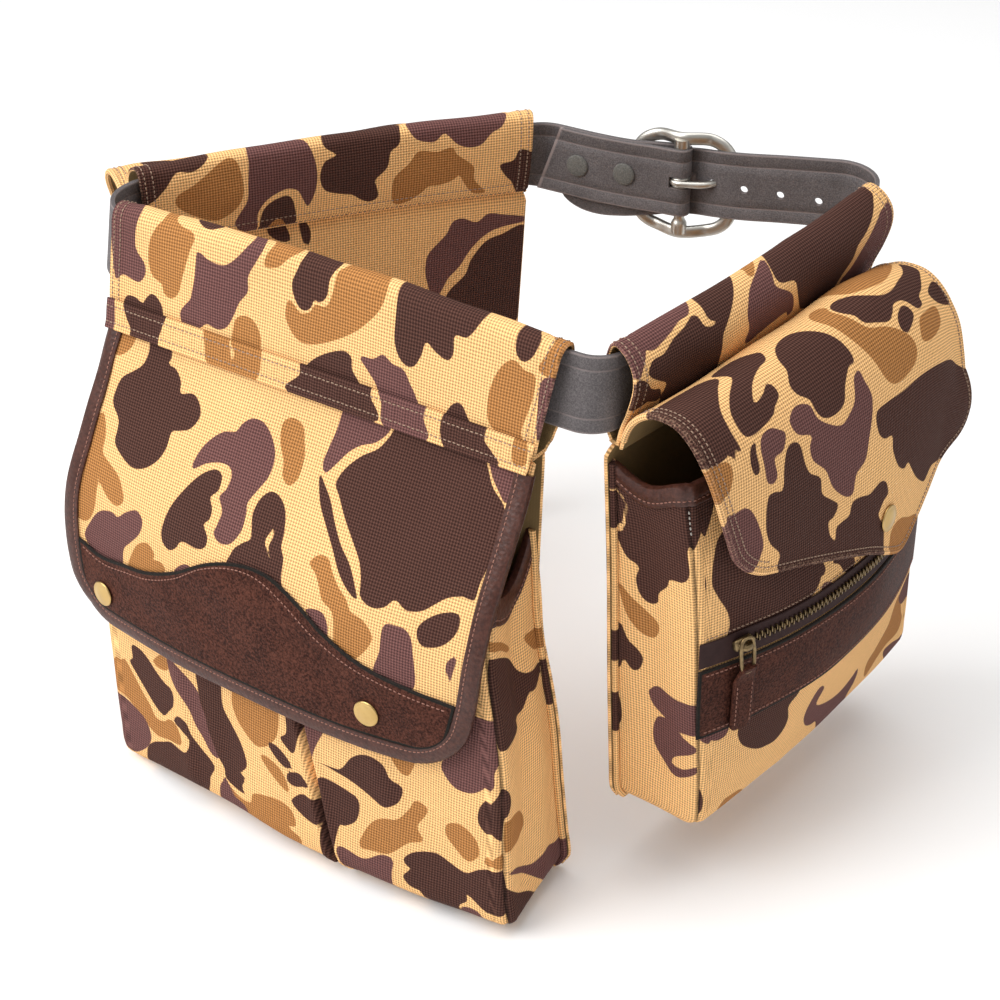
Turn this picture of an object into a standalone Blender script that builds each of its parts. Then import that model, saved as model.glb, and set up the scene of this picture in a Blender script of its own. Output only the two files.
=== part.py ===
"""Belted hunting game bag: one waist belt that carries a rear game bag and two side shell pouches.

Blender 4.5, metres, +Z up. The origin is the centre of the waist loop at the belt's mid height,
and -Y faces the outside of the rear bag. Tables and sizes are in millimetres.
In each bag's own frame x runs to the right seen from outside, "out" is away from the wearer,
and "down" is below the top fold of its belt tunnel.
"""
from collections import namedtuple
from math import acos, atan2, cos, pi, radians, sin, sqrt, tan

import bmesh
import bpy
from mathutils import Matrix, Vector

MM = 0.001
GAP = 0.3                 # clearance between pieces that touch
CLOTH = 2.0               # wall of lined canvas
LEATHER = 1.2             # wall of a leather binding
BAND_LEATHER = 1.6        # wall of a leather band or yoke
BINDING_GAP = 0.7         # clearance inside a leather binding
CHANNEL_CAPS = ((0, 1, 6, 7), (1, 2, 5, 6), (2, 3, 4, 5))     # end faces of a binding's profile

# Where each bag hangs: middle of its tunnel's top fold, its turn about Z and its outward lean.
Place = namedtuple("Place", "x y z yaw lean")
PLACES = {
    "rear": Place(-10.0, -115.0, 25.0, 0.0, 0.0),
    "right": Place(157.2, 5.3, 28.0, 85.4, 0.0),
    "left": Place(-102.5, 11.2, 25.0, -125.4, 11.0),
}

# Belt
BELT_WIDTH = 40.0
BELT_THICK = 3.5
BELT_FRONT_LEVEL = (1.0, 3.5)     # the belt's mid height at the left and right of the rear bag
BELT_BACK_LEVEL = -2.0            # and at the buckle
RISE_FROM = 40.0          # it rises between these distances from the buckle
RISE_TO = 125.0
REAR_BELT_DOWN = 22.0
REAR_BELT_OUT = (4.0, 2.5)        # at the rear tunnel's left and right end
SIDE_BELT_OUT = 1.0
SIDE_BELT_DOWN = {"right": 26.0, "left": 22.0}
Lean = namedtuple("Lean", "facing lean")
BELT_LEANS = (            # lean of the strap by the direction that its outer face looks
    Lean(-365.0, 0.0), Lean(-250.0, 0.0), Lean(-219.5, 11.0), Lean(-211.0, 11.0),
    Lean(-95.0, 6.0), Lean(-85.0, 6.0), Lean(-10.0, 0.0), Lean(0.0, 0.0),
)
LEFT_OVERRUN = 11.0       # the strap bends this far past the left tunnel's back end
TUNNEL_ARC = 0.82         # how much of a side tunnel the strap's arc takes
CORNER_RADIUS = {"rear_right": 16.0, "rear_left": 31.0, "right_back": 26.0, "left_back": 30.0}
CORNER_STEP = 12.0        # degrees between the strap's sections in a corner
BUCKLE_AT = (55.0, 126.5)
BACK_SLOPE = 13.5         # heading of the strap from the buckle to the right pouch
FIXED_REACH = 82.0        # within this reach of the buckle the runs below place the strap
HOLE_RADIUS = 2.6
HOLE_REACHES = (25.0, 44.0, 63.0, 82.0)       # from the bar towards the right pouch
PRONG_SLOT = (26.0, 34.0, 7.0)

# Runs of the strap beside the buckle: reach from the bar, distance off its plane, droop
Run = namedtuple("Run", "reach off droop")
TIP_RUN = (               # the free end, from its tip to the bar, outside the fixed end
    Run(88.0, 7.6, 9.0), Run(70.0, 7.6, 6.0), Run(50.0, 7.4, 3.0), Run(34.0, 7.4, 1.2), Run(18.0, 8.55, 0.0),
    Run(0.0, 9.15, 0.0),
)
INTO_RUN = (Run(18.0, 7.75, 0.0), Run(38.0, 5.6, 0.0), Run(58.0, 3.0, 0.0))
FIXED_RUN = (Run(77.0, 2.1, 0.0), Run(50.0, 2.1, 0.0), Run(30.0, 2.2, 0.0), Run(16.0, 3.6, 0.0))
LAP_RUN = (Run(16.0, 3.6, 0.0), Run(30.0, 2.2, 0.0), Run(50.0, 2.1, 0.0), Run(75.0, 2.1, 0.0))
BAR_SECTIONS = 7
TIP_TAPER = 0.45
LAP_TAPER = 0.9

# Buckle and rivets
BUCKLE_WIDE = 35.0        # half sizes of the oval's wire centre line
BUCKLE_TALL = 31.5
BUCKLE_SQUARE = 0.6       # below 1 the oval is squarer
BUCKLE_WIRE = 3.2
BUCKLE_BOW = 15.0         # the ends of the oval stand off the bar
BUCKLE_FLAT = 28.0
BUCKLE_SECTIONS = 24
WIRE_SIDES = 8
BAR_RADIUS = 3.0
BAR_SIDES = 10
PRONG_RADIUS = 1.5
Hook = namedtuple("Hook", "along out")
PRONG = (                 # round the bar, out through the strap, across to the oval's far side
    Hook(3.4, -3.4), Hook(0.0, -4.85), Hook(-3.4, -3.4), Hook(-4.85, 0.0), Hook(-3.6, 3.8),
    Hook(0.5, 8.0), Hook(5.0, 13.0), Hook(11.0, 15.8), Hook(22.0, 18.2), Hook(38.0, 20.2),
)
RIVET_REACHES = (35.0, 64.0)
RIVET_SEAT = 2.1 + BELT_THICK / 2 + GAP       # from the lap's middle to a cap's underside
RIVET_POST = 1.7
RIVET_SIDES = 10
Turning = namedtuple("Turning", "radius height")
RIVET = (                 # outer cap, post, domed inner cap
    Turning(0.0, -RIVET_SEAT - 0.8), Turning(3.6, -RIVET_SEAT - 0.8), Turning(3.6, -RIVET_SEAT),
    Turning(RIVET_POST, -RIVET_SEAT), Turning(RIVET_POST, RIVET_SEAT), Turning(6.0, RIVET_SEAT),
    Turning(6.0, RIVET_SEAT + 0.7), Turning(4.2, RIVET_SEAT + 1.5), Turning(0.0, RIVET_SEAT + 1.8),
)

# Belt tunnels: closed section, inner wall first, then over the fold and down the outer wall
Ring = namedtuple("Ring", "out down")
REAR_TUNNEL = (
    Ring(5.0, 58.0), Ring(-2.0, 47.0), Ring(-5.0, 30.0), Ring(-6.5, 12.0), Ring(-4.5, 1.0),
    Ring(0.5, -2.0), Ring(5.5, -0.8), Ring(8.5, 4.0), Ring(10.5, 15.0), Ring(13.0, 28.0),
    Ring(16.0, 45.0), Ring(17.0, 58.0),
)
SIDE_TUNNEL = (
    Ring(-1.0, 52.0), Ring(-5.5, 43.0), Ring(-7.2, 26.0), Ring(-6.0, 10.0), Ring(-3.0, 0.5),
    Ring(0.5, -1.5), Ring(4.5, -0.5), Ring(9.5, 3.0), Ring(14.0, 10.0), Ring(14.5, 19.0),
    Ring(11.0, 32.0), Ring(6.8, 43.0), Ring(4.5, 52.0),
)
REAR_TUNNEL_HALF = 138.0
REAR_TUNNEL_SLANT = 9.0   # the right end is shorter at the seam
SIDE_TUNNEL_HALF = 112.0
TUNNEL_STATIONS = 7
REAR_ARCH = 4.0           # the rear fold rises at its middle
ARCH_FADE = 20.0          # but not its walls this far down
SIDE_BOW = 4.0            # the side tunnels bow outwards at their middle

# Rear bag: body walls, one row for each level, all in the rear frame
Level = namedtuple("Level", "down left right back depth belly")
REAR_SPLAY = 8.0          # the right gusset's rear edge lies this much further in
REAR_BODY = (
    Level(128.0, -122.0, 122.0, 5.0, 38.0, 9.5),
    Level(146.0, -124.0, 125.5, 4.0, 43.0, 11.0),
    Level(165.0, -125.5, 129.0, 3.0, 46.5, 12.0),
    Level(190.0, -127.0, 135.0, 2.0, 49.5, 12.5),
    Level(222.0, -128.0, 140.0, 1.0, 51.5, 13.0),
    Level(258.0, -128.0, 143.0, 0.5, 54.5, 13.5),
    Level(290.0, -127.0, 146.0, 0.0, 58.0, 14.0),
    Level(307.0, -125.0, 148.0, 0.0, 58.5, 14.0),
    Level(314.0, -120.0, 144.5, 0.0, 53.5, 14.0),
)
REAR_BELLY_AT = 25.0
PLEAT_TOP = 17.0          # where the front pleat lies at its top and bottom level
PLEAT_BOTTOM = 41.0
PLEAT_DEPTH = 7.0
PLEAT_HALF = 6.0

# Side pouches: body walls in the right pouch's frame; the left pouch is its mirror image
SIDE_BODY = (
    Level(62.0, -113.0, 110.0, 0.3, 42.5, 12.0),
    Level(80.0, -111.5, 110.5, 0.3, 44.0, 13.0),
    Level(105.0, -109.5, 111.0, 0.3, 46.0, 19.0),
    Level(135.0, -107.5, 111.5, 0.3, 47.5, 23.0),
    Level(165.0, -106.0, 112.0, 0.3, 48.5, 25.0),
    Level(195.0, -104.5, 112.5, 0.3, 49.5, 24.0),
    Level(225.0, -102.5, 113.0, 0.3, 50.5, 17.0),
    Level(254.0, -100.5, 113.5, 0.3, 51.5, 9.0),
    Level(269.0, -99.0, 113.5, 0.3, 51.0, 5.5),
    Level(275.5, -95.0, 110.0, 0.3, 46.5, 4.5),
)
SIDE_BELLY_AT = 4.0
BODY_CORNER = 7.0         # rounding of the upright corners
MOUTH_LIP = 10.0          # how far the leather reaches down from the mouth's edge
MOUTH_DIP = 9.0           # the gusset's mouth sags between its two edges
PANEL_COLUMNS = (0.0, 0.06, 0.23, 0.41, 0.59, 0.77, 0.94, 1.0)
FLANGE = 3.5              # the back panels stand past the gussets by a seam's width

# Flaps: profile from the tunnel's seam to the hem
Fold = namedtuple("Fold", "out down belly")
REAR_FLAP = (
    Fold(17.0, 58.35, 0.0), Fold(23.5, 74.0, 1.0), Fold(30.5, 89.0, 3.0), Fold(37.5, 104.0, 5.0),
    Fold(44.0, 119.0, 7.0), Fold(49.5, 133.0, 9.5), Fold(53.5, 147.0, 11.5), Fold(55.5, 161.0, 12.5),
    Fold(56.0, 178.0, 13.0), Fold(56.5, 196.0, 13.5), Fold(57.0, 214.0, 13.5), Fold(57.5, 234.0, 13.5),
)
SIDE_FLAP = (
    Fold(4.9, 52.4, 0.0), Fold(8.2, 43.0, 0.0), Fold(13.2, 34.5, 0.0), Fold(20.5, 27.5, 0.0),
    Fold(29.5, 24.0, 0.0),
    Fold(41.0, 25.0, 2.0), Fold(51.0, 33.0, 4.0), Fold(58.0, 46.0, 7.0), Fold(61.0, 62.0, 10.0),
    Fold(61.5, 84.0, 14.0), Fold(60.0, 108.0, 19.0), Fold(58.0, 132.0, 23.0), Fold(57.0, 158.0, 25.0),
)
REAR_FLAP_BELLY = (15.0, 150.0)   # middle and half width of the bulge
SIDE_FLAP_BELLY = (4.0, 125.0)
SIDE_DROOP = 21.0         # the shell pouch's flap droops at its rear end

# Flap outlines: left and right edge at each distance along the cloth
Edge = namedtuple("Edge", "along left right")
REAR_OUTLINE = (
    Edge(0.0, -136.0, 130.0), Edge(32.0, -138.5, 130.0), Edge(66.0, -142.5, 129.0),
    Edge(98.0, -146.5, 128.0), Edge(125.0, -148.5, 125.5), Edge(150.0, -147.0, 120.5),
    Edge(180.0, -141.0, 112.5),
)
SIDE_OUTLINE = (
    Edge(0.0, -114.0, 109.0), Edge(30.0, -118.0, 113.0), Edge(66.0, -120.0, 115.0),
    Edge(95.0, -114.0, 118.0), Edge(125.0, -104.0, 123.0), Edge(150.0, -95.0, 119.0),
    Edge(190.0, -84.0, 102.0),
)
# Hems: how far along the cloth the hem lies, across the flap from left (0) to right (1)
Hem = namedtuple("Hem", "across along")
REAR_HEM = (
    Hem(0.0, 173.0), Hem(0.25, 174.0), Hem(0.5, 173.0), Hem(0.75, 173.0), Hem(1.0, 168.0),
)
SIDE_HEM = (
    Hem(0.0, 143.0), Hem(0.2, 155.0), Hem(0.42, 172.0), Hem(0.57, 186.0), Hem(0.64, 190.0),
    Hem(0.7, 186.0), Hem(0.78, 172.0), Hem(0.87, 160.0), Hem(1.0, 148.0),
)
REAR_HEM_CORNER = 26.0
SIDE_HEM_CORNER = 16.0

# Leather on the rear flap
BINDING_REACH = 8.5
YOKE_INSET = 1.8
YOKE_LIFT = 0.8
Wave = namedtuple("Wave", "x down")
YOKE_TOP = (
    Wave(-150.0, 174.0), Wave(-138.0, 178.0), Wave(-120.0, 183.5), Wave(-100.0, 184.5),
    Wave(-82.0, 180.0), Wave(-62.0, 168.0), Wave(-42.0, 154.0), Wave(-22.0, 147.0),
    Wave(-4.0, 148.5), Wave(14.0, 155.0), Wave(34.0, 165.0), Wave(56.0, 172.5),
    Wave(82.0, 176.0), Wave(105.0, 178.0), Wave(130.0, 179.0),
)
REAR_SNAPS = ((-124.0, 207.0), (66.0, 200.0))
SNAP_SIDES = 12
SNAP = (
    Turning(0.0, 0.0), Turning(6.6, 0.0), Turning(7.3, 0.6), Turning(6.8, 1.5), Turning(4.4, 2.2),
    Turning(0.0, 2.4),
)
SEAM_BAND_WALL = 1.4
SEAM_BAND = (             # turned seam over the flap's top edge
    Ring(16.5, 47.0), Ring(17.4, 52.0), Ring(18.6, 58.0), Ring(20.6, 62.0),
)

# Front of the shell pouch
ZIP_DOWN = 159.0
ZIP_LEFT = -76.0
ZIP_RIGHT = 84.0
TAPE_TALL = 16.0
TEETH_TALL = 5.0
BAND_TOP = 169.0
BAND_TALL = 41.0
SIDE_SNAP = (18.0, 128.0)
POCKET_LEFT = -98.0
POCKET_RIGHT = 105.0
FRONT_SEAT = 0.6          # clearance of tape and band off the bulging front
TAPE_WALL = 0.8
TEETH_SEAT = 1.8
TEETH_WALL = 1.4
STRIP_COLUMNS = 10
SLIDER_SIZE = (9.0, 8.0, 3.4)
SLIDER_ABOVE = 3.4        # its middle, off the front panel
SLIDER_OFF = 5.4          # its middle, past the last tooth
LOOP_HALF = 4.2
LOOP_UP = 4.0             # the loop's ends above and below the zip line
LOOP_DOWN = 13.0
LOOP_ABOVE = 5.8
LOOP_WIRE = 1.8
LOOP_INSIDE = (0.58, 0.78)
TAB_WIDE = 13.0
TAB_TALL = 36.0
TAB_WALL = 2.4
TAB_ABOVE = 5.2

COLOURS = {
    "canvas": ((0.80, 0.56, 0.30), 0.85, 0.0),
    "leather": ((0.075, 0.032, 0.022), 0.55, 0.0),
    "zip_cloth": ((0.05, 0.03, 0.035), 0.8, 0.0),
    "brass": ((0.55, 0.42, 0.20), 0.35, 1.0),
    "belt_leather": ((0.17, 0.16, 0.17), 0.6, 0.0),
    "chrome": ((0.62, 0.61, 0.60), 0.18, 1.0),
}


def clear_scene():
    for obj in list(bpy.data.objects):
        bpy.data.objects.remove(obj, do_unlink=True)


def material(name):
    found = bpy.data.materials.get(name)
    if found:
        return found
    colour, roughness, metallic = COLOURS[name]
    made = bpy.data.materials.new(name)
    made.use_nodes = True
    shader = made.node_tree.nodes["Principled BSDF"]
    shader.inputs["Base Color"].default_value = (*colour, 1.0)
    shader.inputs["Roughness"].default_value = roughness
    shader.inputs["Metallic"].default_value = metallic
    made.diffuse_color = (*colour, 1.0)
    return made


def place_matrix(place):
    move = Matrix.Translation(Vector((place.x, place.y, place.z)) * MM)
    turn = Matrix.Rotation(radians(place.yaw), 4, "Z")
    lean = Matrix.Rotation(-radians(place.lean), 4, "X")
    return move @ turn @ lean


def make_hanger(side):
    hanger = bpy.data.objects.new(side + "_hanger", None)
    bpy.context.scene.collection.objects.link(hanger)
    hanger.matrix_world = place_matrix(PLACES[side])
    return hanger


def make_object(name, points, faces, finish, parent=None, smooth=True):
    """Object from millimetre points and face index lists."""
    mesh = bpy.data.meshes.new(name)
    mesh.from_pydata([Vector(p) * MM for p in points], [], faces)
    mesh.validate()
    mesh.update()
    if smooth:
        mesh.shade_smooth()
        mesh.set_sharp_from_angle(angle=radians(40))
    mesh.materials.append(material(finish))
    obj = bpy.data.objects.new(name, mesh)
    bpy.context.scene.collection.objects.link(obj)
    obj.parent = parent
    return obj


def thicken(obj, wall):
    """Grow an open surface inwards into a closed wall."""
    solid = obj.modifiers.new("wall", "SOLIDIFY")
    solid.thickness = wall * MM
    solid.offset = -1.0
    solid.use_even_offset = True
    solid.use_rim = True
    return obj


def cut(obj, cutter):
    cutter.hide_render = True
    cutter.display_type = "WIRE"
    boolean = obj.modifiers.new("cut", "BOOLEAN")
    boolean.operation = "DIFFERENCE"
    boolean.object = cutter


def join(obj, other):
    other.hide_render = True
    other.display_type = "WIRE"
    boolean = obj.modifiers.new("join", "BOOLEAN")
    boolean.operation = "UNION"
    boolean.object = other


def flip(faces):
    return [tuple(reversed(face)) for face in faces]


def interpolate(rows, key, value, column):
    """Smooth value of a table's column, by Catmull-Rom between its rows."""
    keys = [getattr(row, key) for row in rows]
    values = [getattr(row, column) for row in rows]
    last = len(keys) - 1
    if value <= keys[0]:
        return values[0] + (value - keys[0]) * (values[1] - values[0]) / (keys[1] - keys[0])
    if value >= keys[last]:
        slope = (values[last] - values[last - 1]) / (keys[last] - keys[last - 1])
        return values[last] + (value - keys[last]) * slope
    i = max(k for k in range(last) if keys[k] <= value)
    span = keys[i + 1] - keys[i]
    t = (value - keys[i]) / span

    def slope_at(k):
        low, high = max(k - 1, 0), min(k + 1, last)
        return (values[high] - values[low]) / (keys[high] - keys[low])

    a, b = slope_at(i) * span, slope_at(i + 1) * span
    return ((2 * t**3 - 3 * t**2 + 1) * values[i] + (t**3 - 2 * t**2 + t) * a
            + (3 * t**2 - 2 * t**3) * values[i + 1] + (t**3 - t**2) * b)


def spread(low, high, count):
    return [low + (high - low) * i / (count - 1) for i in range(count)]


def bell(x, middle, half):
    """1 at the middle, 0 at the half width and beyond."""
    t = min(1.0, abs(x - middle) / half)
    return 1.0 - t * t


def local(x, out, down):
    return Vector((x, -out, -down))


def grid_faces(rows, columns, first=0):
    """Faces of a grid of points, seen from outside when x grows with the column."""
    faces = []
    for r in range(rows - 1):
        for c in range(columns - 1):
            a = first + r * columns + c
            faces.append((a, a + columns, a + columns + 1, a + 1))
    return faces


def make_sheet(name, rows, wall, finish, parent):
    points = [p for row in rows for p in row]
    faces = grid_faces(len(rows), len(rows[0]))
    return thicken(make_object(name, points, faces, finish, parent), wall)


def make_sweep(name, sections, finish, parent=None, smooth=True, caps=None):
    """Closed solid through sections of equal point count, with flat end caps."""
    count = len(sections[0])
    caps = caps or (tuple(range(count)),)
    points = [p for section in sections for p in section]
    faces = []
    for s in range(len(sections) - 1):
        for k in range(count):
            a, b = s * count + k, s * count + (k + 1) % count
            faces.append((a, a + count, b + count, b))
    end = (len(sections) - 1) * count
    for cap in caps:
        faces.append(cap)
        faces.append(tuple(end + k for k in reversed(cap)))
    obj = make_object(name, points, faces, finish, parent, smooth)
    turn_outwards(obj.data)
    return obj


def turn_outwards(mesh):
    work = bmesh.new()
    work.from_mesh(mesh)
    bmesh.ops.recalc_face_normals(work, faces=work.faces)
    work.to_mesh(mesh)
    work.free()


def make_turned(name, profile, sides, finish, matrix, parent=None):
    """Turned solid from (radius, height) rows that start and end on the axis."""
    points, rings = [], []
    for radius, height in profile:
        if radius == 0.0:
            rings.append([len(points)])
            points.append(matrix @ Vector((0.0, 0.0, height)))
            continue
        rings.append(list(range(len(points), len(points) + sides)))
        for k in range(sides):
            turn = 2 * pi * k / sides
            points.append(matrix @ Vector((radius * cos(turn), radius * sin(turn), height)))
    faces = []
    for low, high in zip(rings, rings[1:]):
        for k in range(sides):
            a, b = low[k % len(low)], low[(k + 1) % len(low)]
            c, d = high[(k + 1) % len(high)], high[k % len(high)]
            faces.append(tuple(dict.fromkeys((a, b, c, d))))
    obj = make_object(name, points, faces, finish, parent)
    turn_outwards(obj.data)
    return obj


def facing(point, normal, up=Vector((0, 0, 1))):
    """Matrix whose local Z is the normal, at a millimetre point."""
    z = normal.normalized()
    x = up.cross(z).normalized()
    y = z.cross(x)
    turn = Matrix((x, y, z)).transposed().to_4x4()
    return Matrix.Translation(point) @ turn


# Belt tunnels

def make_tunnel(side, mirror=1.0):
    rear = side == "rear"
    ring = REAR_TUNNEL if rear else SIDE_TUNNEL
    half = REAR_TUNNEL_HALF if rear else SIDE_TUNNEL_HALF
    points = []
    stations = spread(-1.0, 1.0, TUNNEL_STATIONS)
    for station in stations:
        for r in ring:
            slant = REAR_TUNNEL_SLANT * r.down / ring[-1].down if rear else 0.0
            x = station * half - slant * max(0.0, station)
            lift = REAR_ARCH * (1 - station**2) * max(0.0, 1 - r.down / ARCH_FADE) if rear else 0.0
            bow = 0.0 if rear else SIDE_BOW * (1 - station**2)
            points.append(local(x, r.out + bow, r.down - lift))
    count = len(ring)
    faces = []
    for s in range(len(stations) - 1):
        for k in range(count):
            a, b = s * count + k, s * count + (k + 1) % count
            faces.append((a, b, b + count, a + count))
    name = side + "_belt_tunnel"
    obj = make_object(name, points, faces, "canvas", bpy.data.objects[side + "_hanger"])
    return thicken(obj, CLOTH)


# Bodies, back panels and their leather mouths

def level_at(levels, down):
    columns = Level._fields[1:]
    return Level(down, *(interpolate(levels, "down", down, column) for column in columns))


def front_out(levels, x, down, rear):
    """How far the front panel stands out at a place."""
    level = level_at(levels, down)
    middle = REAR_BELLY_AT if rear else SIDE_BELLY_AT
    width = 0.5 * (level.right - level.left)
    out = level.depth + level.belly * bell(x, middle, width + abs(middle - 0.5 * (level.left + level.right)))
    if rear:
        t = (down - levels[0].down) / (levels[-1].down - levels[0].down)
        at = PLEAT_TOP + (PLEAT_BOTTOM - PLEAT_TOP) * max(0.0, (down - 232.0) / 75.0)
        out -= PLEAT_DEPTH * t * max(0.0, 1 - abs(x - at) / PLEAT_HALF)
    return out


def body_row(levels, down, rear, fronts):
    """Points round the body at one level: left gusset, front, right gusset."""
    level = level_at(levels, down)
    r = BODY_CORNER
    row = []
    left_out = front_out(levels, level.left + r, down, rear)
    right_out = front_out(levels, level.right - r, down, rear)
    for t in (0.0, 0.5):
        row.append((level.left, level.back + t * (left_out - r - level.back)))
    for k in range(4):
        turn = pi / 2 * k / 3
        row.append((level.left + r - r * cos(turn), left_out - r + r * sin(turn)))
    low, high = level.left + r, level.right - r
    for x in fronts(low, high, down):
        row.append((x, front_out(levels, x, down, rear)))
    for k in range(4):
        turn = pi / 2 * (1 - k / 3)
        row.append((level.right - r + r * cos(turn), right_out - r + r * sin(turn)))
    splay = REAR_SPLAY if rear else 0.0
    for t in (0.5, 0.0):
        row.append((level.right - splay * (1 - t), level.back + t * (right_out - r - level.back)))
    return row


def rear_fronts(low, high, down):
    at = PLEAT_TOP + (PLEAT_BOTTOM - PLEAT_TOP) * max(0.0, (down - 232.0) / 75.0)
    left = spread(low, at - PLEAT_HALF, 6)[1:]
    right = spread(at + PLEAT_HALF, high, 5)[:-1]
    return left + [at] + right


def side_fronts(low, high, _down):
    return spread(low, high, 10)[1:-1]


def make_body(side):
    rear = side == "rear"
    levels = REAR_BODY if rear else SIDE_BODY
    fronts = rear_fronts if rear else side_fronts
    turn = -1.0 if side == "left" else 1.0
    rows = []
    for i, level in enumerate(levels):
        row = body_row(levels, level.down, rear, fronts)
        gusset_middles = (1, len(row) - 2)
        dip = MOUTH_DIP if i == 0 else (0.4 * MOUTH_DIP if i == 1 else 0.0)
        points = []
        for c, (x, out) in enumerate(row):
            sag = dip if c in gusset_middles else 0.0
            points.append((x, out, level.down + sag))
        rows.append(points)
    columns = len(rows[0])
    wall_points = [p for row in rows for p in row]
    faces = grid_faces(len(rows), columns)
    # The floor runs from the front edge back to the open rear edge.
    corner = 5
    first, last = corner, columns - 1 - corner
    base = (len(rows) - 1) * columns
    bottom = rows[-1]
    previous = [base + c for c in range(first, last + 1)]
    for step in range(1, corner + 1):
        out_left, out_right = bottom[first - step], bottom[last + step]
        line = [base + first - step]
        for c in range(first + 1, last):
            t = (bottom[c][0] - bottom[first][0]) / (bottom[last][0] - bottom[first][0])
            k = 1.0 - step / corner
            edge = out_left[1] + t * (out_right[1] - out_left[1])
            x = out_left[0] + t * (out_right[0] - out_left[0])
            out = edge + (bottom[c][1] - (bottom[first][1] + t * (bottom[last][1] - bottom[first][1]))) * k
            line.append(len(wall_points))
            wall_points.append((x, out, bottom[c][2]))
        line.append(base + last + step)
        for c in range(len(line) - 1):
            faces.append((previous[c], line[c], line[c + 1], previous[c + 1]))
        previous = line
    if turn < 0:
        faces = flip(faces)
    points = [local(turn * x, out, down) for x, out, down in wall_points]
    name = side + "_pouch_body"
    obj = make_object(name, points, faces, "canvas", bpy.data.objects[side + "_hanger"])
    thicken(obj, CLOTH)
    make_mouth(side, rows[0], rows[1], turn)
    return obj


def make_mouth(side, mouth, below, turn):
    """Leather channel over the body's top edge, down the slope of its wall."""
    gap = BINDING_GAP
    wide = LEATHER + gap
    profile = ((wide, MOUTH_LIP), (wide, -wide), (-CLOTH - wide, -wide), (-CLOTH - wide, MOUTH_LIP),
               (-CLOTH - gap, MOUTH_LIP), (-CLOTH - gap, -gap), (gap, -gap), (gap, MOUTH_LIP))
    sections = []
    count = len(mouth)
    for i, (here, under) in enumerate(zip(mouth, below)):
        slope = (Vector(under) - Vector(here)).normalized()
        run = (Vector(mouth[min(i + 1, count - 1)]) - Vector(mouth[max(i - 1, 0)])).normalized()
        normal = slope.cross(run).normalized()
        section = []
        for off, drop in profile:
            spot = Vector(here) + slope * drop + normal * off
            if i in (0, count - 1):
                spot += run * (here[1] - spot.y) / run.y
            section.append(local(turn * spot.x, spot.y, spot.z))
        sections.append(section)
    name = side + "_mouth_binding"
    make_sweep(name, sections, "leather", bpy.data.objects[side + "_hanger"], caps=CHANNEL_CAPS)


def make_back_panel(side):
    rear = side == "rear"
    levels = REAR_BODY if rear else SIDE_BODY
    turn = -1.0 if side == "left" else 1.0
    top = 58.4 if rear else 53.1
    bottom = levels[-1].down + 2.0
    rows = []
    near = levels[0].down - 4.0
    for down in [top, near] + [level.down for level in levels[::2]] + [bottom]:
        level = level_at(levels, max(down, levels[0].down))
        fade = min(1.0, (down - top) / (near - top))
        if rear:
            out = 7.5 + (level.back - GAP - 7.5) * fade
            left = -REAR_TUNNEL_HALF + (level.left - FLANGE + REAR_TUNNEL_HALF) * fade
            right = REAR_TUNNEL_HALF - REAR_TUNNEL_SLANT
            right += (level.right - REAR_SPLAY + FLANGE - right) * fade
        else:
            out = 1.5 + (level.back - GAP - 1.5) * fade
            left = -SIDE_TUNNEL_HALF + (level.left - FLANGE + SIDE_TUNNEL_HALF) * fade
            right = SIDE_TUNNEL_HALF + (level.right + FLANGE - SIDE_TUNNEL_HALF) * fade
        bow = 0.0 if rear else SIDE_BOW * (1 - (down - top) / (bottom - top))**2
        bow_half = SIDE_TUNNEL_HALF - 14.0 * fade
        row = []
        for t in PANEL_COLUMNS:
            x = left + (right - left) * t
            row.append(local(turn * x, out + bow * bell(x, 0.0, bow_half), down))
        rows.append(row if turn > 0 else row[::-1])
    return make_sheet(side + "_back_panel", rows, CLOTH, "canvas", bpy.data.objects[side + "_hanger"])


# Flaps: points by x and distance along the cloth

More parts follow.
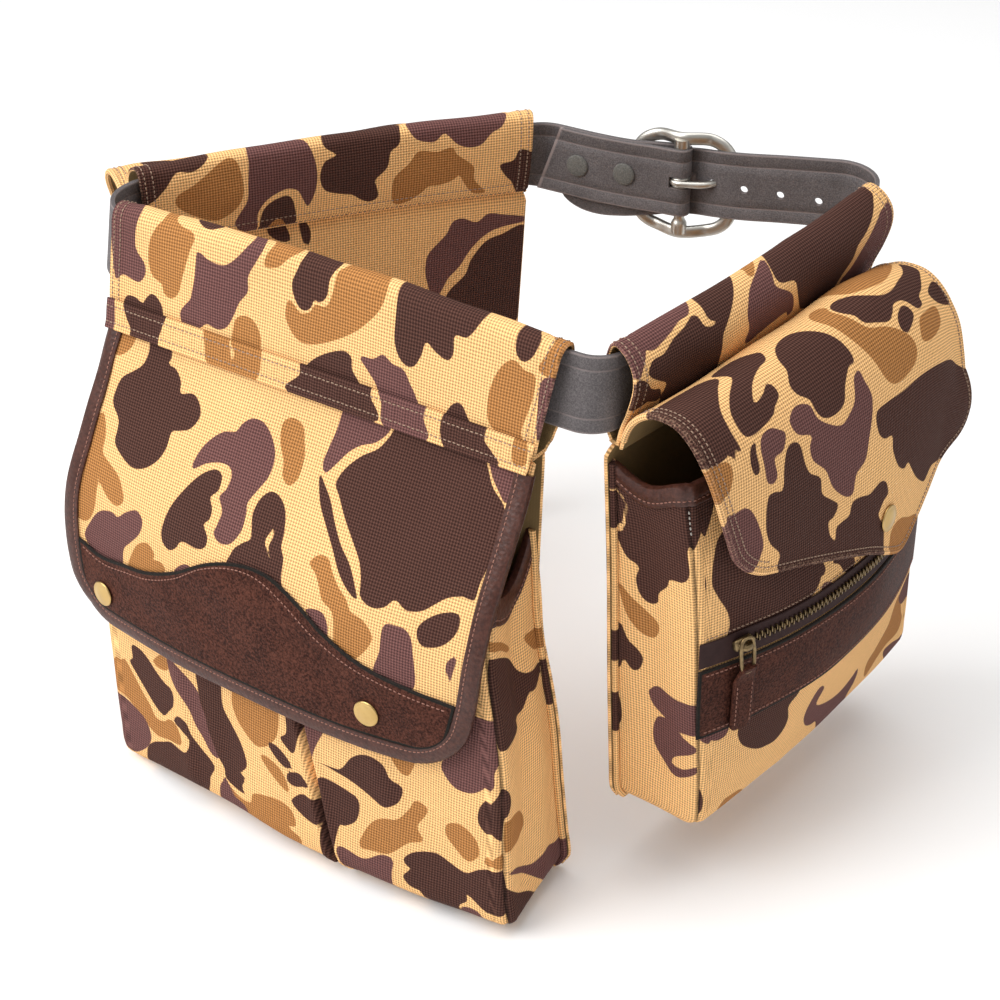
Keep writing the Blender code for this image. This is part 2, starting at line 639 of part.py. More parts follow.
class Flap:
    def __init__(self, side):
        self.side = side
        self.rear = side == "rear"
        self.turn = -1.0 if side == "left" else 1.0
        self.profile = REAR_FLAP if self.rear else SIDE_FLAP
        self.outline = REAR_OUTLINE if self.rear else SIDE_OUTLINE
        self.hem = REAR_HEM if self.rear else SIDE_HEM
        self.corner = REAR_HEM_CORNER if self.rear else SIDE_HEM_CORNER
        self.belly = REAR_FLAP_BELLY if self.rear else SIDE_FLAP_BELLY
        self.rows = []
        along = 0.0
        Track = namedtuple("Track", "along out down belly")
        for i, fold in enumerate(self.profile):
            if i:
                before = self.profile[i - 1]
                along += sqrt((fold.out - before.out)**2 + (fold.down - before.down)**2)
            self.rows.append(Track(along, fold.out, fold.down, fold.belly))

    def point(self, x, along, height=0.0):
        """Place on the flap, lifted off its outer face by a height."""
        base = self.plain(x, along)
        if height:
            base = base + self.normal(x, along) * height
        return base

    def plain(self, x, along):
        out = interpolate(self.rows, "along", along, "out")
        down = interpolate(self.rows, "along", along, "down")
        out += interpolate(self.rows, "along", along, "belly") * bell(x, *self.belly)
        if not self.rear:
            fade = min(1.0, along / 30.0)
            droop = max(0.0, (x - 40.0) / 75.0)
            down += SIDE_DROOP * droop * droop * fade * max(0.0, 1 - along / 260.0)
            out += SIDE_BOW * bell(x, 0.0, SIDE_TUNNEL_HALF) * max(0.0, 1 - along / 60.0)
        return local(self.turn * x, out, down)

    def normal(self, x, along):
        across = self.plain(x + 0.5, along) - self.plain(x - 0.5, along)
        downwards = self.plain(x, along + 0.5) - self.plain(x, along - 0.5)
        return (downwards.cross(across) * self.turn).normalized()

    def hem_at(self, across):
        along = interpolate(self.hem, "across", across, "along")
        left = interpolate(self.outline, "along", along, "left")
        right = interpolate(self.outline, "along", along, "right")
        edge = min(across, 1 - across) * (right - left)
        r = self.corner
        if edge < r:
            along -= r - sqrt(max(0.0, r * r - (r - edge)**2))
        return along

    def across(self, across, along):
        left = interpolate(self.outline, "along", along, "left")
        right = interpolate(self.outline, "along", along, "right")
        return left + (right - left) * across

    def along_at_down(self, x, down):
        """Distance along the cloth at which a hanging level is reached, below the crest."""
        low, high = (0.0 if self.rear else 60.0), 240.0
        for _ in range(30):
            mid = 0.5 * (low + high)
            if -self.plain(x, mid).z < down:
                low = mid
            else:
                high = mid
        return 0.5 * (low + high)


def flap_columns(rear):
    edge = [0.0, 0.01, 0.04, 0.09]
    middle = spread(0.17, 0.83, 7)
    return edge + middle + [1 - t for t in reversed(edge)]


def make_flap(flap):
    columns = flap_columns(flap.rear)
    levels = spread(0.0, 1.0, 11 if flap.rear else 14)
    rows = []
    for level in levels:
        row = []
        for across in columns:
            along = level * flap.hem_at(across)
            row.append(flap.point(flap.across(across, along), along))
        rows.append(row if flap.turn > 0 else row[::-1])
    name = flap.side + "_flap"
    return make_sheet(name, rows, CLOTH, "canvas", bpy.data.objects[flap.side + "_hanger"])


def flap_border(flap, start):
    """Flat (x, along) stations down the left edge, round the hem and up the right edge."""
    columns = flap_columns(flap.rear)
    levels = [t for t in spread(0.0, 1.0, 11) if t * flap.hem_at(0.0) >= start]
    left = [(0.0, level * flap.hem_at(0.0)) for level in levels]
    hem = [(across, flap.hem_at(across)) for across in columns[1:-1]]
    right = [(1.0, level * flap.hem_at(1.0)) for level in reversed(levels)]
    return [Vector((flap.across(a, s), s)) for a, s in left + hem + right]


def inward_directions(path):
    directions = []
    for i, here in enumerate(path):
        ahead, behind = path[min(i + 1, len(path) - 1)], path[max(i - 1, 0)]
        run = (ahead - behind).normalized()
        directions.append(Vector((run.y, -run.x)))
    return directions


def make_flap_binding(flap):
    """Leather channel that clasps the flap's free edge."""
    gap = BINDING_GAP
    wide = LEATHER + gap
    reach = BINDING_REACH
    profile = ((reach, wide), (-wide, wide), (-wide, -CLOTH - wide), (reach, -CLOTH - wide),
               (reach, -CLOTH - gap), (-gap, -CLOTH - gap), (-gap, gap), (reach, gap))
    path = flap_border(flap, 8.0)
    sections = []
    for here, inwards in zip(path, inward_directions(path)):
        section = []
        for reach_in, height in profile:
            spot = here + inwards * reach_in
            section.append(flap.point(spot.x, spot.y, height))
        sections.append(section)
    hanger = bpy.data.objects[flap.side + "_hanger"]
    make_sweep(flap.side + "_flap_binding", sections, "leather", hanger, caps=CHANNEL_CAPS)


def make_yoke(flap):
    """Leather yoke on the rear flap, between its waved top edge and the binding."""
    inset = BINDING_REACH + YOKE_INSET
    columns = flap_columns(True)
    rows = [[] for _ in range(6)]
    for across in columns:
        hem = flap.hem_at(across) - inset
        left = flap.across(0.0, hem) + inset
        right = flap.across(1.0, hem) - inset
        corner = min(across, 1 - across) * (right - left)
        r = flap.corner - inset
        hem = interpolate(flap.hem, "across", across, "along") - inset
        if corner < r:
            hem -= r - sqrt(max(0.0, r * r - (r - corner)**2))
        x_here = left + (right - left) * across
        top = flap.along_at_down(x_here, interpolate(YOKE_TOP, "x", x_here, "down"))
        for i, t in enumerate(spread(0.0, 1.0, 6)):
            along = top + (hem - top) * t
            low = flap.across(0.0, along) + inset
            high = flap.across(1.0, along) - inset
            rows[i].append(flap.point(low + (high - low) * across, along, YOKE_LIFT + BAND_LEATHER))
    make_sheet("rear_flap_yoke", rows, BAND_LEATHER, "leather", bpy.data.objects["rear_hanger"])


def make_snap(name, flap, x, down, lift):
    along = flap.along_at_down(x, down)
    matrix = facing(flap.point(x, along, lift), flap.normal(x, along))
    make_turned(name, SNAP, SNAP_SIDES, "brass", matrix, bpy.data.objects[flap.side + "_hanger"])


def make_stitch_band():
    rows = []
    for ring in SEAM_BAND:
        row = []
        for t in spread(-1.0, 1.0, TUNNEL_STATIONS):
            slant = REAR_TUNNEL_SLANT * ring.down / REAR_TUNNEL[-1].down * max(0.0, t)
            row.append(local(t * REAR_TUNNEL_HALF - slant, ring.out + GAP + SEAM_BAND_WALL, ring.down))
        rows.append(row)
    make_sheet("rear_stitch_band", rows, SEAM_BAND_WALL, "canvas", bpy.data.objects["rear_hanger"])


# Front of a shell pouch

def front_point(side, x, down, height):
    """Place on a shell pouch's front panel, lifted off it."""
    turn = -1.0 if side == "left" else 1.0

    def plain(px, pd):
        return local(turn * px, front_out(SIDE_BODY, px, pd, False), pd)

    across = plain(x + 0.5, down) - plain(x - 0.5, down)
    downwards = plain(x, down + 0.5) - plain(x, down - 0.5)
    normal = (downwards.cross(across) * turn).normalized()
    return plain(x, down) + normal * height, normal


def front_strip(side, name, left, right, top, bottom, lift, wall, finish):
    turn = -1.0 if side == "left" else 1.0
    rows = []
    for down in spread(top, bottom, 4):
        row = [front_point(side, x, down, lift + wall)[0] for x in spread(left, right, STRIP_COLUMNS)]
        rows.append(row if turn > 0 else row[::-1])
    return make_sheet(side + name, rows, wall, finish, bpy.data.objects[side + "_hanger"])


def make_front_pocket(side):
    ends = (POCKET_LEFT, POCKET_RIGHT)
    tape = (ZIP_DOWN - TAPE_TALL / 2, ZIP_DOWN + TAPE_TALL / 2)
    front_strip(side, "_zip_tape", *ends, *tape, FRONT_SEAT, TAPE_WALL, "zip_cloth")
    teeth = (ZIP_DOWN - TEETH_TALL / 2, ZIP_DOWN + TEETH_TALL / 2)
    front_strip(side, "_zip_teeth", ZIP_LEFT, ZIP_RIGHT, *teeth, TEETH_SEAT, TEETH_WALL, "brass")
    band = (BAND_TOP, BAND_TOP + BAND_TALL)
    front_strip(side, "_leather_band", *ends, *band, FRONT_SEAT, BAND_LEATHER, "leather")
    make_slider(side)


def make_block(name, matrix, size, finish, parent, bevel=0.8):
    """Rounded block, centred on the matrix."""
    mesh = bpy.data.meshes.new(name)
    work = bmesh.new()
    bmesh.ops.create_cube(work, size=1.0)
    for v in work.verts:
        v.co = Vector((v.co.x * size[0], v.co.y * size[1], v.co.z * size[2]))
    bmesh.ops.bevel(work, geom=work.edges[:], offset=bevel, segments=1, affect="EDGES")
    for v in work.verts:
        v.co = (matrix @ v.co) * MM
    work.to_mesh(mesh)
    work.free()
    mesh.materials.append(material(finish))
    obj = bpy.data.objects.new(name, mesh)
    bpy.context.scene.collection.objects.link(obj)
    obj.parent = parent
    return obj


def make_slider(side):
    """Zip slider, its wire loop and the leather tab that hangs from it."""
    turn = -1.0 if side == "left" else 1.0
    hanger = bpy.data.objects[side + "_hanger"]
    x = ZIP_LEFT - SLIDER_OFF
    spot, normal = front_point(side, x, ZIP_DOWN, SLIDER_ABOVE)
    make_block(side + "_zip_slider", facing(spot, normal), SLIDER_SIZE, "brass", hanger)
    middle = (x, ZIP_DOWN + 0.5 * (LOOP_DOWN - LOOP_UP))
    half = (LOOP_HALF, 0.5 * (LOOP_DOWN + LOOP_UP))
    rings = []
    for shrink_x, shrink_down in ((1.0, 1.0), LOOP_INSIDE):
        ring = []
        for a, b in ((-1, -1), (1, -1), (1, 1), (-1, 1)):
            px, pd = middle[0] + a * half[0] * shrink_x, middle[1] + b * half[1] * shrink_down
            ring.append(front_point(side, px, pd, 0.0)[0])
        rings.append(ring)
    points = []
    for outer, inner in zip(*rings):
        for flat, above in ((outer, 0.0), (outer, LOOP_WIRE), (inner, LOOP_WIRE), (inner, 0.0)):
            points.append(flat + normal * (LOOP_ABOVE + above))
    faces = []
    for s in range(4):
        for k in range(4):
            ahead = (s + 1) % 4 * 4
            faces.append((s * 4 + k, s * 4 + (k + 1) % 4, ahead + (k + 1) % 4, ahead + k))
    loop = make_object(side + "_zip_loop", points, faces, "brass", hanger)
    turn_outwards(loop.data)
    rows = []
    top = ZIP_DOWN + LOOP_DOWN + GAP
    for down in spread(top, top + TAB_TALL, 4):
        row = [front_point(side, px, down, TAB_ABOVE)[0]
               for px in spread(x - TAB_WIDE / 2, x + TAB_WIDE / 2, 3)]
        rows.append(row if turn > 0 else row[::-1])
    make_sheet(side + "_zip_tab", rows, TAB_WALL, "leather", hanger)


# Belt

def to_plan(side, x, out, down):
    spot = place_matrix(PLACES[side]) @ (local(x, out, down) * MM)
    return Vector((spot.x, spot.y)) / MM


def cross_point(a, b, c, d):
    """Where the line through a and b meets the line through c and d."""
    r, s = b - a, d - c
    t = ((c - a).x * s.y - (c - a).y * s.x) / (r.x * s.y - r.y * s.x)
    return a + r * t


Corner = namedtuple("Corner", "at radius")


def round_path(corners):
    """Points along a polyline whose corners are arcs."""
    step = radians(CORNER_STEP)
    path = [corners[0].at]
    for i in range(1, len(corners) - 1):
        here = corners[i].at
        before, after = corners[i - 1].at - here, corners[i + 1].at - here
        a, b = before.normalized(), after.normalized()
        angle = pi - acos(max(-1.0, min(1.0, a.dot(b))))
        reach = corners[i].radius * tan(angle / 2)
        start, end = here + a * reach, here + b * reach
        centre = here + (a + b).normalized() * sqrt(corners[i].radius**2 + reach**2)
        pieces = max(2, int(angle / step), int(corners[i].radius * angle / 30.0))
        first = atan2(start.y - centre.y, start.x - centre.x)
        turn = atan2(end.y - centre.y, end.x - centre.x) - first
        turn = (turn + pi) % (2 * pi) - pi
        for k in range(pieces + 1):
            t = first + turn * k / pieces
            path.append(centre + Vector((cos(t), sin(t))) * corners[i].radius)
    path.append(corners[-1].at)
    return path


def belt_corners():
    """Corners of the belt's centre line, from the right pouch's back end round to the buckle."""
    rear = [to_plan("rear", x, out, REAR_BELT_DOWN) for x, out in
            zip((-REAR_TUNNEL_HALF, REAR_TUNNEL_HALF), REAR_BELT_OUT)]
    half = SIDE_TUNNEL_HALF
    peak = 1.8 * SIDE_BOW
    right, left = ([to_plan(side, x, SIDE_BELT_OUT + bow, SIDE_BELT_DOWN[side])
                    for x, bow in ((-end, 0.0), (0.0, peak), (end, 0.0))]
                   for side, end in (("right", half), ("left", -half)))
    buckle = Vector(BUCKLE_AT)
    tunnel_radius = TUNNEL_ARC * half / tan(atan2(peak, half))
    back_line = buckle + Vector((cos(radians(BACK_SLOPE)), sin(radians(BACK_SLOPE)))) * 60.0
    return [
        Corner(buckle, 0.0),
        Corner(cross_point(buckle, back_line, right[1], right[2]), CORNER_RADIUS["right_back"]),
        Corner(right[1], tunnel_radius),
        Corner(cross_point(right[1], right[0], rear[0], rear[1]), CORNER_RADIUS["rear_right"]),
        Corner(cross_point(left[1], left[0], rear[0], rear[1]), CORNER_RADIUS["rear_left"]),
        Corner(left[1], tunnel_radius),
        Corner(left[2] + (left[2] - left[1]).normalized() * LEFT_OVERRUN, CORNER_RADIUS["left_back"]),
        Corner(buckle, 0.0),
    ]


def belt_stations(buckle, into, outwards, back, side, path):
    """Centre line of the one strap, as (plan point, level): tip, past the bar, round the waist,
    round the bar and back as a riveted lap."""
    stations = []

    def add(p, droop=0.0):
        stations.append((p, belt_level(p) - droop))

    for run in TIP_RUN:
        add(buckle + back * run.reach + side * run.off, run.droop)
    for run in INTO_RUN:
        add(buckle + into * run.reach + outwards * run.off)
    for p in path[1:-1]:
        if (p - buckle).length > FIXED_REACH:
            add(p)
    for run in FIXED_RUN:
        add(buckle + back * run.reach + side * run.off)
    ring = BAR_RADIUS + GAP + BELT_THICK / 2
    for turn in spread(0.0, pi, BAR_SECTIONS):
        add(buckle + side * ring * cos(turn) - back * ring * sin(turn))
    for run in LAP_RUN:
        add(buckle + back * run.reach - side * run.off)
    return stations


def make_belt():
    path = round_path(belt_corners())
    buckle = Vector(BUCKLE_AT)
    into = (path[1] - buckle).normalized()
    back = (path[-2] - buckle).normalized()
    outwards = Vector((-into.y, into.x))
    side = Vector((back.y, -back.x))
    stations = belt_stations(buckle, into, outwards, back, side, path)
    half = BELT_THICK / 2
    sections = []
    for i, (p, z) in enumerate(stations):
        ahead, behind = stations[min(i + 1, len(stations) - 1)][0], stations[max(i - 1, 0)][0]
        run = (ahead - behind).normalized().to_3d()
        inwards = Vector((run.y, -run.x, 0.0))
        if inwards.x * p.x + inwards.y * p.y > 0:
            inwards.negate()
        lean = belt_lean(p, inwards)
        up = Vector((0.0, 0.0, cos(lean))) + inwards * sin(lean)
        across = run.cross(up).normalized()
        tall = BELT_WIDTH / 2
        if i == 0:
            tall *= TIP_TAPER
        elif i == len(stations) - 1:
            tall *= LAP_TAPER
        middle = Vector((p.x, p.y, z))
        sections.append([middle + across * a + up * b
                         for a, b in ((-half, -tall), (half, -tall), (half, tall), (-half, tall))])
    strap = make_sweep("belt_strap", sections, "belt_leather", smooth=False)
    cut(strap, make_belt_cutter(buckle, into, outwards, back, side))
    return into, back, side


def belt_level(p):
    """The belt rises from the buckle towards both pouches, and from left to right."""
    t = max(0.0, min(1.0, ((p - Vector(BUCKLE_AT)).length - RISE_FROM) / (RISE_TO - RISE_FROM)))
    low, high = BELT_FRONT_LEVEL
    front = low + (high - low) * max(0.0, min(1.0, 0.5 + p.x / (2 * REAR_TUNNEL_HALF)))
    return BELT_BACK_LEVEL + (front - BELT_BACK_LEVEL) * t * t * (3 - 2 * t)


def belt_lean(p, inwards):
    """The belt leans with the tunnels that it runs through, and stands upright at the buckle."""
    fade = max(0.0, min(1.0, ((p - Vector(BUCKLE_AT)).length - RISE_FROM) / RISE_FROM - 0.5))
    facing_out = (atan2(-inwards.y, -inwards.x) * 180 / pi) % 360 - 360
    return radians(interpolate(BELT_LEANS, "facing", facing_out, "lean")) * fade


def make_belt_cutter(buckle, into, outwards, back, side):
    """Punched holes, rivet holes and the prong's slot, as one cutter."""
    work = bmesh.new()

    def drill(at, direction, radius, length):
        turn = direction.to_3d().to_track_quat("Z", "Y").to_matrix().to_4x4()
        matrix = Matrix.Translation(Vector((at.x, at.y, BELT_BACK_LEVEL))) @ turn
        bmesh.ops.create_cone(work, cap_ends=True, segments=10, radius1=radius, radius2=radius,
                              depth=length, matrix=matrix)

    for reach in HOLE_REACHES:
        drill(buckle + into * reach + outwards * BELT_THICK, outwards, HOLE_RADIUS, 5 * BELT_THICK)
    for reach in RIVET_REACHES:
        drill(buckle + back * reach, side, RIVET_POST + GAP, 2.3 * BELT_THICK)
    heading = Matrix.Rotation(atan2(into.y, into.x), 4, "Z")
    size = Matrix.Diagonal((*PRONG_SLOT, 1.0))
    at = Matrix.Translation(Vector((buckle.x, buckle.y, BELT_BACK_LEVEL)) + into.to_3d() * 2.0)
    bmesh.ops.create_cube(work, size=1.0, matrix=at @ heading @ size)
    for v in work.verts:
        v.co = v.co * MM
    mesh = bpy.data.meshes.new("belt_cutter")
    work.to_mesh(mesh)
    work.free()
    cutter = bpy.data.objects.new("belt_cutter", mesh)
    bpy.context.scene.collection.objects.link(cutter)
    return cutter


def tube_sections(path, radius, sides, up, closed):
    """Rings round a path, each square to it."""
    sections = []
    count = len(path)
    for i, here in enumerate(path):
        ahead = path[(i + 1) % count] if closed else path[min(i + 1, count - 1)]
        behind = path[i - 1] if closed or i else path[0]
        run = (ahead - behind).normalized()
        a = run.cross(up).normalized()
        b = run.cross(a)
        ring = []
        for k in range(sides):
            turn = 2 * pi * k / sides
            ring.append(here + a * radius * cos(turn) + b * radius * sin(turn))
        sections.append(ring)
    return sections


def make_buckle(into, back):
    buckle = Vector((*BUCKLE_AT, BELT_BACK_LEVEL))
    along = (into - back).normalized().to_3d()
    outer = Vector((-along.y, along.x, 0.0))
    path = []
    for k in range(BUCKLE_SECTIONS):
        turn = 2 * pi * k / BUCKLE_SECTIONS
        c, s = cos(turn), sin(turn)
        x = BUCKLE_WIDE * (abs(c)**BUCKLE_SQUARE) * (1 if c > 0 else -1)
        z = BUCKLE_TALL * (abs(s)**BUCKLE_SQUARE) * (1 if s > 0 else -1)
        bow = BUCKLE_BOW * min(1.0, abs(x) / BUCKLE_FLAT)**1.4
        path.append(buckle + along * x + Vector((0, 0, z)) + outer * bow)
    sections = tube_sections(path, BUCKLE_WIRE, WIRE_SIDES, outer, True)
    points = [p for section in sections for p in section]
    faces = []
    for s in range(BUCKLE_SECTIONS):
        for k in range(WIRE_SIDES):
            here, ahead = s * WIRE_SIDES, (s + 1) % BUCKLE_SECTIONS * WIRE_SIDES
            faces.append((here + k, here + (k + 1) % WIRE_SIDES, ahead + (k + 1) % WIRE_SIDES, ahead + k))
    frame = make_object("buckle_frame", points, faces, "chrome")
    turn_outwards(frame.data)
    ends = [buckle + Vector((0, 0, z)) for z in (-BUCKLE_TALL, BUCKLE_TALL)]
    bar = make_sweep("buckle_bar", tube_sections(ends, BAR_RADIUS, BAR_SIDES, along, False), "chrome")
    join(frame, bar)
    path = [buckle + along * hook.along + outer * hook.out for hook in PRONG]
    prong = tube_sections(path, PRONG_RADIUS, WIRE_SIDES, Vector((0, 0, 1)), False)
    make_sweep("buckle_prong", prong, "chrome")


def make_rivets(back, side):
    for i, reach in enumerate(RIVET_REACHES):
        at = Vector(BUCKLE_AT) + back * reach
        matrix = facing(Vector((at.x, at.y, BELT_BACK_LEVEL)), -side.to_3d())
        make_turned("belt_rivet_%d" % (i + 1), RIVET, RIVET_SIDES, "belt_leather", matrix)


def build():
    clear_scene()
    for side in PLACES:
        make_hanger(side)
        make_tunnel(side)
        make_back_panel(side)
        make_body(side)
        flap = Flap(side)
        make_flap(flap)
        if side == "rear":
            make_stitch_band()
            make_flap_binding(flap)
            make_yoke(flap)
            lift = YOKE_LIFT + BAND_LEATHER + GAP
            for label, (x, down) in zip(("left", "right"), REAR_SNAPS):
                make_snap("rear_snap_" + label, flap, x, down, lift)
        else:
            make_front_pocket(side)
            make_snap(side + "_snap", flap, *SIDE_SNAP, GAP)
    into, back, side = make_belt()
    make_buckle(into, back)
    make_rivets(back, side)


build()
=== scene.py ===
"""Looks of a belted hunting game bag: camouflage canvas, dark leather, brass snaps, zips and a grey belt.

The pieces repeat the part's own surfaces from the same named sizes, in millimetres, at a finer step,
and add what cloth and leather show: folds, seams, stitches, weave and grain.
In each bag's own frame x runs to the right seen from outside, "out" is away from the wearer,
and "down" is below the top fold of its belt tunnel. The left pouch mirrors the right one.
"""
from collections import namedtuple
from math import acos, atan2, cos, degrees, pi, radians, sin, sqrt, tan

import bmesh
import bpy
import numpy as np
from mathutils import Matrix, Vector


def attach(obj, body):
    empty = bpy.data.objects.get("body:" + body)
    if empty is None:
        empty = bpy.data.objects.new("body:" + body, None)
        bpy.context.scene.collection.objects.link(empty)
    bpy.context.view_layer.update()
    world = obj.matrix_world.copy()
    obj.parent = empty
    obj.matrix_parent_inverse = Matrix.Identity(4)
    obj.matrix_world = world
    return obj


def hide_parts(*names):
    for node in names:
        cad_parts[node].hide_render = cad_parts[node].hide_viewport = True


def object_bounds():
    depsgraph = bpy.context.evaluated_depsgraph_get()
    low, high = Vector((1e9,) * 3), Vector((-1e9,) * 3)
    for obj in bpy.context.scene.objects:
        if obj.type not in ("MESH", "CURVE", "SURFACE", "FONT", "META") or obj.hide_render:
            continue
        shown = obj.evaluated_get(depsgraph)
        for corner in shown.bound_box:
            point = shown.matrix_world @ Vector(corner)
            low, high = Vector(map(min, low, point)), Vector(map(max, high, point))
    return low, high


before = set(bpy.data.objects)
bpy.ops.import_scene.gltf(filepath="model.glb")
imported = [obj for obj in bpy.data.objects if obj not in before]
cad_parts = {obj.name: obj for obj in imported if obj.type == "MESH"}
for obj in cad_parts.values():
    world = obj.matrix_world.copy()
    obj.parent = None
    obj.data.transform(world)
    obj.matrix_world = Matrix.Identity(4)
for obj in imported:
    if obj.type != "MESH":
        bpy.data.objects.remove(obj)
CAD_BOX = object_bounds()

MM = 0.001
GAP = 0.3                 # between two pieces that lie on each other
CLOTH = 2.0               # wall of lined canvas
BAND_LEATHER = 1.6        # wall of a leather band or yoke
STEP = 2.1                # distance between the points of a fine surface
FLAP_STEP = 1.5

# Where each bag hangs: its frame's place, its turn and its lean in degrees
Place = namedtuple("Place", "x y z yaw lean")
PLACES = {
    "rear": Place(-10.0, -115.0, 25.0, 0.0, 0.0),
    "right": Place(157.2, 5.3, 28.0, 85.4, 0.0),
    "left": Place(-102.5, 11.2, 25.0, -125.4, 11.0),
}

# Belt tunnels: section from the inner wall's foot over the fold to the outer wall's foot
Ring = namedtuple("Ring", "out down")
REAR_TUNNEL = (
    Ring(5.0, 58.0), Ring(-2.0, 47.0), Ring(-5.0, 30.0), Ring(-6.5, 12.0), Ring(-4.5, 1.0),
    Ring(0.5, -2.0), Ring(5.5, -0.8), Ring(8.5, 4.0), Ring(10.5, 15.0), Ring(13.0, 28.0),
    Ring(16.0, 45.0), Ring(17.0, 58.0),
)
SIDE_TUNNEL = (
    Ring(-1.0, 52.0), Ring(-5.5, 43.0), Ring(-7.2, 26.0), Ring(-6.0, 10.0), Ring(-3.0, 0.5),
    Ring(0.5, -1.5), Ring(4.5, -0.5), Ring(9.5, 3.0), Ring(14.0, 10.0), Ring(14.5, 19.0),
    Ring(11.0, 32.0), Ring(6.8, 43.0), Ring(4.5, 52.0),
)
REAR_TUNNEL_HALF = 138.0
REAR_TUNNEL_SLANT = 9.0   # its right end runs in by this at its foot
SIDE_TUNNEL_HALF = 112.0
REAR_ARCH = 4.0           # the rear fold rises in its middle
ARCH_FADE = 20.0
SIDE_BOW = 4.0            # a side tunnel stands out in its middle

# Bodies
Level = namedtuple("Level", "down left right back depth belly")
REAR_SPLAY = 8.0
REAR_BODY = (
    Level(128.0, -122.0, 122.0, 5.0, 38.0, 9.5),
    Level(146.0, -124.0, 125.5, 4.0, 43.0, 11.0),
    Level(165.0, -126.0, 129.0, 3.0, 46.5, 12.0),
    Level(190.0, -129.0, 135.0, 2.0, 49.5, 12.5),
    Level(222.0, -133.0, 140.0, 1.0, 51.5, 13.0),
    Level(258.0, -130.0, 143.0, 0.5, 54.5, 13.5),
    Level(290.0, -125.5, 146.0, 0.0, 58.0, 14.0),
    Level(307.0, -123.0, 148.0, 0.0, 58.5, 14.0),
    Level(314.0, -118.0, 144.5, 0.0, 53.5, 14.0),
)
REAR_BELLY_AT = 25.0
PLEAT_TOP = 17.0
PLEAT_BOTTOM = 41.0
PLEAT_DEPTH = 11.5
SIDE_BODY = (
    Level(62.0, -113.0, 110.0, 0.3, 42.5, 12.0),
    Level(80.0, -111.5, 110.5, 0.3, 44.0, 13.0),
    Level(105.0, -109.5, 111.0, 0.3, 46.0, 19.0),
    Level(135.0, -107.5, 111.5, 0.3, 47.5, 23.0),
    Level(165.0, -106.0, 112.0, 0.3, 48.5, 25.0),
    Level(195.0, -104.5, 112.5, 0.3, 49.5, 24.0),
    Level(225.0, -102.5, 113.0, 0.3, 50.5, 17.0),
    Level(254.0, -100.5, 113.5, 0.3, 51.5, 9.0),
    Level(269.0, -99.0, 113.5, 0.3, 51.0, 5.5),
    Level(275.5, -95.0, 110.0, 0.3, 46.5, 4.5),
)
SIDE_BELLY_AT = 4.0
BODY_CORNER = 7.0
MOUTH_LIP = 10.0
MOUTH_DIP = 9.0
FLANGE = 3.5

# Flaps
Fold = namedtuple("Fold", "out down belly")
REAR_FLAP = (
    Fold(17.0, 58.35, 0.0), Fold(23.5, 74.0, 1.0), Fold(30.5, 89.0, 3.0), Fold(37.5, 104.0, 5.0),
    Fold(44.0, 119.0, 7.0), Fold(49.5, 133.0, 9.5), Fold(53.5, 147.0, 11.5), Fold(55.5, 161.0, 12.5),
    Fold(56.0, 178.0, 13.0), Fold(56.5, 196.0, 13.5), Fold(57.0, 214.0, 13.5), Fold(57.5, 234.0, 13.5),
)
SIDE_FLAP = (
    Fold(4.9, 52.4, 0.0), Fold(8.2, 43.0, 0.0), Fold(13.2, 34.5, 0.0), Fold(20.5, 27.5, 0.0),
    Fold(29.5, 24.0, 0.0),
    Fold(41.0, 25.0, 2.0), Fold(51.0, 33.0, 4.0), Fold(58.0, 46.0, 7.0), Fold(61.0, 62.0, 10.0),
    Fold(61.5, 84.0, 14.0), Fold(60.0, 108.0, 19.0), Fold(58.0, 132.0, 23.0), Fold(57.0, 158.0, 25.0),
)
REAR_FLAP_BELLY = (15.0, 150.0)
SIDE_FLAP_BELLY = (4.0, 125.0)
SIDE_DROOP = 21.0         # a shell pouch's flap hangs lower towards its free end
DROOP_FROM = 40.0
DROOP_REACH = 75.0
DROOP_FADE = 30.0
DROOP_END = 260.0
RIDGE_HOLD = 0.35         # it droops less along its top ridge
RIDGE_AT = (25.0, 45.0)
FLARE = 6.0               # and turns out at its free corner
FLARE_FROM = 85.0
FLARE_REACH = 40.0
FLARE_AT = (142.0, 32.0)
BOW_END = 60.0            # the tunnel's bow fades along the flap
Edge = namedtuple("Edge", "along left right")
REAR_OUTLINE = (
    Edge(0.0, -136.0, 130.0), Edge(32.0, -138.5, 130.0), Edge(66.0, -142.5, 129.0),
    Edge(98.0, -146.5, 128.0), Edge(125.0, -148.5, 125.5), Edge(150.0, -147.0, 120.5),
    Edge(180.0, -141.0, 112.5),
)
SIDE_OUTLINE = (
    Edge(0.0, -114.0, 104.0), Edge(30.0, -118.0, 105.5), Edge(66.0, -120.0, 112.0),
    Edge(95.0, -114.0, 118.0), Edge(125.0, -104.0, 126.0), Edge(150.0, -95.0, 127.0),
    Edge(190.0, -84.0, 106.0),
)
Hem = namedtuple("Hem", "across along")
REAR_HEM = (
    Hem(0.0, 173.0), Hem(0.25, 174.0), Hem(0.5, 173.0), Hem(0.75, 173.0), Hem(1.0, 168.0),
)
SIDE_HEM = (
    Hem(0.0, 143.0), Hem(0.2, 155.0), Hem(0.42, 172.0), Hem(0.57, 186.0), Hem(0.64, 190.0),
    Hem(0.7, 186.0), Hem(0.78, 172.0), Hem(0.87, 160.0), Hem(1.0, 148.0),
)
REAR_HEM_CORNER = 26.0
SIDE_HEM_CORNER = 16.0
BINDING_REACH = 8.5
Wave = namedtuple("Wave", "x down")
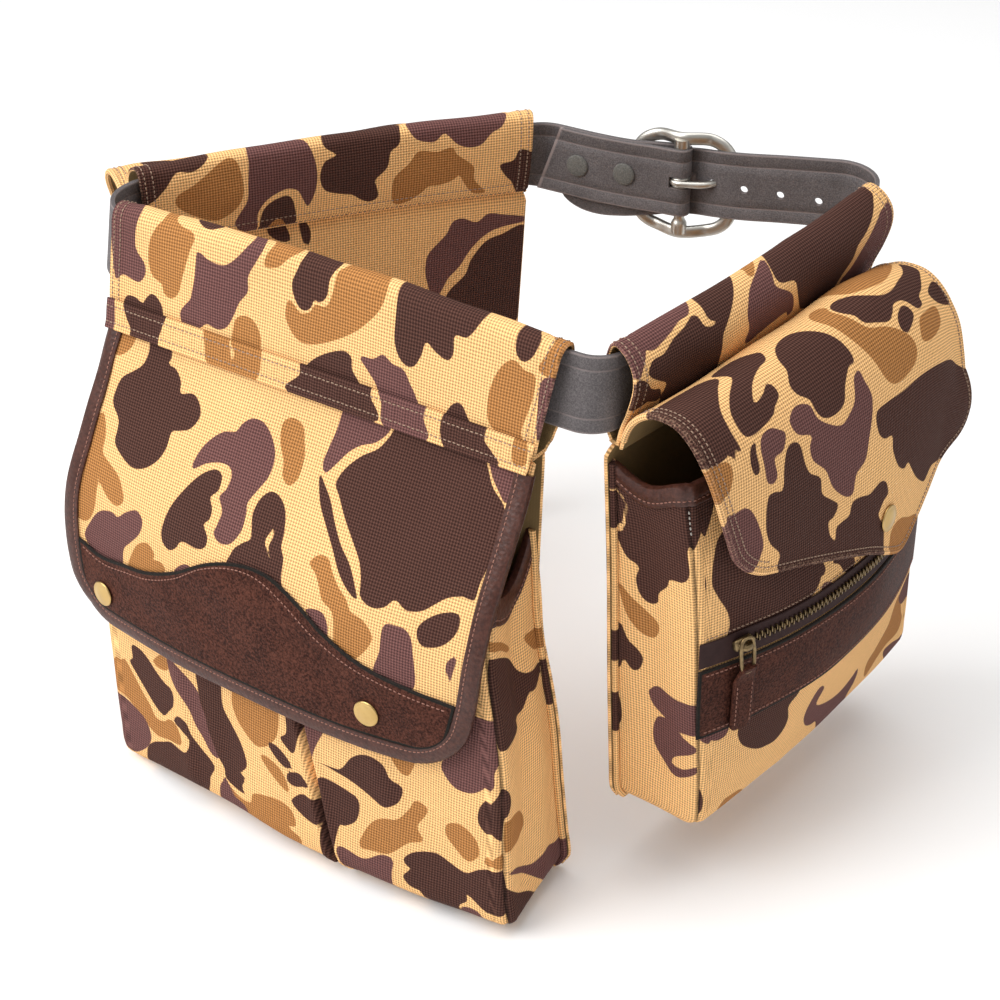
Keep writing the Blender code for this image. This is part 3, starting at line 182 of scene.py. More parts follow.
YOKE_TOP = (
    Wave(-150.0, 174.0), Wave(-138.0, 178.0), Wave(-120.0, 182.0), Wave(-100.0, 178.8),
    Wave(-82.0, 174.8), Wave(-62.0, 165.8), Wave(-42.0, 152.4), Wave(-22.0, 145.2),
    Wave(-4.0, 144.6), Wave(14.0, 151.4), Wave(34.0, 163.0), Wave(56.0, 172.0),
    Wave(82.0, 176.0), Wave(105.0, 178.0), Wave(130.0, 179.0),
)
YOKE_INSET = 0.6
REAR_SNAPS = {"left": (-120.5, 204.8), "right": (66.0, 200.0)}
SIDE_SNAP = (18.0, 128.0)
REAR_SNAP_UP = 0.4
SIDE_SNAP_UP = 0.2
SEAM_BAND = (Ring(16.5, 47.0), Ring(17.4, 52.0), Ring(18.6, 58.0), Ring(20.6, 62.0))
SEAM_BAND_WALL = 1.4

# Front of a shell pouch
ZIP_DOWN = 159.0
ZIP_LEFT = -76.0
ZIP_RIGHT = 84.0
TAPE_ABOVE = 6.2          # of the zip's tape, above its teeth and below them
TAPE_BELOW = 8.0
BAND_TOP = 169.0
BAND_TALL = 41.0
POCKET_LEFT = -104.0
POCKET_RIGHT = 105.0


def smooth(keys, values, at):
    """Catmull-Rom through a table, straight on beyond its ends."""
    keys, values, at = np.asarray(keys, float), np.asarray(values, float), np.asarray(at, float)
    last = len(keys) - 1
    slopes = np.empty(last + 1)
    slopes[0] = (values[1] - values[0]) / (keys[1] - keys[0])
    slopes[last] = (values[last] - values[last - 1]) / (keys[last] - keys[last - 1])
    slopes[1:last] = (values[2:] - values[:-2]) / (keys[2:] - keys[:-2])
    i = np.clip(np.searchsorted(keys, at, side="right") - 1, 0, last - 1)
    span = keys[i + 1] - keys[i]
    t = (at - keys[i]) / span
    a, b = slopes[i] * span, slopes[i + 1] * span
    inside = ((2 * t**3 - 3 * t**2 + 1) * values[i] + (t**3 - 2 * t**2 + t) * a
              + (3 * t**2 - 2 * t**3) * values[i + 1] + (t**3 - t**2) * b)
    below = values[0] + (at - keys[0]) * slopes[0]
    above = values[last] + (at - keys[last]) * slopes[last]
    return np.where(at <= keys[0], below, np.where(at >= keys[last], above, inside))


def between(rows, at):
    """Smooth values of a table's other columns, where its first column has these values."""
    keys, *values = np.array(rows, float).T
    return [smooth(keys, value, at) for value in values]


def travelled(points):
    """Distance of each point along its path."""
    return np.r_[0, np.cumsum(np.linalg.norm(np.diff(points, axis=0), axis=-1))]


def bell(x, middle, half):
    """1 at the middle, 0 at the half width and beyond."""
    return 1.0 - np.minimum(1.0, np.abs(x - middle) / half)**2


def unit(v):
    return v / np.maximum(np.linalg.norm(v, axis=-1, keepdims=True), 1e-12)


def blurred(rows, rounds=3):
    """Rows of vectors, each evened out with its neighbours."""
    for _ in range(rounds):
        held = np.concatenate([rows[:1], rows, rows[-1:]])
        rows = 0.25 * held[:-2] + 0.5 * held[1:-1] + 0.25 * held[2:]
    return rows


def eased(t):
    """0 to 1 with a soft start and end."""
    t = np.clip(t, 0.0, 1.0)
    return t * t * (3 - 2 * t)


def circle(sides):
    """Cosines and sines of a ring's corners, as two columns."""
    turns = 2 * pi * np.arange(sides) / sides
    return np.cos(turns)[:, None], np.sin(turns)[:, None]


def squarish(c, power):
    """A cosine or sine raised to a power with its sign kept."""
    return abs(c)**power * (1 if c > 0 else -1)


def ripple(u, v, size, phase):
    """Gentle unevenness of cloth, about -1 to 1."""
    k = 2 * pi / size
    return (np.sin(k * (u + 0.35 * v) + phase) * np.cos(k * 0.8 * (v - 0.2 * u) + 1.7 * phase)
            + 0.5 * np.sin(k * 1.9 * (0.6 * u - v) + 2.3 * phase)) / 1.5


# A soft ridge (or, with a negative height, a hollow) along a line in a panel's own millimetres
Ridge = namedtuple("Ridge", "x0 y0 x1 y1 width height")


def ridges(rows, u, v):
    total = np.zeros(np.broadcast(u, v).shape)
    for r in rows:
        dx, dy = r.x1 - r.x0, r.y1 - r.y0
        length = dx * dx + dy * dy
        t = np.clip(((u - r.x0) * dx + (v - r.y0) * dy) / length, 0.0, 1.0)
        off = np.hypot(u - r.x0 - t * dx, v - r.y0 - t * dy)
        total += r.height * np.exp(-(off / r.width)**2)
    return total


class Bag:
    """One carrier's frame: turns (x, out, down) millimetres into world metres."""

    def __init__(self, side):
        self.side = side
        self.rear = side == "rear"
        self.kind = "rear" if self.rear else "side"
        self.turn = -1.0 if side == "left" else 1.0
        place = PLACES[side]
        turn = Matrix.Rotation(radians(place.yaw), 3, "Z") @ Matrix.Rotation(-radians(place.lean), 3, "X")
        self.axes = np.array(turn)
        self.origin = np.array([place.x, place.y, place.z]) * MM
        self.levels = REAR_BODY if self.rear else SIDE_BODY
        self.half = REAR_TUNNEL_HALF if self.rear else SIDE_TUNNEL_HALF

    def world(self, x, out, down):
        x, out, down = np.broadcast_arrays(np.asarray(x, float), out, down)
        spots = np.stack([self.turn * x, -out, -down], -1) * MM
        return spots @ self.axes.T + self.origin


# Meshes

SHARP = radians(50)
RIM_OUT = 0.4             # a wall's rounded rim stands out by this share of the wall


def mesh_object(name, points, faces, materials, face_materials=None, uv=None, fields=None):
    """Mesh from world metre points, with panel millimetres as UVs and painted fields as attributes."""
    mesh = bpy.data.meshes.new(name)
    mesh.from_pydata(np.asarray(points, float).tolist(), [], faces)
    for made in materials:
        mesh.materials.append(made)
    if face_materials is not None:
        mesh.polygons.foreach_set("material_index", np.asarray(face_materials, np.int32))
    if uv is not None:
        layer = mesh.uv_layers.new(name="panel")
        corners = np.empty(len(mesh.loops), np.int32)
        mesh.loops.foreach_get("vertex_index", corners)
        layer.data.foreach_set("uv", (np.asarray(uv)[corners] * MM).astype(np.float32).ravel())
    for label, values in (fields or {}).items():
        made = mesh.attributes.new(label, "FLOAT", "POINT")
        made.data.foreach_set("value", np.asarray(values, np.float32))
    mesh.validate()
    mesh.shade_smooth()
    mesh.set_sharp_from_angle(angle=SHARP)
    obj = bpy.data.objects.new(name, mesh)
    bpy.context.scene.collection.objects.link(obj)
    return obj


def grid_normals(grid, turn):
    down, across = np.gradient(grid, axis=0), np.gradient(grid, axis=1)
    return unit(np.cross(down, across) * turn)


def grid_quads(rows, cols, flipped, first=0):
    a = (first + np.arange(rows * cols).reshape(rows, cols))[:-1, :-1].ravel()
    quads = np.stack([a, a + cols, a + cols + 1, a + 1], -1)
    return quads[:, ::-1] if flipped else quads


def border_loop(rows, cols):
    index = np.arange(rows * cols).reshape(rows, cols)
    return np.concatenate([index[0, :-1], index[:-1, -1], index[-1, :0:-1], index[:0:-1, 0]])


def make_shell(name, bag, grid, wall, materials, uv, charts=(None, None), fields=None):
    """Sheet with a real wall and a rounded rim from a grid of world points on its outer face.

    materials are for the outer face, the inner face and the rim; charts paint the two faces."""
    rows, cols = grid.shape[:2]
    count = rows * cols
    normal = grid_normals(grid, bag.turn)
    outer = grid.reshape(-1, 3)
    inner = outer - normal.reshape(-1, 3) * wall * MM
    border = border_loop(rows, cols)
    run = outer[np.roll(border, -1)] - outer[np.roll(border, 1)]
    away = unit(-bag.turn * np.cross(run, normal.reshape(-1, 3)[border]))
    middle = 0.5 * (outer[border] + inner[border]) + away * RIM_OUT * wall * MM
    flipped = bag.turn < 0
    front = grid_quads(rows, cols, flipped)
    back = grid_quads(rows, cols, not flipped, count)
    i = np.arange(len(border))
    j = (i + 1) % len(border)
    mid = 2 * count
    upper = np.stack([border[i], border[j], mid + j, mid + i], -1)
    lower = np.stack([mid + i, mid + j, border[j] + count, border[i] + count], -1)
    if flipped:
        upper, lower = upper[:, ::-1], lower[:, ::-1]
    faces = np.concatenate([front, back, upper, lower])
    kinds = np.repeat([0, 1, 2], [len(front), len(back), len(upper) + len(lower)])
    flat = uv.reshape(-1, 2)
    all_uv = np.concatenate([flat, flat, flat[border]])
    painted = dict(fields or {})
    for label in painted:
        values = np.asarray(painted[label]).ravel()
        painted[label] = np.concatenate([values, values, values[border]])
    if charts[0] or charts[1]:
        sides = [paint(chart, flat[:, 0], flat[:, 1]) for chart in charts]
        for label in COLOUR_NAMES:
            face_a, face_b = sides[0][label], sides[1][label]
            painted[label] = np.concatenate([face_a, face_b, face_a[border]])
    points = np.concatenate([outer, inner, middle])
    return mesh_object(name, points, faces.tolist(), materials, kinds, all_uv, painted)


def make_sweep(name, sections, materials, closed=False, uv=None, fields=None):
    """Closed solid through sections (count x ring x 3) of world points."""
    sections = np.asarray(sections)
    count, ring = sections.shape[:2]
    index = np.arange(count * ring).reshape(count, ring)
    ahead = np.roll(index, -1, axis=0) if closed else index[1:]
    here = index if closed else index[:-1]
    quads = np.stack([here, ahead, np.roll(ahead, -1, axis=1), np.roll(here, -1, axis=1)], -1)
    faces = quads.reshape(-1, 4).tolist()
    if not closed:
        faces += [index[0].tolist(), index[-1][::-1].tolist()]
    if uv is None:
        along, girth = travelled(sections.mean(1)) / MM, travelled(sections[0]) / MM
        uv = np.stack(np.meshgrid(along, girth, indexing="ij"), -1).reshape(-1, 2)
    obj = mesh_object(name, sections.reshape(-1, 3), faces, materials, uv=uv, fields=fields)
    outwards(obj)
    return obj


def outwards(obj):
    """Turn a closed mesh's faces outwards."""
    mesh = obj.data
    co = np.empty(len(mesh.vertices) * 3, np.float32)
    mesh.vertices.foreach_get("co", co)
    co = co.reshape(-1, 3).astype(float)
    co -= co.mean(0)
    mesh.calc_loop_triangles()
    tris = np.empty(len(mesh.loop_triangles) * 3, np.int32)
    mesh.loop_triangles.foreach_get("vertices", tris)
    a, b, c = co[tris.reshape(-1, 3)].transpose(1, 0, 2)
    if np.sum(a * np.cross(b, c)) < 0:
        mesh.flip_normals()


def make_turned(name, profile, sides, matrix, materials):
    """Turned solid from (radius, height) rows that start and end on the axis, in millimetres."""
    points, rings = [], []
    for radius, height in profile:
        size = 1 if radius == 0.0 else sides
        rings.append(list(range(len(points), len(points) + size)))
        for k in range(size):
            turn = 2 * pi * k / sides
            points.append(matrix @ (Vector((radius * cos(turn), radius * sin(turn), height)) * MM))
    faces = []
    for low, high in zip(rings, rings[1:]):
        for k in range(sides):
            corners = (low[k % len(low)], low[(k + 1) % len(low)], high[(k + 1) % len(high)],
                       high[k % len(high)])
            faces.append(tuple(dict.fromkeys(corners)))
    flat = np.array([[p[0], p[2]] for p in points]) / MM
    obj = mesh_object(name, points, faces, materials, uv=flat)
    outwards(obj)
    return obj


def facing(point, normal, up=(0, 0, 1)):
    """Matrix whose local Z is the normal, at a world point."""
    z = Vector(normal).normalized()
    x = Vector(up).cross(z).normalized()
    turn = Matrix((x, z.cross(x), z)).transposed().to_4x4()
    return Matrix.Translation(Vector(point)) @ turn


def finish_piece(obj, slot, *nodes):
    if nodes:
        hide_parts(*nodes)
    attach(obj, "root")
    return obj


# Camouflage: outlines in a panel's own millimetres, painted in order
COLOUR_NAMES = ("dark", "plum", "tan")
CURVE_POINTS = 5          # points of an outline's curve from one charted point to the next
REACH = 12.0              # a field holds no distance above this, in millimetres


def outline(p):
    """Closed smooth curve through an outline's points."""
    before, ahead, after = np.roll(p, 1, axis=0), np.roll(p, -1, axis=0), np.roll(p, -2, axis=0)
    t = np.arange(CURVE_POINTS)[:, None, None] / CURVE_POINTS
    curve = 0.5 * (2 * p + (ahead - before) * t + (2 * before - 5 * p + 4 * ahead - after) * t**2
                   + (3 * p - before - 3 * ahead + after) * t**3)
    return curve.transpose(1, 0, 2).reshape(-1, 2)


def distance(curve, u, v):
    """Signed distance to a closed curve, negative inside."""
    a, b = curve, np.roll(curve, -1, axis=0)
    best = np.full(u.shape, np.inf)
    inside = np.zeros(u.shape, bool)
    for (ax, ay), (bx, by) in zip(a, b):
        dx, dy = bx - ax, by - ay
        length = dx * dx + dy * dy
        if length < 1e-9:
            continue
        t = np.clip(((u - ax) * dx + (v - ay) * dy) / length, 0.0, 1.0)
        best = np.minimum(best, (u - ax - t * dx)**2 + (v - ay - t * dy)**2)
        crosses = (ay > v) != (by > v)
        if dy != 0.0:
            inside ^= crosses & (u < ax + (v - ay) * dx / dy)
    best = np.sqrt(best)
    return np.where(inside, -best, best)


def paint(chart, u, v):
    """Fields of signed distance, one for each colour; a later outline lies over an earlier one."""
    fields = {name: np.full(u.shape, REACH) for name in COLOUR_NAMES}
    for colour, *flat in CHARTS.get(chart, ()):
        curve = outline(np.reshape(flat, (-1, 2)))
        low, high = curve.min(0) - REACH, curve.max(0) + REACH
        near = (u > low[0]) & (u < high[0]) & (v > low[1]) & (v < high[1])
        if not near.any():
            continue
        d = np.full(u.shape, REACH)
        d[near] = np.minimum(REACH, distance(curve, u[near], v[near]))
        for name in COLOUR_NAMES:
            if name == colour:
                fields[name] = np.minimum(fields[name], d)
            else:
                fields[name] = np.maximum(fields[name], -d)
    return fields


# Read off the photo, each panel laid flat
CHARTS = {
    "rear_tunnel": (
        ("plum", -142, -28, -130, -28, -122, -2, -119, 5, -121, 15, -121, 24, -115, 30, -114, 36, -118, 41,
         -125, 40, -130, 40, -134, 43, -138, 20),
        ("tan", -112, -24, -102, -24, -98, 0, -93, 6, -82, 9, -85, 18, -88, 30, -91, 40, -96, 44, -101, 42,
         -102, 38, -109, 35, -112, 27, -111, 18, -107, 10, -104, 2),
        ("dark", -90, -14, -80, -14, -72, -4, -68, 0, -73, 4, -80, 3, -86, -2),
        ("plum", -79, 16, -73, 18, -66, 19, -60, 18, -53, 13, -47, 6, -46, 1, -50, -5, -55, -20, -46, -20,
         -41, -3, -38, 5, -41, 12, -46, 20, -46, 27, -51, 34, -54, 42, -58, 49, -64, 52, -71, 51, -75, 54,
         -80, 57, -87, 56, -89, 50, -86, 45, -82, 40, -80, 30, -80, 22),
        ("tan", -38, -18, -26, -18, -18, -3, -17, 2, -22, 7, -28, 12, -36, 13, -35, 8, -33, 2, -37, -4),
        ("dark", -20, -22, -8, -26, 2, -18, 7, -2, 8, 3, 5, 10, 4, 17, 0, 21, -4, 21, -6, 25, -11, 27, -16,
         23, -18, 17, -15, 10, -13, 3, -15, -3),
        ("tan", 12, -22, 30, -24, 37, 0, 39, 8, 36, 16, 28, 24, 18, 32, 6, 39, -4, 43, -12, 43, -18, 38,
         -21, 32, -20, 25, -16, 26, -12, 29, -6, 27, -3, 23, 4, 22, 8, 14, 9, 6, 12, 0),
        ("dark", 42, -26, 60, -30, 80, -28, 90, -14, 94, 0, 92, 8, 87, 15, 80, 16, 80, 24, 77, 28, 70, 26,
         64, 23, 62, 30, 59, 36, 54, 37, 49, 33, 46, 25, 46, 12, 45, 2),
        ("dark", 110, -20, 118, -20, 122, -2, 126, 5, 124, 13, 119, 17, 115, 14, 114, 6, 114, -1),
        ("tan", 124, -20, 136, -20, 142, 0, 142, 19, 128, 19, 130, 12, 133, 4, 128, -4),
        ("tan", 108, 22, 114, 18, 120, 21, 126, 22, 126, 32, 124, 42, 122, 52, 125, 58, 118, 56, 111, 56,
         104, 52, 102, 42, 104, 30),
        ("plum", 130, 23, 142, 22, 142, 40, 138, 57, 133, 58, 130, 45),
        ("dark", -128, 58, -126, 51, -120, 50, -115, 52, -112, 48, -108, 45, -103, 48, -101, 53, -102, 64,
         -120, 66),
        ("tan", -55, 62, -54, 52, -52, 43, -46, 40, -40, 42, -36, 48, -36, 55, -39, 66, -48, 68),
        ("tan", -74, 62, -71, 56, -66, 56, -61, 62, -66, 68),
        ("dark", -12, 64, -6, 55, 0, 49, 8, 44, 16, 41, 21, 43, 22, 49, 27, 55, 33, 66, 8, 72),
        ("plum", 26, 41, 34, 40, 40, 36, 46, 39, 53, 40, 57, 46, 61, 52, 66, 66, 40, 68, 38, 54, 32, 47),
        ("dark", 76, 66, 80, 53, 84, 48, 88, 48, 92, 54, 100, 66),
        ("tan", 118, 58, 124, 56, 127, 64, 117, 66),
    ),
    "rear_band": (
        ("plum", -142, 58, -134, 58, -132, 68, -133, 80, -142, 80),
        ("dark", -125, 56, -99, 56, -99, 65, -101, 72, -102, 80, -119, 80, -120, 72, -124, 66),
        ("tan", -71, 56, -58, 56, -53, 66, -52, 76, -67, 76, -70, 66),
        ("tan", -54, 56, -35, 56, -35, 76, -50, 76, -50, 66),
        ("dark", -6, 56, 31, 56, 36, 64, 39, 76, -14, 76, -8, 65),
        ("plum", 40, 56, 66, 56, 68, 65, 71, 76, 46, 76, 43, 65),
        ("dark", 81, 56, 102, 56, 104, 66, 113, 76, 82, 76),
        ("tan", 120, 60, 126, 58, 128, 70, 121, 72),
        ("plum", 133, 56, 142, 56, 142, 78, 135, 78),
    ),
    "rear_flap": (
        ("tan", -134, 3, -125, 3, -119, 5, -120, 12, -126, 18, -134, 16),
        ("dark", -108, 2, -97, 2, -93, 9, -94, 14, -89, 15, -84, 20, -82, 26, -74, 24, -68, 28, -66, 34,
         -70, 41, -77, 44, -81, 46, -82, 55, -86, 63, -93, 69, -101, 71, -110, 68, -117, 63, -117, 56, -118,
         50, -124, 44, -124, 37, -121, 29, -115, 24, -110, 19, -108, 12),
        ("tan", -131, 51, -127, 55, -125, 63, -125, 71, -118, 75, -110, 79, -105, 86, -104, 91, -109, 95,
         -116, 93, -122, 88, -125, 85, -125, 92, -126, 103, -131, 112, -138, 115, -144, 108, -146, 95, -145,
         80, -139, 65),
        ("plum", -62, 59, -60, 50, -55, 42, -48, 36, -41, 34, -38, 29, -33, 25, -26, 25, -19, 30, -14, 38,
         -14, 48, -18, 56, -22, 64, -21, 70, -21, 78, -26, 86, -33, 88, -38, 85, -37, 80, -36, 73, -40, 67,
         -37, 62, -36, 55, -39, 51, -46, 51, -54, 54),
        ("dark", -46, 55, -42, 57, -42, 64, -46, 69, -43, 74, -43, 79, -46, 83, -42, 88, -42, 93, -47, 96,
         -58, 96, -62, 101, -67, 104, -72, 101, -73, 94, -70, 82, -64, 71, -57, 62, -51, 57),
        ("tan", -15, 22, -10, 18, -3, 20, 0, 26, 3, 34, 3, 44, -1, 49, -6, 46, -8, 39, -13, 31),
        ("dark", -15, 60, -10, 55, -4, 56, 1, 61, 4, 70, 5, 78, 8, 83, 9, 92, 10, 104, -25, 104, -24, 90,
         -19, 84, -14, 80, -15, 75, -17, 68),
        ("sand", -2, 70, -1, 75, -2, 80, 1, 86, -5, 79, -4, 74),
        ("plum", 20, 0, 30, -2, 46, -2, 48, 7, 42, 15, 34, 19, 28, 24, 23, 31, 18, 37, 15, 33, 16, 25, 18,
         15),
        ("dark", 55, -2, 75, -4, 98, -2, 106, 8, 112, 17, 121, 25, 123, 40, 119, 60, 118, 70, 112, 70, 104,
         73, 98, 78, 92, 83, 84, 85, 77, 82, 72, 87, 65, 89, 58, 86, 56, 79, 52, 71, 45, 63, 37, 54, 30, 45,
         26, 40, 29, 32, 36, 24, 44, 18, 49, 10),
        ("plum", 104, -2, 112, -4, 122, -2, 124, 14, 121, 22, 115, 17, 109, 10),
        ("dark", 15, 39, 20, 43, 26, 49, 32, 58, 39, 67, 47, 74, 53, 82, 56, 88, 49, 85, 42, 79, 35, 70, 27,
         60, 20, 51),
        ("tan", 24, 80, 28, 75, 34, 75, 38, 80, 44, 86, 50, 90, 54, 95, 62, 97, 68, 103, 66, 110, 60, 118,
         55, 122, 46, 122, 45, 108, 43, 99, 36, 95, 33, 90, 29, 84),
        ("plum", 27, 103, 33, 101, 38, 102, 41, 108, 40, 116, 34, 114, 29, 106),
        ("plum", 74, 96, 80, 94, 87, 95, 91, 103, 92, 126, 70, 126, 73, 110),
        ("dark", 112, 79, 113, 87, 108, 95, 101, 99, 95, 99, 92, 93, 95, 87, 103, 81),
        ("plum", 115, 100, 114, 108, 112, 115, 110, 108, 111, 103),
        ("plum", -136, 126, -129, 112, -121, 103, -112, 100, -107, 101, -101, 96, -93, 92, -88, 96, -90,
         104, -97, 112, -103, 119, -107, 134, -122, 136),
        ("tan", -100, 130, -95, 117, -90, 110, -83, 107, -78, 111, -79, 115, -73, 114, -70, 118, -78, 126,
         -88, 132),
        ("plum", -63, 116, -57, 109, -51, 108, -54, 118),
    ),
    "rear_body": (
        ("dark", -109, 238, -101, 238, -95, 241, -90, 245, -82, 250, -75, 252, -75, 261, -80, 268, -83, 272,
         -89, 270, -99, 262, -107, 255, -112, 250, -109, 247),
        ("tan", -116, 251, -112, 255, -107, 260, -101, 266, -95, 271, -90, 277, -83, 276, -78, 272, -71,
         275, -68, 281, -71, 285, -80, 286, -88, 288, -93, 287, -103, 282, -114, 276, -121, 274, -124, 266,
         -122, 256),
        ("plum", -122, 277, -105, 280, -98, 284, -95, 292, -98, 300, -106, 308, -114, 312, -122, 300, -123,
         288),
        ("dark", -66, 265, -63, 267, -60, 273, -53, 279, -46, 283, -43, 287, -46, 294, -47, 301, -54, 316,
         -75, 318, -98, 318, -99, 303, -93, 295, -84, 290, -78, 287, -71, 288, -64, 286, -61, 280, -62, 275,
         -67, 273, -75, 272, -71, 266),
        ("tan", -88, 236, -82, 232, -78, 238, -83, 242, -91, 241),
        ("plum", -80, 230, -72, 232, -65, 237, -57, 243, -53, 250, -50, 257, -48, 265, -44, 272, -40, 277,
         -40, 280, -46, 278, -51, 272, -57, 266, -62, 257, -68, 250, -76, 243),
        ("dark", -57, 222, -41, 222, -39, 245, -33, 254, -24, 263, -19, 274, -24, 281, -20, 283, -23, 290,
         -20, 293, -28, 293, -35, 290, -36, 284, -40, 279, -44, 272, -48, 265, -51, 256, -55, 247),
        ("plum", -36, 290, -32, 294, -26, 297, -17, 300, -18, 316, -38, 316, -39, 300, -38, 295),
        ("tan", -28, 224, -19, 220, -8, 220, 1, 224, 2, 243, -2, 252, -8, 257, -14, 258, -23, 252, -28, 247,
         -31, 238),
        ("tan", -34, 293, -26, 297, -16, 297, -14, 290, -5, 287, 6, 286, 13, 289, 16, 297, 10, 300, 20, 305,
         11, 316, -16, 316, -20, 302, -28, 299),
        ("dark", -2, 252, 3, 253, 9, 257, 12, 261, 8, 263, 2, 260, -4, 254),
        ("tan", -7, 262, -1, 263, 6, 267, 10, 274, 10, 278, 4, 275, -3, 270, -9, 264),
        ("dark", 7, 222, 18, 222, 16, 241, 13, 252, 8, 250, 4, 246, 8, 241),
        ("dark", 10, 266, 17, 263, 22, 265, 24, 268, 20, 270, 15, 272, 10, 271),
        ("dark", 15, 279, 20, 275, 27, 275, 33, 279, 33, 287, 26, 290, 18, 287, 13, 283),
        ("plum", 17, 226, 33, 226, 28, 241, 24, 254, 20, 245, 18, 238),
        ("dark", 24, 249, 38, 250, 45, 248, 51, 239, 58, 234, 65, 233, 71, 236, 75, 243, 82, 246, 81, 254,
         77, 258, 72, 260, 63, 257, 51, 253, 38, 251, 26, 250),
        ("tan", 74, 226, 88, 225, 87, 233, 84, 238, 79, 236),
        ("dark", 30, 261, 38, 259, 51, 261, 56, 263, 57, 270, 55, 277, 49, 282, 45, 284, 43, 297, 42, 316,
         36, 316, 32, 280),
        ("tan", 90, 251, 97, 253, 96, 258, 92, 266, 96, 273, 88, 277, 77, 288, 68, 290, 59, 291, 60, 284,
         65, 274, 72, 268, 81, 265, 87, 257),
        ("tan", 110, 257, 118, 254, 126, 259, 129, 266, 127, 272, 122, 275, 115, 270, 109, 264),
        ("tan", 138, 265, 143, 267, 144, 273, 133, 273, 134, 268),
        ("dark", 138, 222, 142, 224, 146, 232, 145, 243, 141, 250, 142, 258, 134, 255, 128, 249, 128, 240,
         133, 231, 136, 225),
        ("plum", 106, 190, 118, 186, 134, 190, 135, 207, 131, 216, 131, 225, 124, 232, 115, 233, 109, 229,
         105, 222, 110, 211, 112, 200),
        ("dark", 128, 156, 150, 150, 152, 203, 146, 204, 140, 203, 134, 203, 130, 190),
        ("dark", 87, 286, 93, 281, 104, 278, 113, 281, 122, 283, 131, 277, 144, 274, 150, 279, 152, 290,
         143, 300, 136, 303, 129, 299, 123, 296, 123, 301, 118, 307, 116, 320, 100, 320, 97, 306, 90, 304,
         86, 299, 90, 293, 86, 290),
        ("plum", 45, 297, 61, 298, 72, 291, 79, 291, 79, 299, 77, 316, 62, 318, 50, 312),
        ("plum", 120, 307, 131, 306, 130, 318, 118, 320),
        ("dark", 990, 150, 998, 154, 1007, 157, 1018, 163, 1025, 169, 1030, 177, 1038, 182, 1050, 183, 1048,
         189, 1041, 193, 1036, 192, 1029, 198, 1020, 197, 1020, 203, 1009, 205, 998, 203, 990, 203),
        ("tan", 997, 145, 1005, 148, 1014, 153, 1025, 162, 1020, 161, 1011, 155, 997, 149),
        ("tan", 1037, 162, 1048, 163, 1059, 162, 1056, 170, 1050, 175, 1043, 171),
        # This dark outline at the right gusset's rear edge, by the flange, is painted shade.
        ("dark", 1051, 190, 1056, 172, 1064, 162, 1064, 206, 1054, 208),
        ("dark", 994, 223, 1003, 227, 1006, 234, 1005, 239, 1002, 243, 994, 243),
        ("tan", 994, 248, 1009, 246, 1018, 250, 1023, 256, 1024, 262, 1020, 265, 1011, 264, 994, 262),
        ("plum", 1001, 276, 1011, 279, 1021, 286, 1032, 291, 1045, 291, 1055, 295, 1064, 298, 1064, 324,
         1038, 324, 1039, 309, 1032, 300, 1021, 290, 1009, 281),
        ("dark", 992, 280, 998, 282, 1003, 287, 1012, 295, 1025, 304, 1030, 316, 1010, 324, 992, 320),
        ("tan", -1042, 150, -1030, 158, -1022, 172, -1028, 186, -1040, 190, -1052, 176),
        ("dark", -1056, 196, -1044, 202, -1036, 214, -1040, 232, -1052, 240, -1060, 220),
        ("plum", -1030, 208, -1018, 214, -1008, 230, -1010, 246, -1022, 250, -1030, 234),
        ("dark", -1048, 262, -1034, 258, -1020, 264, -1012, 280, -1016, 300, -1034, 306, -1050, 290),
        ("dark", -120, 340, -80, 338, -60, 350, -84, 368, -110, 372),
        ("tan", -50, 344, -24, 340, -10, 356, -26, 372, -46, 366),
        ("plum", 0, 342, 34, 346, 50, 362, 30, 376, 4, 368),
        ("dark", 60, 336, 96, 342, 116, 360, 92, 378, 66, 366),
    ),
    "right_tunnel": (
        ("plum", -114, -24, -50, -24, -53, -8, -59, -2, -66, 5, -75, 6, -85, 9, -98, 12, -102, 10, -109, 16,
         -116, 19),
        ("dark", -55, -1, -48, -8, -40, -22, -12, -22, -19, -8, -26, 1, -35, 10, -46, 19, -50, 24, -49, 31,
         -47, 40, -45, 60, -87, 60, -91, 40, -91, 33, -98, 28, -104, 24, -107, 20, -101, 16, -93, 16, -84,
         12, -75, 10, -64, 7, -62, 14, -57, 16, -53, 15, -57, 12, -56, 5),
        ("dark", -116, 22, -109, 24, -103, 31, -96, 34, -93, 39, -94, 42, -103, 39, -110, 39, -116, 37),
        ("plum", 1, 1, -2, 10, -4, 15, -1, 18, 6, 22, 11, 26, 15, 33, 17, 39, 13, 40, 9, 36, -12, 39, -22,
         41, -26, 37, -26, 30, -29, 22, -27, 16, -21, 10, -10, 5),
        ("tan", -12, -20, 4, -20, 2, -8, -3, -2, -12, 5, -16, 5, -14, -2),
        ("dark", 13, -8, 20, -22, 110, -22, 111, -8, 106, 1, 105, 6, 95, 14, 84, 20, 75, 24, 73, 31, 66, 42,
         60, 62, 40, 60, 34, 46, 27, 42, 20, 33, 16, 26, 13, 19, 2, 16, -1, 12, 2, 3, 7, -4),
        ("plum", 110, 14, 114, 16, 114, 50, 102, 62, 88, 60, 70, 46, 77, 39, 82, 30, 91, 22, 100, 17),
    ),
    "right_flap": (
        ("plum", -90, 3, -82, 1, -62, -8, -38, -4, -36, 4, -50, 11, -67, 16, -91, 19, -101, 19, -110, 12),
        ("plum", -28, 5, -19, 1, 3, -2, 1, 4, -19, 12, -33, 18, -50, 20, -58, 20, -51, 14, -37, 9),
        ("tan", 44, 8, 50, 4, 63, -2, 76, -2, 63, 4, 52, 8),
        ("dark", 15, -2, 38, -3, 40, 1, 20, 3),
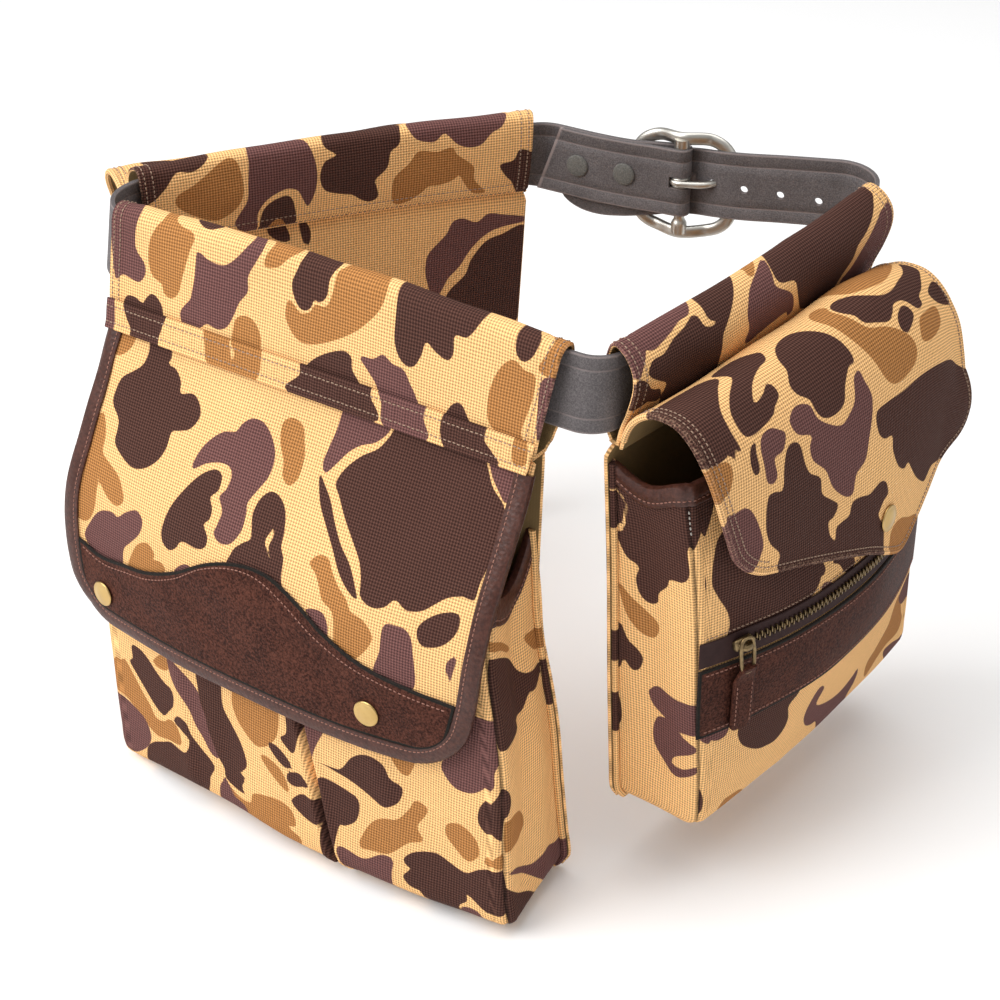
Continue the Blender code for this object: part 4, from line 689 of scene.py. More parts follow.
        ("dark", -120, 33, -91, 34, -80, 36, -74, 41, -82, 46, -90, 52, -95, 58, -97, 66, -96, 75, -99, 71,
         -100, 79, -104, 71, -105, 74, -115, 75, -124, 70, -124, 44),
        ("dark", -73, 37, -64, 34, -50, 34, -40, 39, -38, 41, -42, 46, -51, 48, -60, 51, -67, 55, -72, 61,
         -64, 60, -57, 57, -54, 60, -55, 64, -61, 67, -66, 70, -80, 72, -89, 71, -91, 66, -89, 59, -81, 52,
         -70, 46, -69, 43),
        ("dark", -30, 44, -19, 42, -9, 45, 0, 53, 5, 62, 5, 70, -1, 71, -9, 77, -14, 84, -23, 86, -32, 84,
         -36, 79, -37, 73, -43, 68, -44, 63, -39, 57, -37, 50),
        ("plum", -55, 75, -48, 72, -39, 75, -37, 82, -30, 88, -19, 93, -10, 90, -5, 86, -1, 77, 5, 75, 6,
         80, 9, 89, 7, 98, 2, 109, -3, 118, -12, 122, -16, 131, -23, 129, -32, 120, -37, 109, -46, 100, -47,
         93, -44, 88, -53, 84, -56, 79),
        ("dark", -85, 75, -87, 80, -87, 88, -90, 89, -92, 83, -90, 77),
        ("plum", -79, 75, -71, 74, -65, 77, -62, 80, -67, 86, -75, 87, -75, 95, -78, 98, -82, 96, -83, 89,
         -83, 80),
        ("tan", -122, 77, -107, 76, -104, 82, -106, 89, -109, 92, -122, 94),
        ("plum", -110, 105, -104, 104, -96, 104, -90, 112, -85, 127, -86, 134, -89, 140, -96, 140, -112,
         124),
        ("dark", -64, 87, -58, 86, -54, 89, -53, 98, -50, 105, -42, 111, -41, 120, -33, 127, -28, 132, -32,
         137, -36, 138, -35, 146, -30, 154, -30, 170, -55, 168, -73, 150, -73, 139, -80, 130, -83, 120, -82,
         105, -78, 103, -72, 104, -69, 94),
        ("tan", 9, 39, 16, 39, 19, 42, 17, 46, 21, 54, 27, 62, 38, 66, 47, 71, 54, 77, 56, 84, 52, 90, 41,
         93, 31, 92, 24, 86, 19, 75, 13, 64, 8, 54, 4, 44),
        ("dark", 20, 44, 27, 42, 36, 45, 43, 50, 52, 54, 63, 54, 75, 51, 86, 48, 95, 43, 100, 39, 102, 48,
         95, 54, 88, 59, 81, 62, 79, 66, 72, 67, 66, 62, 61, 60, 54, 60, 49, 63, 43, 65, 34, 62, 27, 59, 25,
         54, 20, 49),
        ("dark", 49, 71, 51, 66, 58, 63, 63, 64, 65, 68, 61, 71, 53, 74),
        ("tan", 63, 80, 68, 72, 79, 70, 91, 69, 94, 72, 90, 78, 79, 82, 68, 83),
        ("dark", 92, 63, 98, 59, 106, 58, 110, 69, 99, 68),
        ("tan", 35, 40, 44, 46, 62, 48, 80, 44, 95, 37, 108, 26, 114, 12, 108, 0, 88, -4, 66, 8, 48, 16, 34,
         24),
        ("dark", 11, 99, 22, 98, 40, 99, 58, 98, 77, 98, 95, 100, 109, 106, 126, 113, 140, 122, 140, 166,
         106, 162, 88, 160, 75, 158, 66, 162, 61, 161, 52, 154, 45, 145, 41, 140, 36, 141, 29, 136, 24, 125,
         24, 117, 16, 115, 11, 109),
        ("dark", -30, 146, -26, 143, -19, 142, -16, 136, -9, 136, -1, 138, 9, 136, 15, 139, 17, 146, 13,
         148, 9, 152, 8, 155, 13, 163, 15, 171, 14, 190, 2, 190, -12, 176, -29, 164),
        ("tan", 25, 171, 34, 170, 45, 175, 56, 180, 54, 194, 36, 200, 24, 194, 22, 179),
    ),
    "right_body": (
        ("dark", -118, 52, -96, 52, -93, 66, -97, 82, -102, 92, -106, 98, -118, 98),
        ("dark", -94, 96, -78, 92, -60, 106, -44, 116, -30, 128, -26, 140, -30, 150, -47, 158, -68, 160,
         -88, 160, -87, 147, -89, 138, -95, 127, -98, 116),
        ("dark", -37, 134, -29, 132, -23, 141, -25, 145, -33, 141),
        ("dark", -17, 141, -8, 138, 3, 149, 0, 154, -6, 152, -11, 145),
        ("plum", -26, 151, -20, 151, -14, 158, -24, 160),
        ("plum", -102, 204, -88, 207, -84, 212, -86, 217, -92, 217, -99, 211),
        ("dark", -72, 205, -40, 204, -34, 214, -40, 221, -37, 232, -38, 240, -43, 244, -50, 243, -59, 240,
         -70, 232, -75, 225, -77, 216),
        ("plum", -11, 226, -4, 231, -7, 241, 7, 249, 24, 253, 35, 249, 39, 245, 43, 252, 43, 259, 39, 265,
         42, 270, 62, 276, 60, 290, 20, 290, 10, 272, 5, 266, 1, 259, -4, 258, -11, 254, -17, 245, -17,
         236),
        ("dark", -106, 238, -97, 244, -93, 254, -94, 263, -99, 266, -107, 264),
        ("tan", -81, 265, -74, 264, -65, 266, -58, 274, -60, 284, -76, 286, -84, 276),
        ("tan", 55, 250, 62, 247, 71, 241, 82, 226, 92, 226, 99, 243, 103, 250, 99, 257, 82, 256, 69, 259,
         60, 265, 56, 259),
        ("plum", 80, 260, 92, 261, 105, 265, 112, 256, 120, 258, 120, 282, 100, 286, 88, 272),
        ("plum", 90, 224, 118, 222, 118, 236, 103, 238, 94, 234),
        ("dark", -1054, 66, -1037, 60, -1017, 56, -988, 60, -988, 93, -1002, 95, -1003, 111, -1007, 117,
         -1015, 119, -1017, 124, -1023, 131, -1024, 137, -1029, 140, -1034, 137, -1036, 128, -1034, 120,
         -1040, 116, -1044, 108, -1045, 103, -1041, 101, -1037, 90, -1038, 80),
        ("dark", -1050, 76, -1039, 81, -1039, 89, -1042, 97, -1050, 98),
        ("tan", -1046, 134, -1039, 140, -1031, 146, -1024, 151, -1026, 159, -1031, 161, -1037, 158, -1043,
         149),
        ("dark", -1047, 158, -1042, 167, -1037, 171, -1034, 176, -1036, 183, -1040, 185, -1045, 180, -1048,
         188, -1052, 172),
        ("plum", -1030, 194, -1025, 190, -1013, 192, -990, 190, -990, 206, -1012, 212, -1013, 213, -1008,
         215, -1002, 218, -1003, 222, -1015, 230, -1017, 236, -1010, 236, -1002, 231, -1001, 234, -1008,
         240, -1015, 243, -1021, 239, -1028, 230, -1029, 219, -1026, 210, -1021, 208, -1028, 204, -1031,
         197),
        ("dark", -1056, 202, -1049, 206, -1048, 222, -1056, 230),
        ("plum", 992, 84, 1008, 80, 1022, 92, 1016, 112, 1002, 118, 992, 110),
        ("tan", 1030, 90, 1046, 96, 1050, 118, 1038, 130, 1026, 116),
        ("dark", 1004, 136, 1022, 134, 1036, 148, 1032, 172, 1014, 178, 1002, 160),
        ("plum", 1046, 160, 1058, 170, 1056, 198, 1042, 204, 1036, 186),
        ("dark", 992, 214, 1012, 210, 1026, 224, 1020, 246, 1004, 252, 992, 244),
        ("tan", 1034, 230, 1050, 236, 1048, 260, 1032, 266, 1024, 250),
        ("dark", -90, 342, -60, 338, -40, 352, -62, 370, -88, 366),
        ("tan", -20, 350, 6, 342, 24, 354, 8, 372, -14, 370),
        ("plum", 44, 340, 84, 346, 100, 362, 76, 378, 48, 368),
    ),
    "inner_wall": (
        ("dark", -104, -42, -86, -54, -66, -48, -62, -36, -80, -31, -98, -32),
        ("tan", -46, -46, -28, -56, -12, -50, -10, -38, -28, -32, -42, -36),
        ("plum", 6, -54, 26, -60, 44, -50, 40, -34, 20, -31, 8, -40),
        ("dark", 62, -42, 84, -52, 104, -46, 108, -36, 88, -32, 70, -32),
    ),
    "left_tunnel": (
        ("dark", -118, -21, -107, -20, -100, -14, -93, -6, -84, -7, -76, -3, -74, 3, -80, 18, -100, 20,
         -118, 10),
        ("tan", -73, -40, -64, -37, -58, -30, -56, -21, -58, -8, -62, -3, -68, -5, -76, -10, -85, -15, -93,
         -19, -94, -25, -87, -32),
        ("plum", -60, -48, -48, -62, -48, -49, -48, -40, -43, -32, -32, -27, -25, -29, -22, -35, -19, -41,
         -16, -35, -14, -26, -14, -17, -16, -8, -20, 1, -30, 12, -48, 10, -52, 0, -52, -8, -53, -19, -54,
         -30, -59, -40),
        ("dark", -46, -62, -40, -68, -26, -66, -25, -56, -26, -44, -29, -33, -35, -32, -43, -36, -46, -44),
        ("tan", -41, -52, -37, -66, -30, -66, -31, -54, -35, -47),
        ("dark", 13, -43, 18, -45, 22, -42, 21, -35, 20, -30, 27, -23, 29, -14, 34, -10, 35, -3, 35, 6, 20,
         16, 0, 14, -8, 4, -9, -5, -2, -11, -9, -14, -12, -23, -9, -32, 0, -36, 7, -38),
        ("tan", 32, -49, 41, -49, 48, -44, 52, -40, 59, -40, 66, -38, 70, -35, 73, -40, 79, -49, 87, -50,
         84, -46, 79, -39, 78, -30, 68, -21, 65, -16, 56, -18, 46, -16, 40, -23, 31, -32),
        ("plum", 40, 1, 43, -7, 48, -10, 55, -11, 61, -7, 68, -14, 75, -17, 82, -16, 88, -10, 95, -6, 98, 4,
         84, 14, 60, 12, 46, 10),
        ("dark", 110, -62, 106, -53, 102, -44, 98, -39, 94, -31, 102, -29, 106, -22, 116, -30, 118, -56),
        ("plum", -110, 30, -84, 26, -70, 38, -76, 54, -100, 58, -112, 46),
        ("tan", -30, 28, -8, 24, 4, 36, -10, 50, -32, 46),
        ("dark", 40, 28, 76, 26, 92, 40, 78, 56, 48, 52),
    ),
    "left_back": (
        ("plum", 56, 108, 54, 98, 55, 87, 61, 79, 66, 73, 69, 66, 75, 64, 84, 68, 91, 63, 100, 65, 114, 69,
         114, 72, 97, 74, 88, 79, 81, 87, 75, 98, 68, 106, 65, 113, 60, 120),
        ("dark", 68, 118, 79, 105, 82, 95, 90, 83, 100, 79, 116, 77, 118, 120, 112, 150, 90, 160, 66, 140),
        ("dark", -38, 48, -32, 50, -28, 61, -34, 61, -41, 55),
        ("dark", -22, 50, -17, 55, -16, 61, -18, 67, -21, 62),
        ("tan", -100, 70, -70, 64, -52, 80, -60, 104, -88, 112, -104, 92),
        ("dark", -60, 126, -34, 112, -10, 124, -8, 150, -30, 170, -58, 160),
        ("plum", 10, 150, 34, 146, 48, 170, 38, 198, 14, 204, 0, 178),
        ("tan", 66, 188, 92, 178, 106, 200, 96, 230, 72, 232),
        ("dark", -104, 176, -78, 172, -66, 196, -78, 222, -104, 226),
        ("plum", -46, 216, -20, 210, -6, 232, -18, 258, -46, 256),
        ("dark", 30, 236, 58, 232, 68, 254, 50, 272, 26, 264),
    ),
}


def moved(name, across, down, turn=1):
    """A chart's outlines elsewhere on the cloth, for a face that the photo hides."""
    made = []
    for colour, *flat in CHARTS[name]:
        spots = np.reshape(flat, (-1, 2)) * (turn, 1) + (across, down)
        made.append((colour, *spots.ravel()))
    return tuple(made)


CHARTS["rear_tunnel"] += CHARTS["inner_wall"]
CHARTS["right_tunnel"] += moved("inner_wall", 4.0, 2.0, -1)
CHARTS["rear_back"] = moved("rear_body", 0.0, 6.0, -1) + moved("rear_flap", 8.0, 62.0, -1)
CHARTS["right_back"] = moved("right_flap", -6.0, 58.0)
CHARTS["left_flap"] = moved("right_flap", 8.0, -14.0, -1)
CHARTS["left_body"] = moved("right_body", 0.0, 8.0, -1)


# Materials

class Nodes:
    """Short way to build a material's node tree."""

    def __init__(self, name, roughness=0.6, metallic=0.0, **sockets):
        self.material = bpy.data.materials.new(name)
        self.material.use_nodes = True
        self.tree = self.material.node_tree
        self.shader = self.tree.nodes["Principled BSDF"]
        self.shader.inputs["Roughness"].default_value = roughness
        self.shader.inputs["Metallic"].default_value = metallic
        for label, value in sockets.items():
            self.shader.inputs[label.replace("_", " ").title().replace("Ior", "IOR")].default_value = value

    def add(self, kind, **settings):
        node = self.tree.nodes.new(kind)
        for label, value in settings.items():
            setattr(node, label, value)
        return node

    def link(self, source, target):
        self.tree.links.new(source, target)

    def feed(self, node, index, value):
        """Link a socket, or set a plain value."""
        if hasattr(value, "is_output"):
            self.link(value, node.inputs[index])
        else:
            node.inputs[index].default_value = value

    def math(self, operation, a, b=0.0, c=0.0, clamp=False):
        node = self.add("ShaderNodeMath", operation=operation, use_clamp=clamp)
        for index, value in enumerate((a, b, c)):
            self.feed(node, index, value)
        return node.outputs[0]

    def plus(self, a, b):
        return self.math("ADD", a, b)

    def times(self, a, b):
        return self.math("MULTIPLY", a, b)

    def ramp(self, value, gain, offset, clamp=False):
        return self.math("MULTIPLY_ADD", value, gain, offset, clamp)

    def mix(self, factor, a, b):
        node = self.add("ShaderNodeMix", data_type="RGBA")
        self.feed(node, 0, factor)
        for index, value in ((6, a), (7, b)):
            self.feed(node, index, value if hasattr(value, "is_output") else (*value, 1.0))
        return node.outputs[2]

    def scale(self, colour, factor):
        node = self.add("ShaderNodeVectorMath", operation="SCALE")
        self.feed(node, 0, colour)
        self.feed(node, 3, factor)
        return node.outputs[0]

    def attribute(self, name):
        return self.add("ShaderNodeAttribute", attribute_name=name).outputs["Fac"]

    def panel(self):
        """The panel's u and v in millimetres."""
        uv = self.add("ShaderNodeUVMap", uv_map="panel").outputs[0]
        split = self.add("ShaderNodeSeparateXYZ")
        self.link(self.scale(uv, 1.0 / MM), split.inputs[0])
        return split.outputs[0], split.outputs[1]

    def place(self):
        return self.add("ShaderNodeTexCoord").outputs["Object"]

    def noise(self, scale, detail=3.0, roughness=0.55):
        node = self.add("ShaderNodeTexNoise")
        node.inputs["Scale"].default_value = scale
        node.inputs["Detail"].default_value = detail
        node.inputs["Roughness"].default_value = roughness
        self.link(self.place(), node.inputs["Vector"])
        return node.outputs["Fac"]

    def cells(self, scale):
        node = self.add("ShaderNodeTexVoronoi")
        node.inputs["Scale"].default_value = scale
        self.link(self.place(), node.inputs["Vector"])
        return node.outputs["Distance"]

    def bump(self, height, distance, strength=1.0):
        node = self.add("ShaderNodeBump")
        node.inputs["Strength"].default_value = strength
        node.inputs["Distance"].default_value = distance
        self.link(height, node.inputs["Height"])
        self.link(node.outputs[0], self.shader.inputs["Normal"])

    def colour(self, value):
        self.link(value, self.shader.inputs["Base Color"])

    def rough(self, value):
        self.link(value, self.shader.inputs["Roughness"])


SAND = (0.84, 0.49, 0.205)
INKS = {"tan": (0.40, 0.175, 0.052), "plum": (0.135, 0.058, 0.054), "dark": (0.062, 0.025, 0.019)}
SPECK = (0.62, 0.40, 0.27)
# painted highlight colour on the weave's crowns
CROWN_HIGHLIGHT = (0.55, 0.32, 0.22)
BROWN = ((0.022, 0.0064, 0.0040), (0.104, 0.036, 0.023))
BURNISHED = (0.012, 0.012, 0.010)
WEAVE_PITCH = 1.6         # the canvas's dots
LINING_PITCH = 0.9


def weave(n, pitch):
    """Staggered crowns of a plain weave, 0 to 1."""
    u, v = n.panel()
    k = pi / pitch
    a, b = (n.math("SINE", n.times(n.math(operation, u, v), k)) for operation in ("ADD", "SUBTRACT"))
    return n.ramp(n.times(a, b), 0.5, 0.5)


def canvas_material(name, edge=False):
    """Printed canvas, by the painted fields, with painted shade in the weave's pits and along the corner
    seams and a painted highlight on the weave's crowns; an edge piece is also rubbed pale in specks.
    """
    n = Nodes(name, roughness=0.85, specular_ior_level=0.12)
    crown = weave(n, WEAVE_PITCH)
    colour = SAND
    for label, ink in INKS.items():
        colour = n.mix(n.ramp(n.attribute(label), -2.2, 0.9, clamp=True), colour, ink)
    if edge:
        speckle = n.ramp(n.noise(900.0, 1.0), 9.0, -4.2, clamp=True)
        colour = n.mix(n.times(speckle, 0.22), colour, SPECK)
    worn = n.times(n.ramp(n.noise(14.0, 4.0), 0.16, 0.92), n.ramp(n.noise(700.0, 2.0), 0.24, 0.88))
    # Painted shade in the weave's pits and a painted highlight on its crowns, times a random tone
    weave_shade_and_wear = n.times(n.ramp(crown, 1.15, 0.40), worn)
    # Painted shade along the corner seams, by the field "seam"
    seam = n.ramp(n.attribute("seam"), 4.0, -2.9, clamp=True)
    lit = n.scale(colour, n.times(weave_shade_and_wear, n.ramp(seam, -0.6, 1.0)))
    # Painted highlight on the weave's crowns
    crown_highlight = n.times(n.math("POWER", crown, 2.0), 0.075)
    n.colour(n.mix(crown_highlight, lit, CROWN_HIGHLIGHT))
    n.bump(crown, 0.0005)
    return n.material


def lining_material():
    n = Nodes("lining", roughness=0.9, specular_ior_level=0.1)
    crown = weave(n, LINING_PITCH)
    face = n.mix(n.noise(20.0, 3.0), (0.22, 0.14, 0.062), (0.30, 0.20, 0.09))
    # Painted shade in the weave's pits and a painted highlight on its crowns
    n.colour(n.scale(face, n.ramp(crown, 0.3, 0.8)))
    n.bump(crown, 0.0002, 0.6)
    return n.material


def leather(name, dark, light, grain, specular, rough=None, pits=0.8, strength=0.7):
    """Node tree of leather with pores, slow mottle and fine grain, and its colour so far."""
    n = Nodes(name, roughness=0.6, specular_ior_level=specular)
    pores, mottle, fine = n.cells(grain), n.noise(55.0, 5.0, 0.6), n.noise(grain * 0.9, 3.0, 0.7)
    tone = n.ramp(n.plus(n.times(mottle, 0.3), fine), 3.4, -1.78, clamp=True)
    if rough is not None:
        n.rough(n.ramp(mottle, 0.25, rough))
    n.bump(n.plus(n.times(pores, pits), n.times(fine, 0.6)), 0.0003, strength)
    return n, n.mix(tone, dark, light)


def leather_material(name, dark, light, grain=900.0, specular=0.07, rough=0.44):
    n, face = leather(name, dark, light, grain, specular, rough)
    n.colour(face)
    return n.material


def edged_leather_material():
    """Leather with a burnished black edge, by the distance to the piece's border."""
    n, face = leather("edged_leather", *BROWN, 800.0, 0.07, 0.44, 0.9, 0.8)
    n.colour(n.mix(n.ramp(n.attribute("edge"), -1.6, 2.4, clamp=True), face, BURNISHED))
    return n.material


def metal_material(name, dark, light, roughness, cloud_scale=60.0):
    n = Nodes(name, roughness=roughness, metallic=1.0)
    cloud = n.noise(cloud_scale, 4.0)
    n.colour(n.mix(n.ramp(cloud, 2.0, -0.5, clamp=True), dark, light))
    n.rough(n.ramp(cloud, 0.2, roughness - 0.08))
    n.bump(n.noise(cloud_scale * 12, 2.0), 0.0001, 0.25)
    return n.material


def thread_material(name, dark, light):
    n = Nodes(name, roughness=0.7, specular_ior_level=0.15)
    n.colour(n.mix(n.noise(260.0, 2.0), dark, light))
    n.bump(n.noise(2500.0, 1.0), 0.0001, 0.5)
    return n.material


def make_materials():
    return {
        "canvas": canvas_material("canvas"),
        "canvas_edge": canvas_material("canvas_edge", edge=True),
        "lining": lining_material(),
        "leather": leather_material("leather", *BROWN),
        "piping": leather_material("piping", (0.040, 0.0125, 0.0080), (0.080, 0.027, 0.0175),
                                   500.0, 0.3, 0.28),
        "leather_edge": leather_material("leather_edge", (0.012, 0.009, 0.008), (0.03, 0.022, 0.018)),
        "cap": leather_material("cap", (0.10, 0.097, 0.09), (0.17, 0.165, 0.15), 1400.0),
        "brass": metal_material("brass", (0.40, 0.25, 0.085), (0.62, 0.435, 0.18), 0.33),
        "old_brass": metal_material("old_brass", (0.10, 0.065, 0.035), (0.34, 0.245, 0.125), 0.38, 300.0),
        "chrome": metal_material("chrome", (0.40, 0.385, 0.35), (0.62, 0.60, 0.55), 0.34),
        "zip_cloth": thread_material("zip_cloth", (0.022, 0.010, 0.010), (0.046, 0.022, 0.020)),
        "thread": thread_material("thread", (0.21, 0.135, 0.095), (0.43, 0.30, 0.22)),
        "thread_red": thread_material("thread_red", (0.20, 0.088, 0.064), (0.37, 0.19, 0.145)),
        "thread_white": thread_material("thread_white", (0.30, 0.26, 0.23), (0.52, 0.47, 0.42)),
    }


FINISH = make_materials()
CANVAS = [FINISH["canvas"]] * 3
LINED = [FINISH["canvas"], FINISH["lining"], FINISH["canvas_edge"]]
EDGED = [edged_leather_material(), FINISH["leather"], FINISH["leather_edge"]]


# Stitches

Thread = namedtuple("Thread", "pitch length radius")
SEAM_THREAD = Thread(2.7, 1.95, 0.38)
TACK_THREAD = Thread(2.5, 1.7, 0.45)
STITCH_SIDES = 5
Bead = namedtuple("Bead", "along wide lift")
STITCH = (Bead(-0.5, 0.25, -0.6), Bead(-0.36, 0.85, 0.15), Bead(0.0, 1.0, 0.45), Bead(0.36, 0.85, 0.15),
          Bead(0.5, 0.25, -0.6))


class Stitches:
    """Gathers rows of stitches, then makes them one joined mesh."""

    def __init__(self):
        self.points, self.faces = [], []

    def row(self, path, normals, thread=SEAM_THREAD):
        """Stitches along a world path, lying on a surface with these normals."""
        path, normals = np.asarray(path), np.asarray(normals)
        at = travelled(path) / MM
        count = max(1, int(at[-1] / thread.pitch))
        cosines, sines = circle(STITCH_SIDES)
        index = np.arange(len(STITCH) * STITCH_SIDES).reshape(len(STITCH), STITCH_SIDES)
        here, ahead = index[:-1], index[1:]
        quads = np.stack([here, np.roll(here, -1, 1), np.roll(ahead, -1, 1), ahead], -1).reshape(-1, 4)
        for middle in (np.arange(count) + 0.5) * at[-1] / count:
            ends = [self.at(path, at, middle + s * 0.5 * thread.length) for s in (-1, 1)]
            spot, normal = self.at(path, at, middle), unit(self.at(normals, at, middle))
            run = unit(ends[1] - ends[0])
            ring = unit(np.cross(run, normal)) * cosines + normal * sines
            first = len(STITCH) * STITCH_SIDES * len(self.points)
            self.points.append(np.concatenate([
                spot + (run * bead.along * thread.length + (normal * bead.lift + ring * bead.wide)
                        * thread.radius) * MM for bead in STITCH]))
            self.faces += (first + quads).tolist()
            self.faces += [(first + index[0][::-1]).tolist(), (first + index[-1]).tolist()]

    @staticmethod
    def at(values, keys, here):
        return np.array([np.interp(here, keys, values[:, k]) for k in range(3)])

    def make(self, name, finish, slot):
        if not self.points:
            return
        obj = mesh_object(name, np.concatenate(self.points), self.faces, [FINISH[finish]])
        obj.data.set_sharp_from_angle(angle=pi)
        finish_piece(obj, slot)


# Belt tunnels

FOOT_GAP = 12.0           # from the outer wall's foot back to the inner wall's
WELT_UP = 7.0             # the welt's distance from the inner wall's foot
WELT_ROWS = (-4.2, 4.2)   # its stitch rows, from its middle
WELT_WIDE = 1.9
HEM_IN = 9.5              # a turned hem's groove, from a tunnel's end
HEM_WIDE = 1.6
HEM_DEEP = 0.5
HEM_ROWS = (2.5, 6.5)
TUNNEL_SOFT = 0.45        # unevenness, which fades this far from the fold and at the ends
SOFT_REACH = 50.0
SOFT_FADE = 15.0
SOFT_END = 18.0
TUNNEL_LIP = 4.0          # a side tunnel's ends reach this much further on its outer side
LIP_FADE = 16.0
TUNNEL_RIDGES = {
    "rear": (
        Ridge(-120.0, 6.0, -60.0, 50.0, 9.0, 0.8), Ridge(20.0, 4.0, 70.0, 48.0, 12.0, 0.7),
        Ridge(95.0, 10.0, 128.0, 40.0, 7.0, -0.7),
    ),
    "right": (Ridge(-100.0, 8.0, -60.0, 40.0, 8.0, -0.8), Ridge(30.0, 5.0, 100.0, 22.0, 10.0, 0.8)),
    "left": (Ridge(-90.0, -12.0, -40.0, -40.0, 9.0, 0.8), Ridge(20.0, -8.0, 80.0, -30.0, 10.0, -0.7)),
}


def tunnel_section(ring):
    """Fine (out, down, distance from the fold) points of a closed tunnel section."""
    points = np.array(ring)
    at = travelled(points)
    fine = np.linspace(0, at[-1], int(at[-1] / STEP) + 1)
    outs, downs = (smooth(at, values, fine) for values in points.T)
    fold = fine[np.argmin(downs)]
    return np.r_[outs, ring[0].out], np.r_[downs, ring[0].down], np.r_[fine, fine[-1] + FOOT_GAP] - fold


def rear_tunnel_x(s, down):
    """Place along the rear tunnel, whose right end slants, from -1 to 1 along it."""
    return s * REAR_TUNNEL_HALF - REAR_TUNNEL_SLANT * down / REAR_TUNNEL[-1].down * np.maximum(0.0, s)


def tunnel_grid(bag):
    half = bag.half
    outs, downs, around = tunnel_section(REAR_TUNNEL if bag.rear else SIDE_TUNNEL)
    station = np.linspace(-1, 1, int(2 * half / STEP) + 1)
    s, out, down = np.broadcast_arrays(station, outs[:, None], downs[:, None])
    if bag.rear:
        x = rear_tunnel_x(s, down)
        down = down - REAR_ARCH * (1 - s**2) * np.maximum(0.0, 1 - down / ARCH_FADE)
    else:
        outer = (out - out.min()) / (out.max() - out.min())
        x = s * half
        x = x + np.sign(s) * TUNNEL_LIP * outer * eased(1 - (half - np.abs(x)) / LIP_FADE)
        out = out + SIDE_BOW * (1 - s**2)
    grid = bag.world(x, out, down)
    v = around[:, None] + 0.0 * x
    soft = TUNNEL_SOFT * ripple(x, v, size=70.0, phase=len(bag.side))
    soft = soft + ridges(TUNNEL_RIDGES[bag.side], x, v)
    soft *= eased((SOFT_REACH - np.abs(v)) / SOFT_FADE) * eased((half - np.abs(x)) / SOFT_END)
    # The ends pull in slightly at their turned hems, and the welt stands up.
    hem = np.exp(-((half - np.abs(x) - HEM_IN) / HEM_WIDE)**2) * HEM_DEEP
    welt = np.exp(-((v - v.min() - WELT_UP) / WELT_WIDE)**2)
    grid = grid + grid_normals(grid, bag.turn) * (soft - hem + welt)[..., None] * MM
    return grid, np.stack([x, v], -1)


def make_tunnel(bag, stitches):
    grid, uv = tunnel_grid(bag)
    obj = make_shell(bag.side + "_tunnel", bag, grid, CLOTH, LINED, uv, (bag.side + "_tunnel", None))
    finish_piece(obj, "canvas", bag.side + "_belt_tunnel")
    normal = grid_normals(grid, bag.turn)
    for inset in HEM_ROWS:
        steps = int(round(inset / STEP))
        for c in (steps, -1 - steps):
            stitches.row(grid[3:-3, c], normal[3:-3, c])
    for off in WELT_ROWS:
        r = int(round((WELT_UP + off) / STEP))
        stitches.row(grid[r, 4:-4], normal[r, 4:-4])


# Back panels

REAR_BACK_TOP = Ring(7.5, 58.4)
SIDE_BACK_TOP = Ring(1.5, 53.1)
BACK_FOOT = 2.0           # below the body's last level
BACK_NEAR = 4.0           # above the body's first level, where the panel comes to its back
BACK_STEP = 1.3 * STEP
BACK_WIDE = 240.0
BACK_EASE = 20.0          # its hollow and unevenness fade this near its top and its foot
BACK_HOLLOW = 1.0
BACK_SOFT = 0.9
BACK_NARROWER = 14.0      # the tunnel's bow narrows by this down a side panel


def make_back_panel(bag):
    levels = bag.levels
    top = REAR_BACK_TOP if bag.rear else SIDE_BACK_TOP
    bottom = levels[-1].down + BACK_FOOT
    tall = bottom - top.down
    downs = np.linspace(top.down, bottom, int(tall / BACK_STEP) + 1)
    held = np.maximum(downs, levels[0].down)
    left, right, back, _, _ = between(levels, held)
    fade = np.minimum(1.0, (downs - top.down) / (levels[0].down - BACK_NEAR - top.down))
    out = top.out + (back - GAP - top.out) * fade
    low = -bag.half + (left - FLANGE + bag.half) * fade
    high = bag.half - (REAR_TUNNEL_SLANT if bag.rear else 0.0)
    high = high + (right - (splay_at(held) if bag.rear else 0.0) + FLANGE - high) * fade
    bow = 0.0 if bag.rear else SIDE_BOW * (1 - (downs[:, None] - top.down) / tall)**2
    t = np.linspace(0, 1, int(BACK_WIDE / BACK_STEP))
    x = low[:, None] + (high - low)[:, None] * t
    out = out[:, None] + bow * bell(x, 0.0, SIDE_TUNNEL_HALF - BACK_NARROWER * fade[:, None])
    x, down = np.broadcast_arrays(x, downs[:, None])
    inside = (bell(t, 0.5, 0.5) * eased((down - top.down) / BACK_EASE)
              * eased((bottom - down) / BACK_EASE))
    out = out - (BACK_SOFT * ripple(x, down, size=95.0, phase=2.0) + BACK_HOLLOW) * inside
    uv = np.stack([x, down], -1)
    materials = [FINISH["lining"], FINISH["canvas"], FINISH["canvas_edge"]]
    obj = make_shell(bag.side + "_back", bag, bag.world(x, out, down), CLOTH, materials, uv,
                     (None, bag.side + "_back"))
    finish_piece(obj, "canvas", bag.side + "_back_panel")


# Bodies

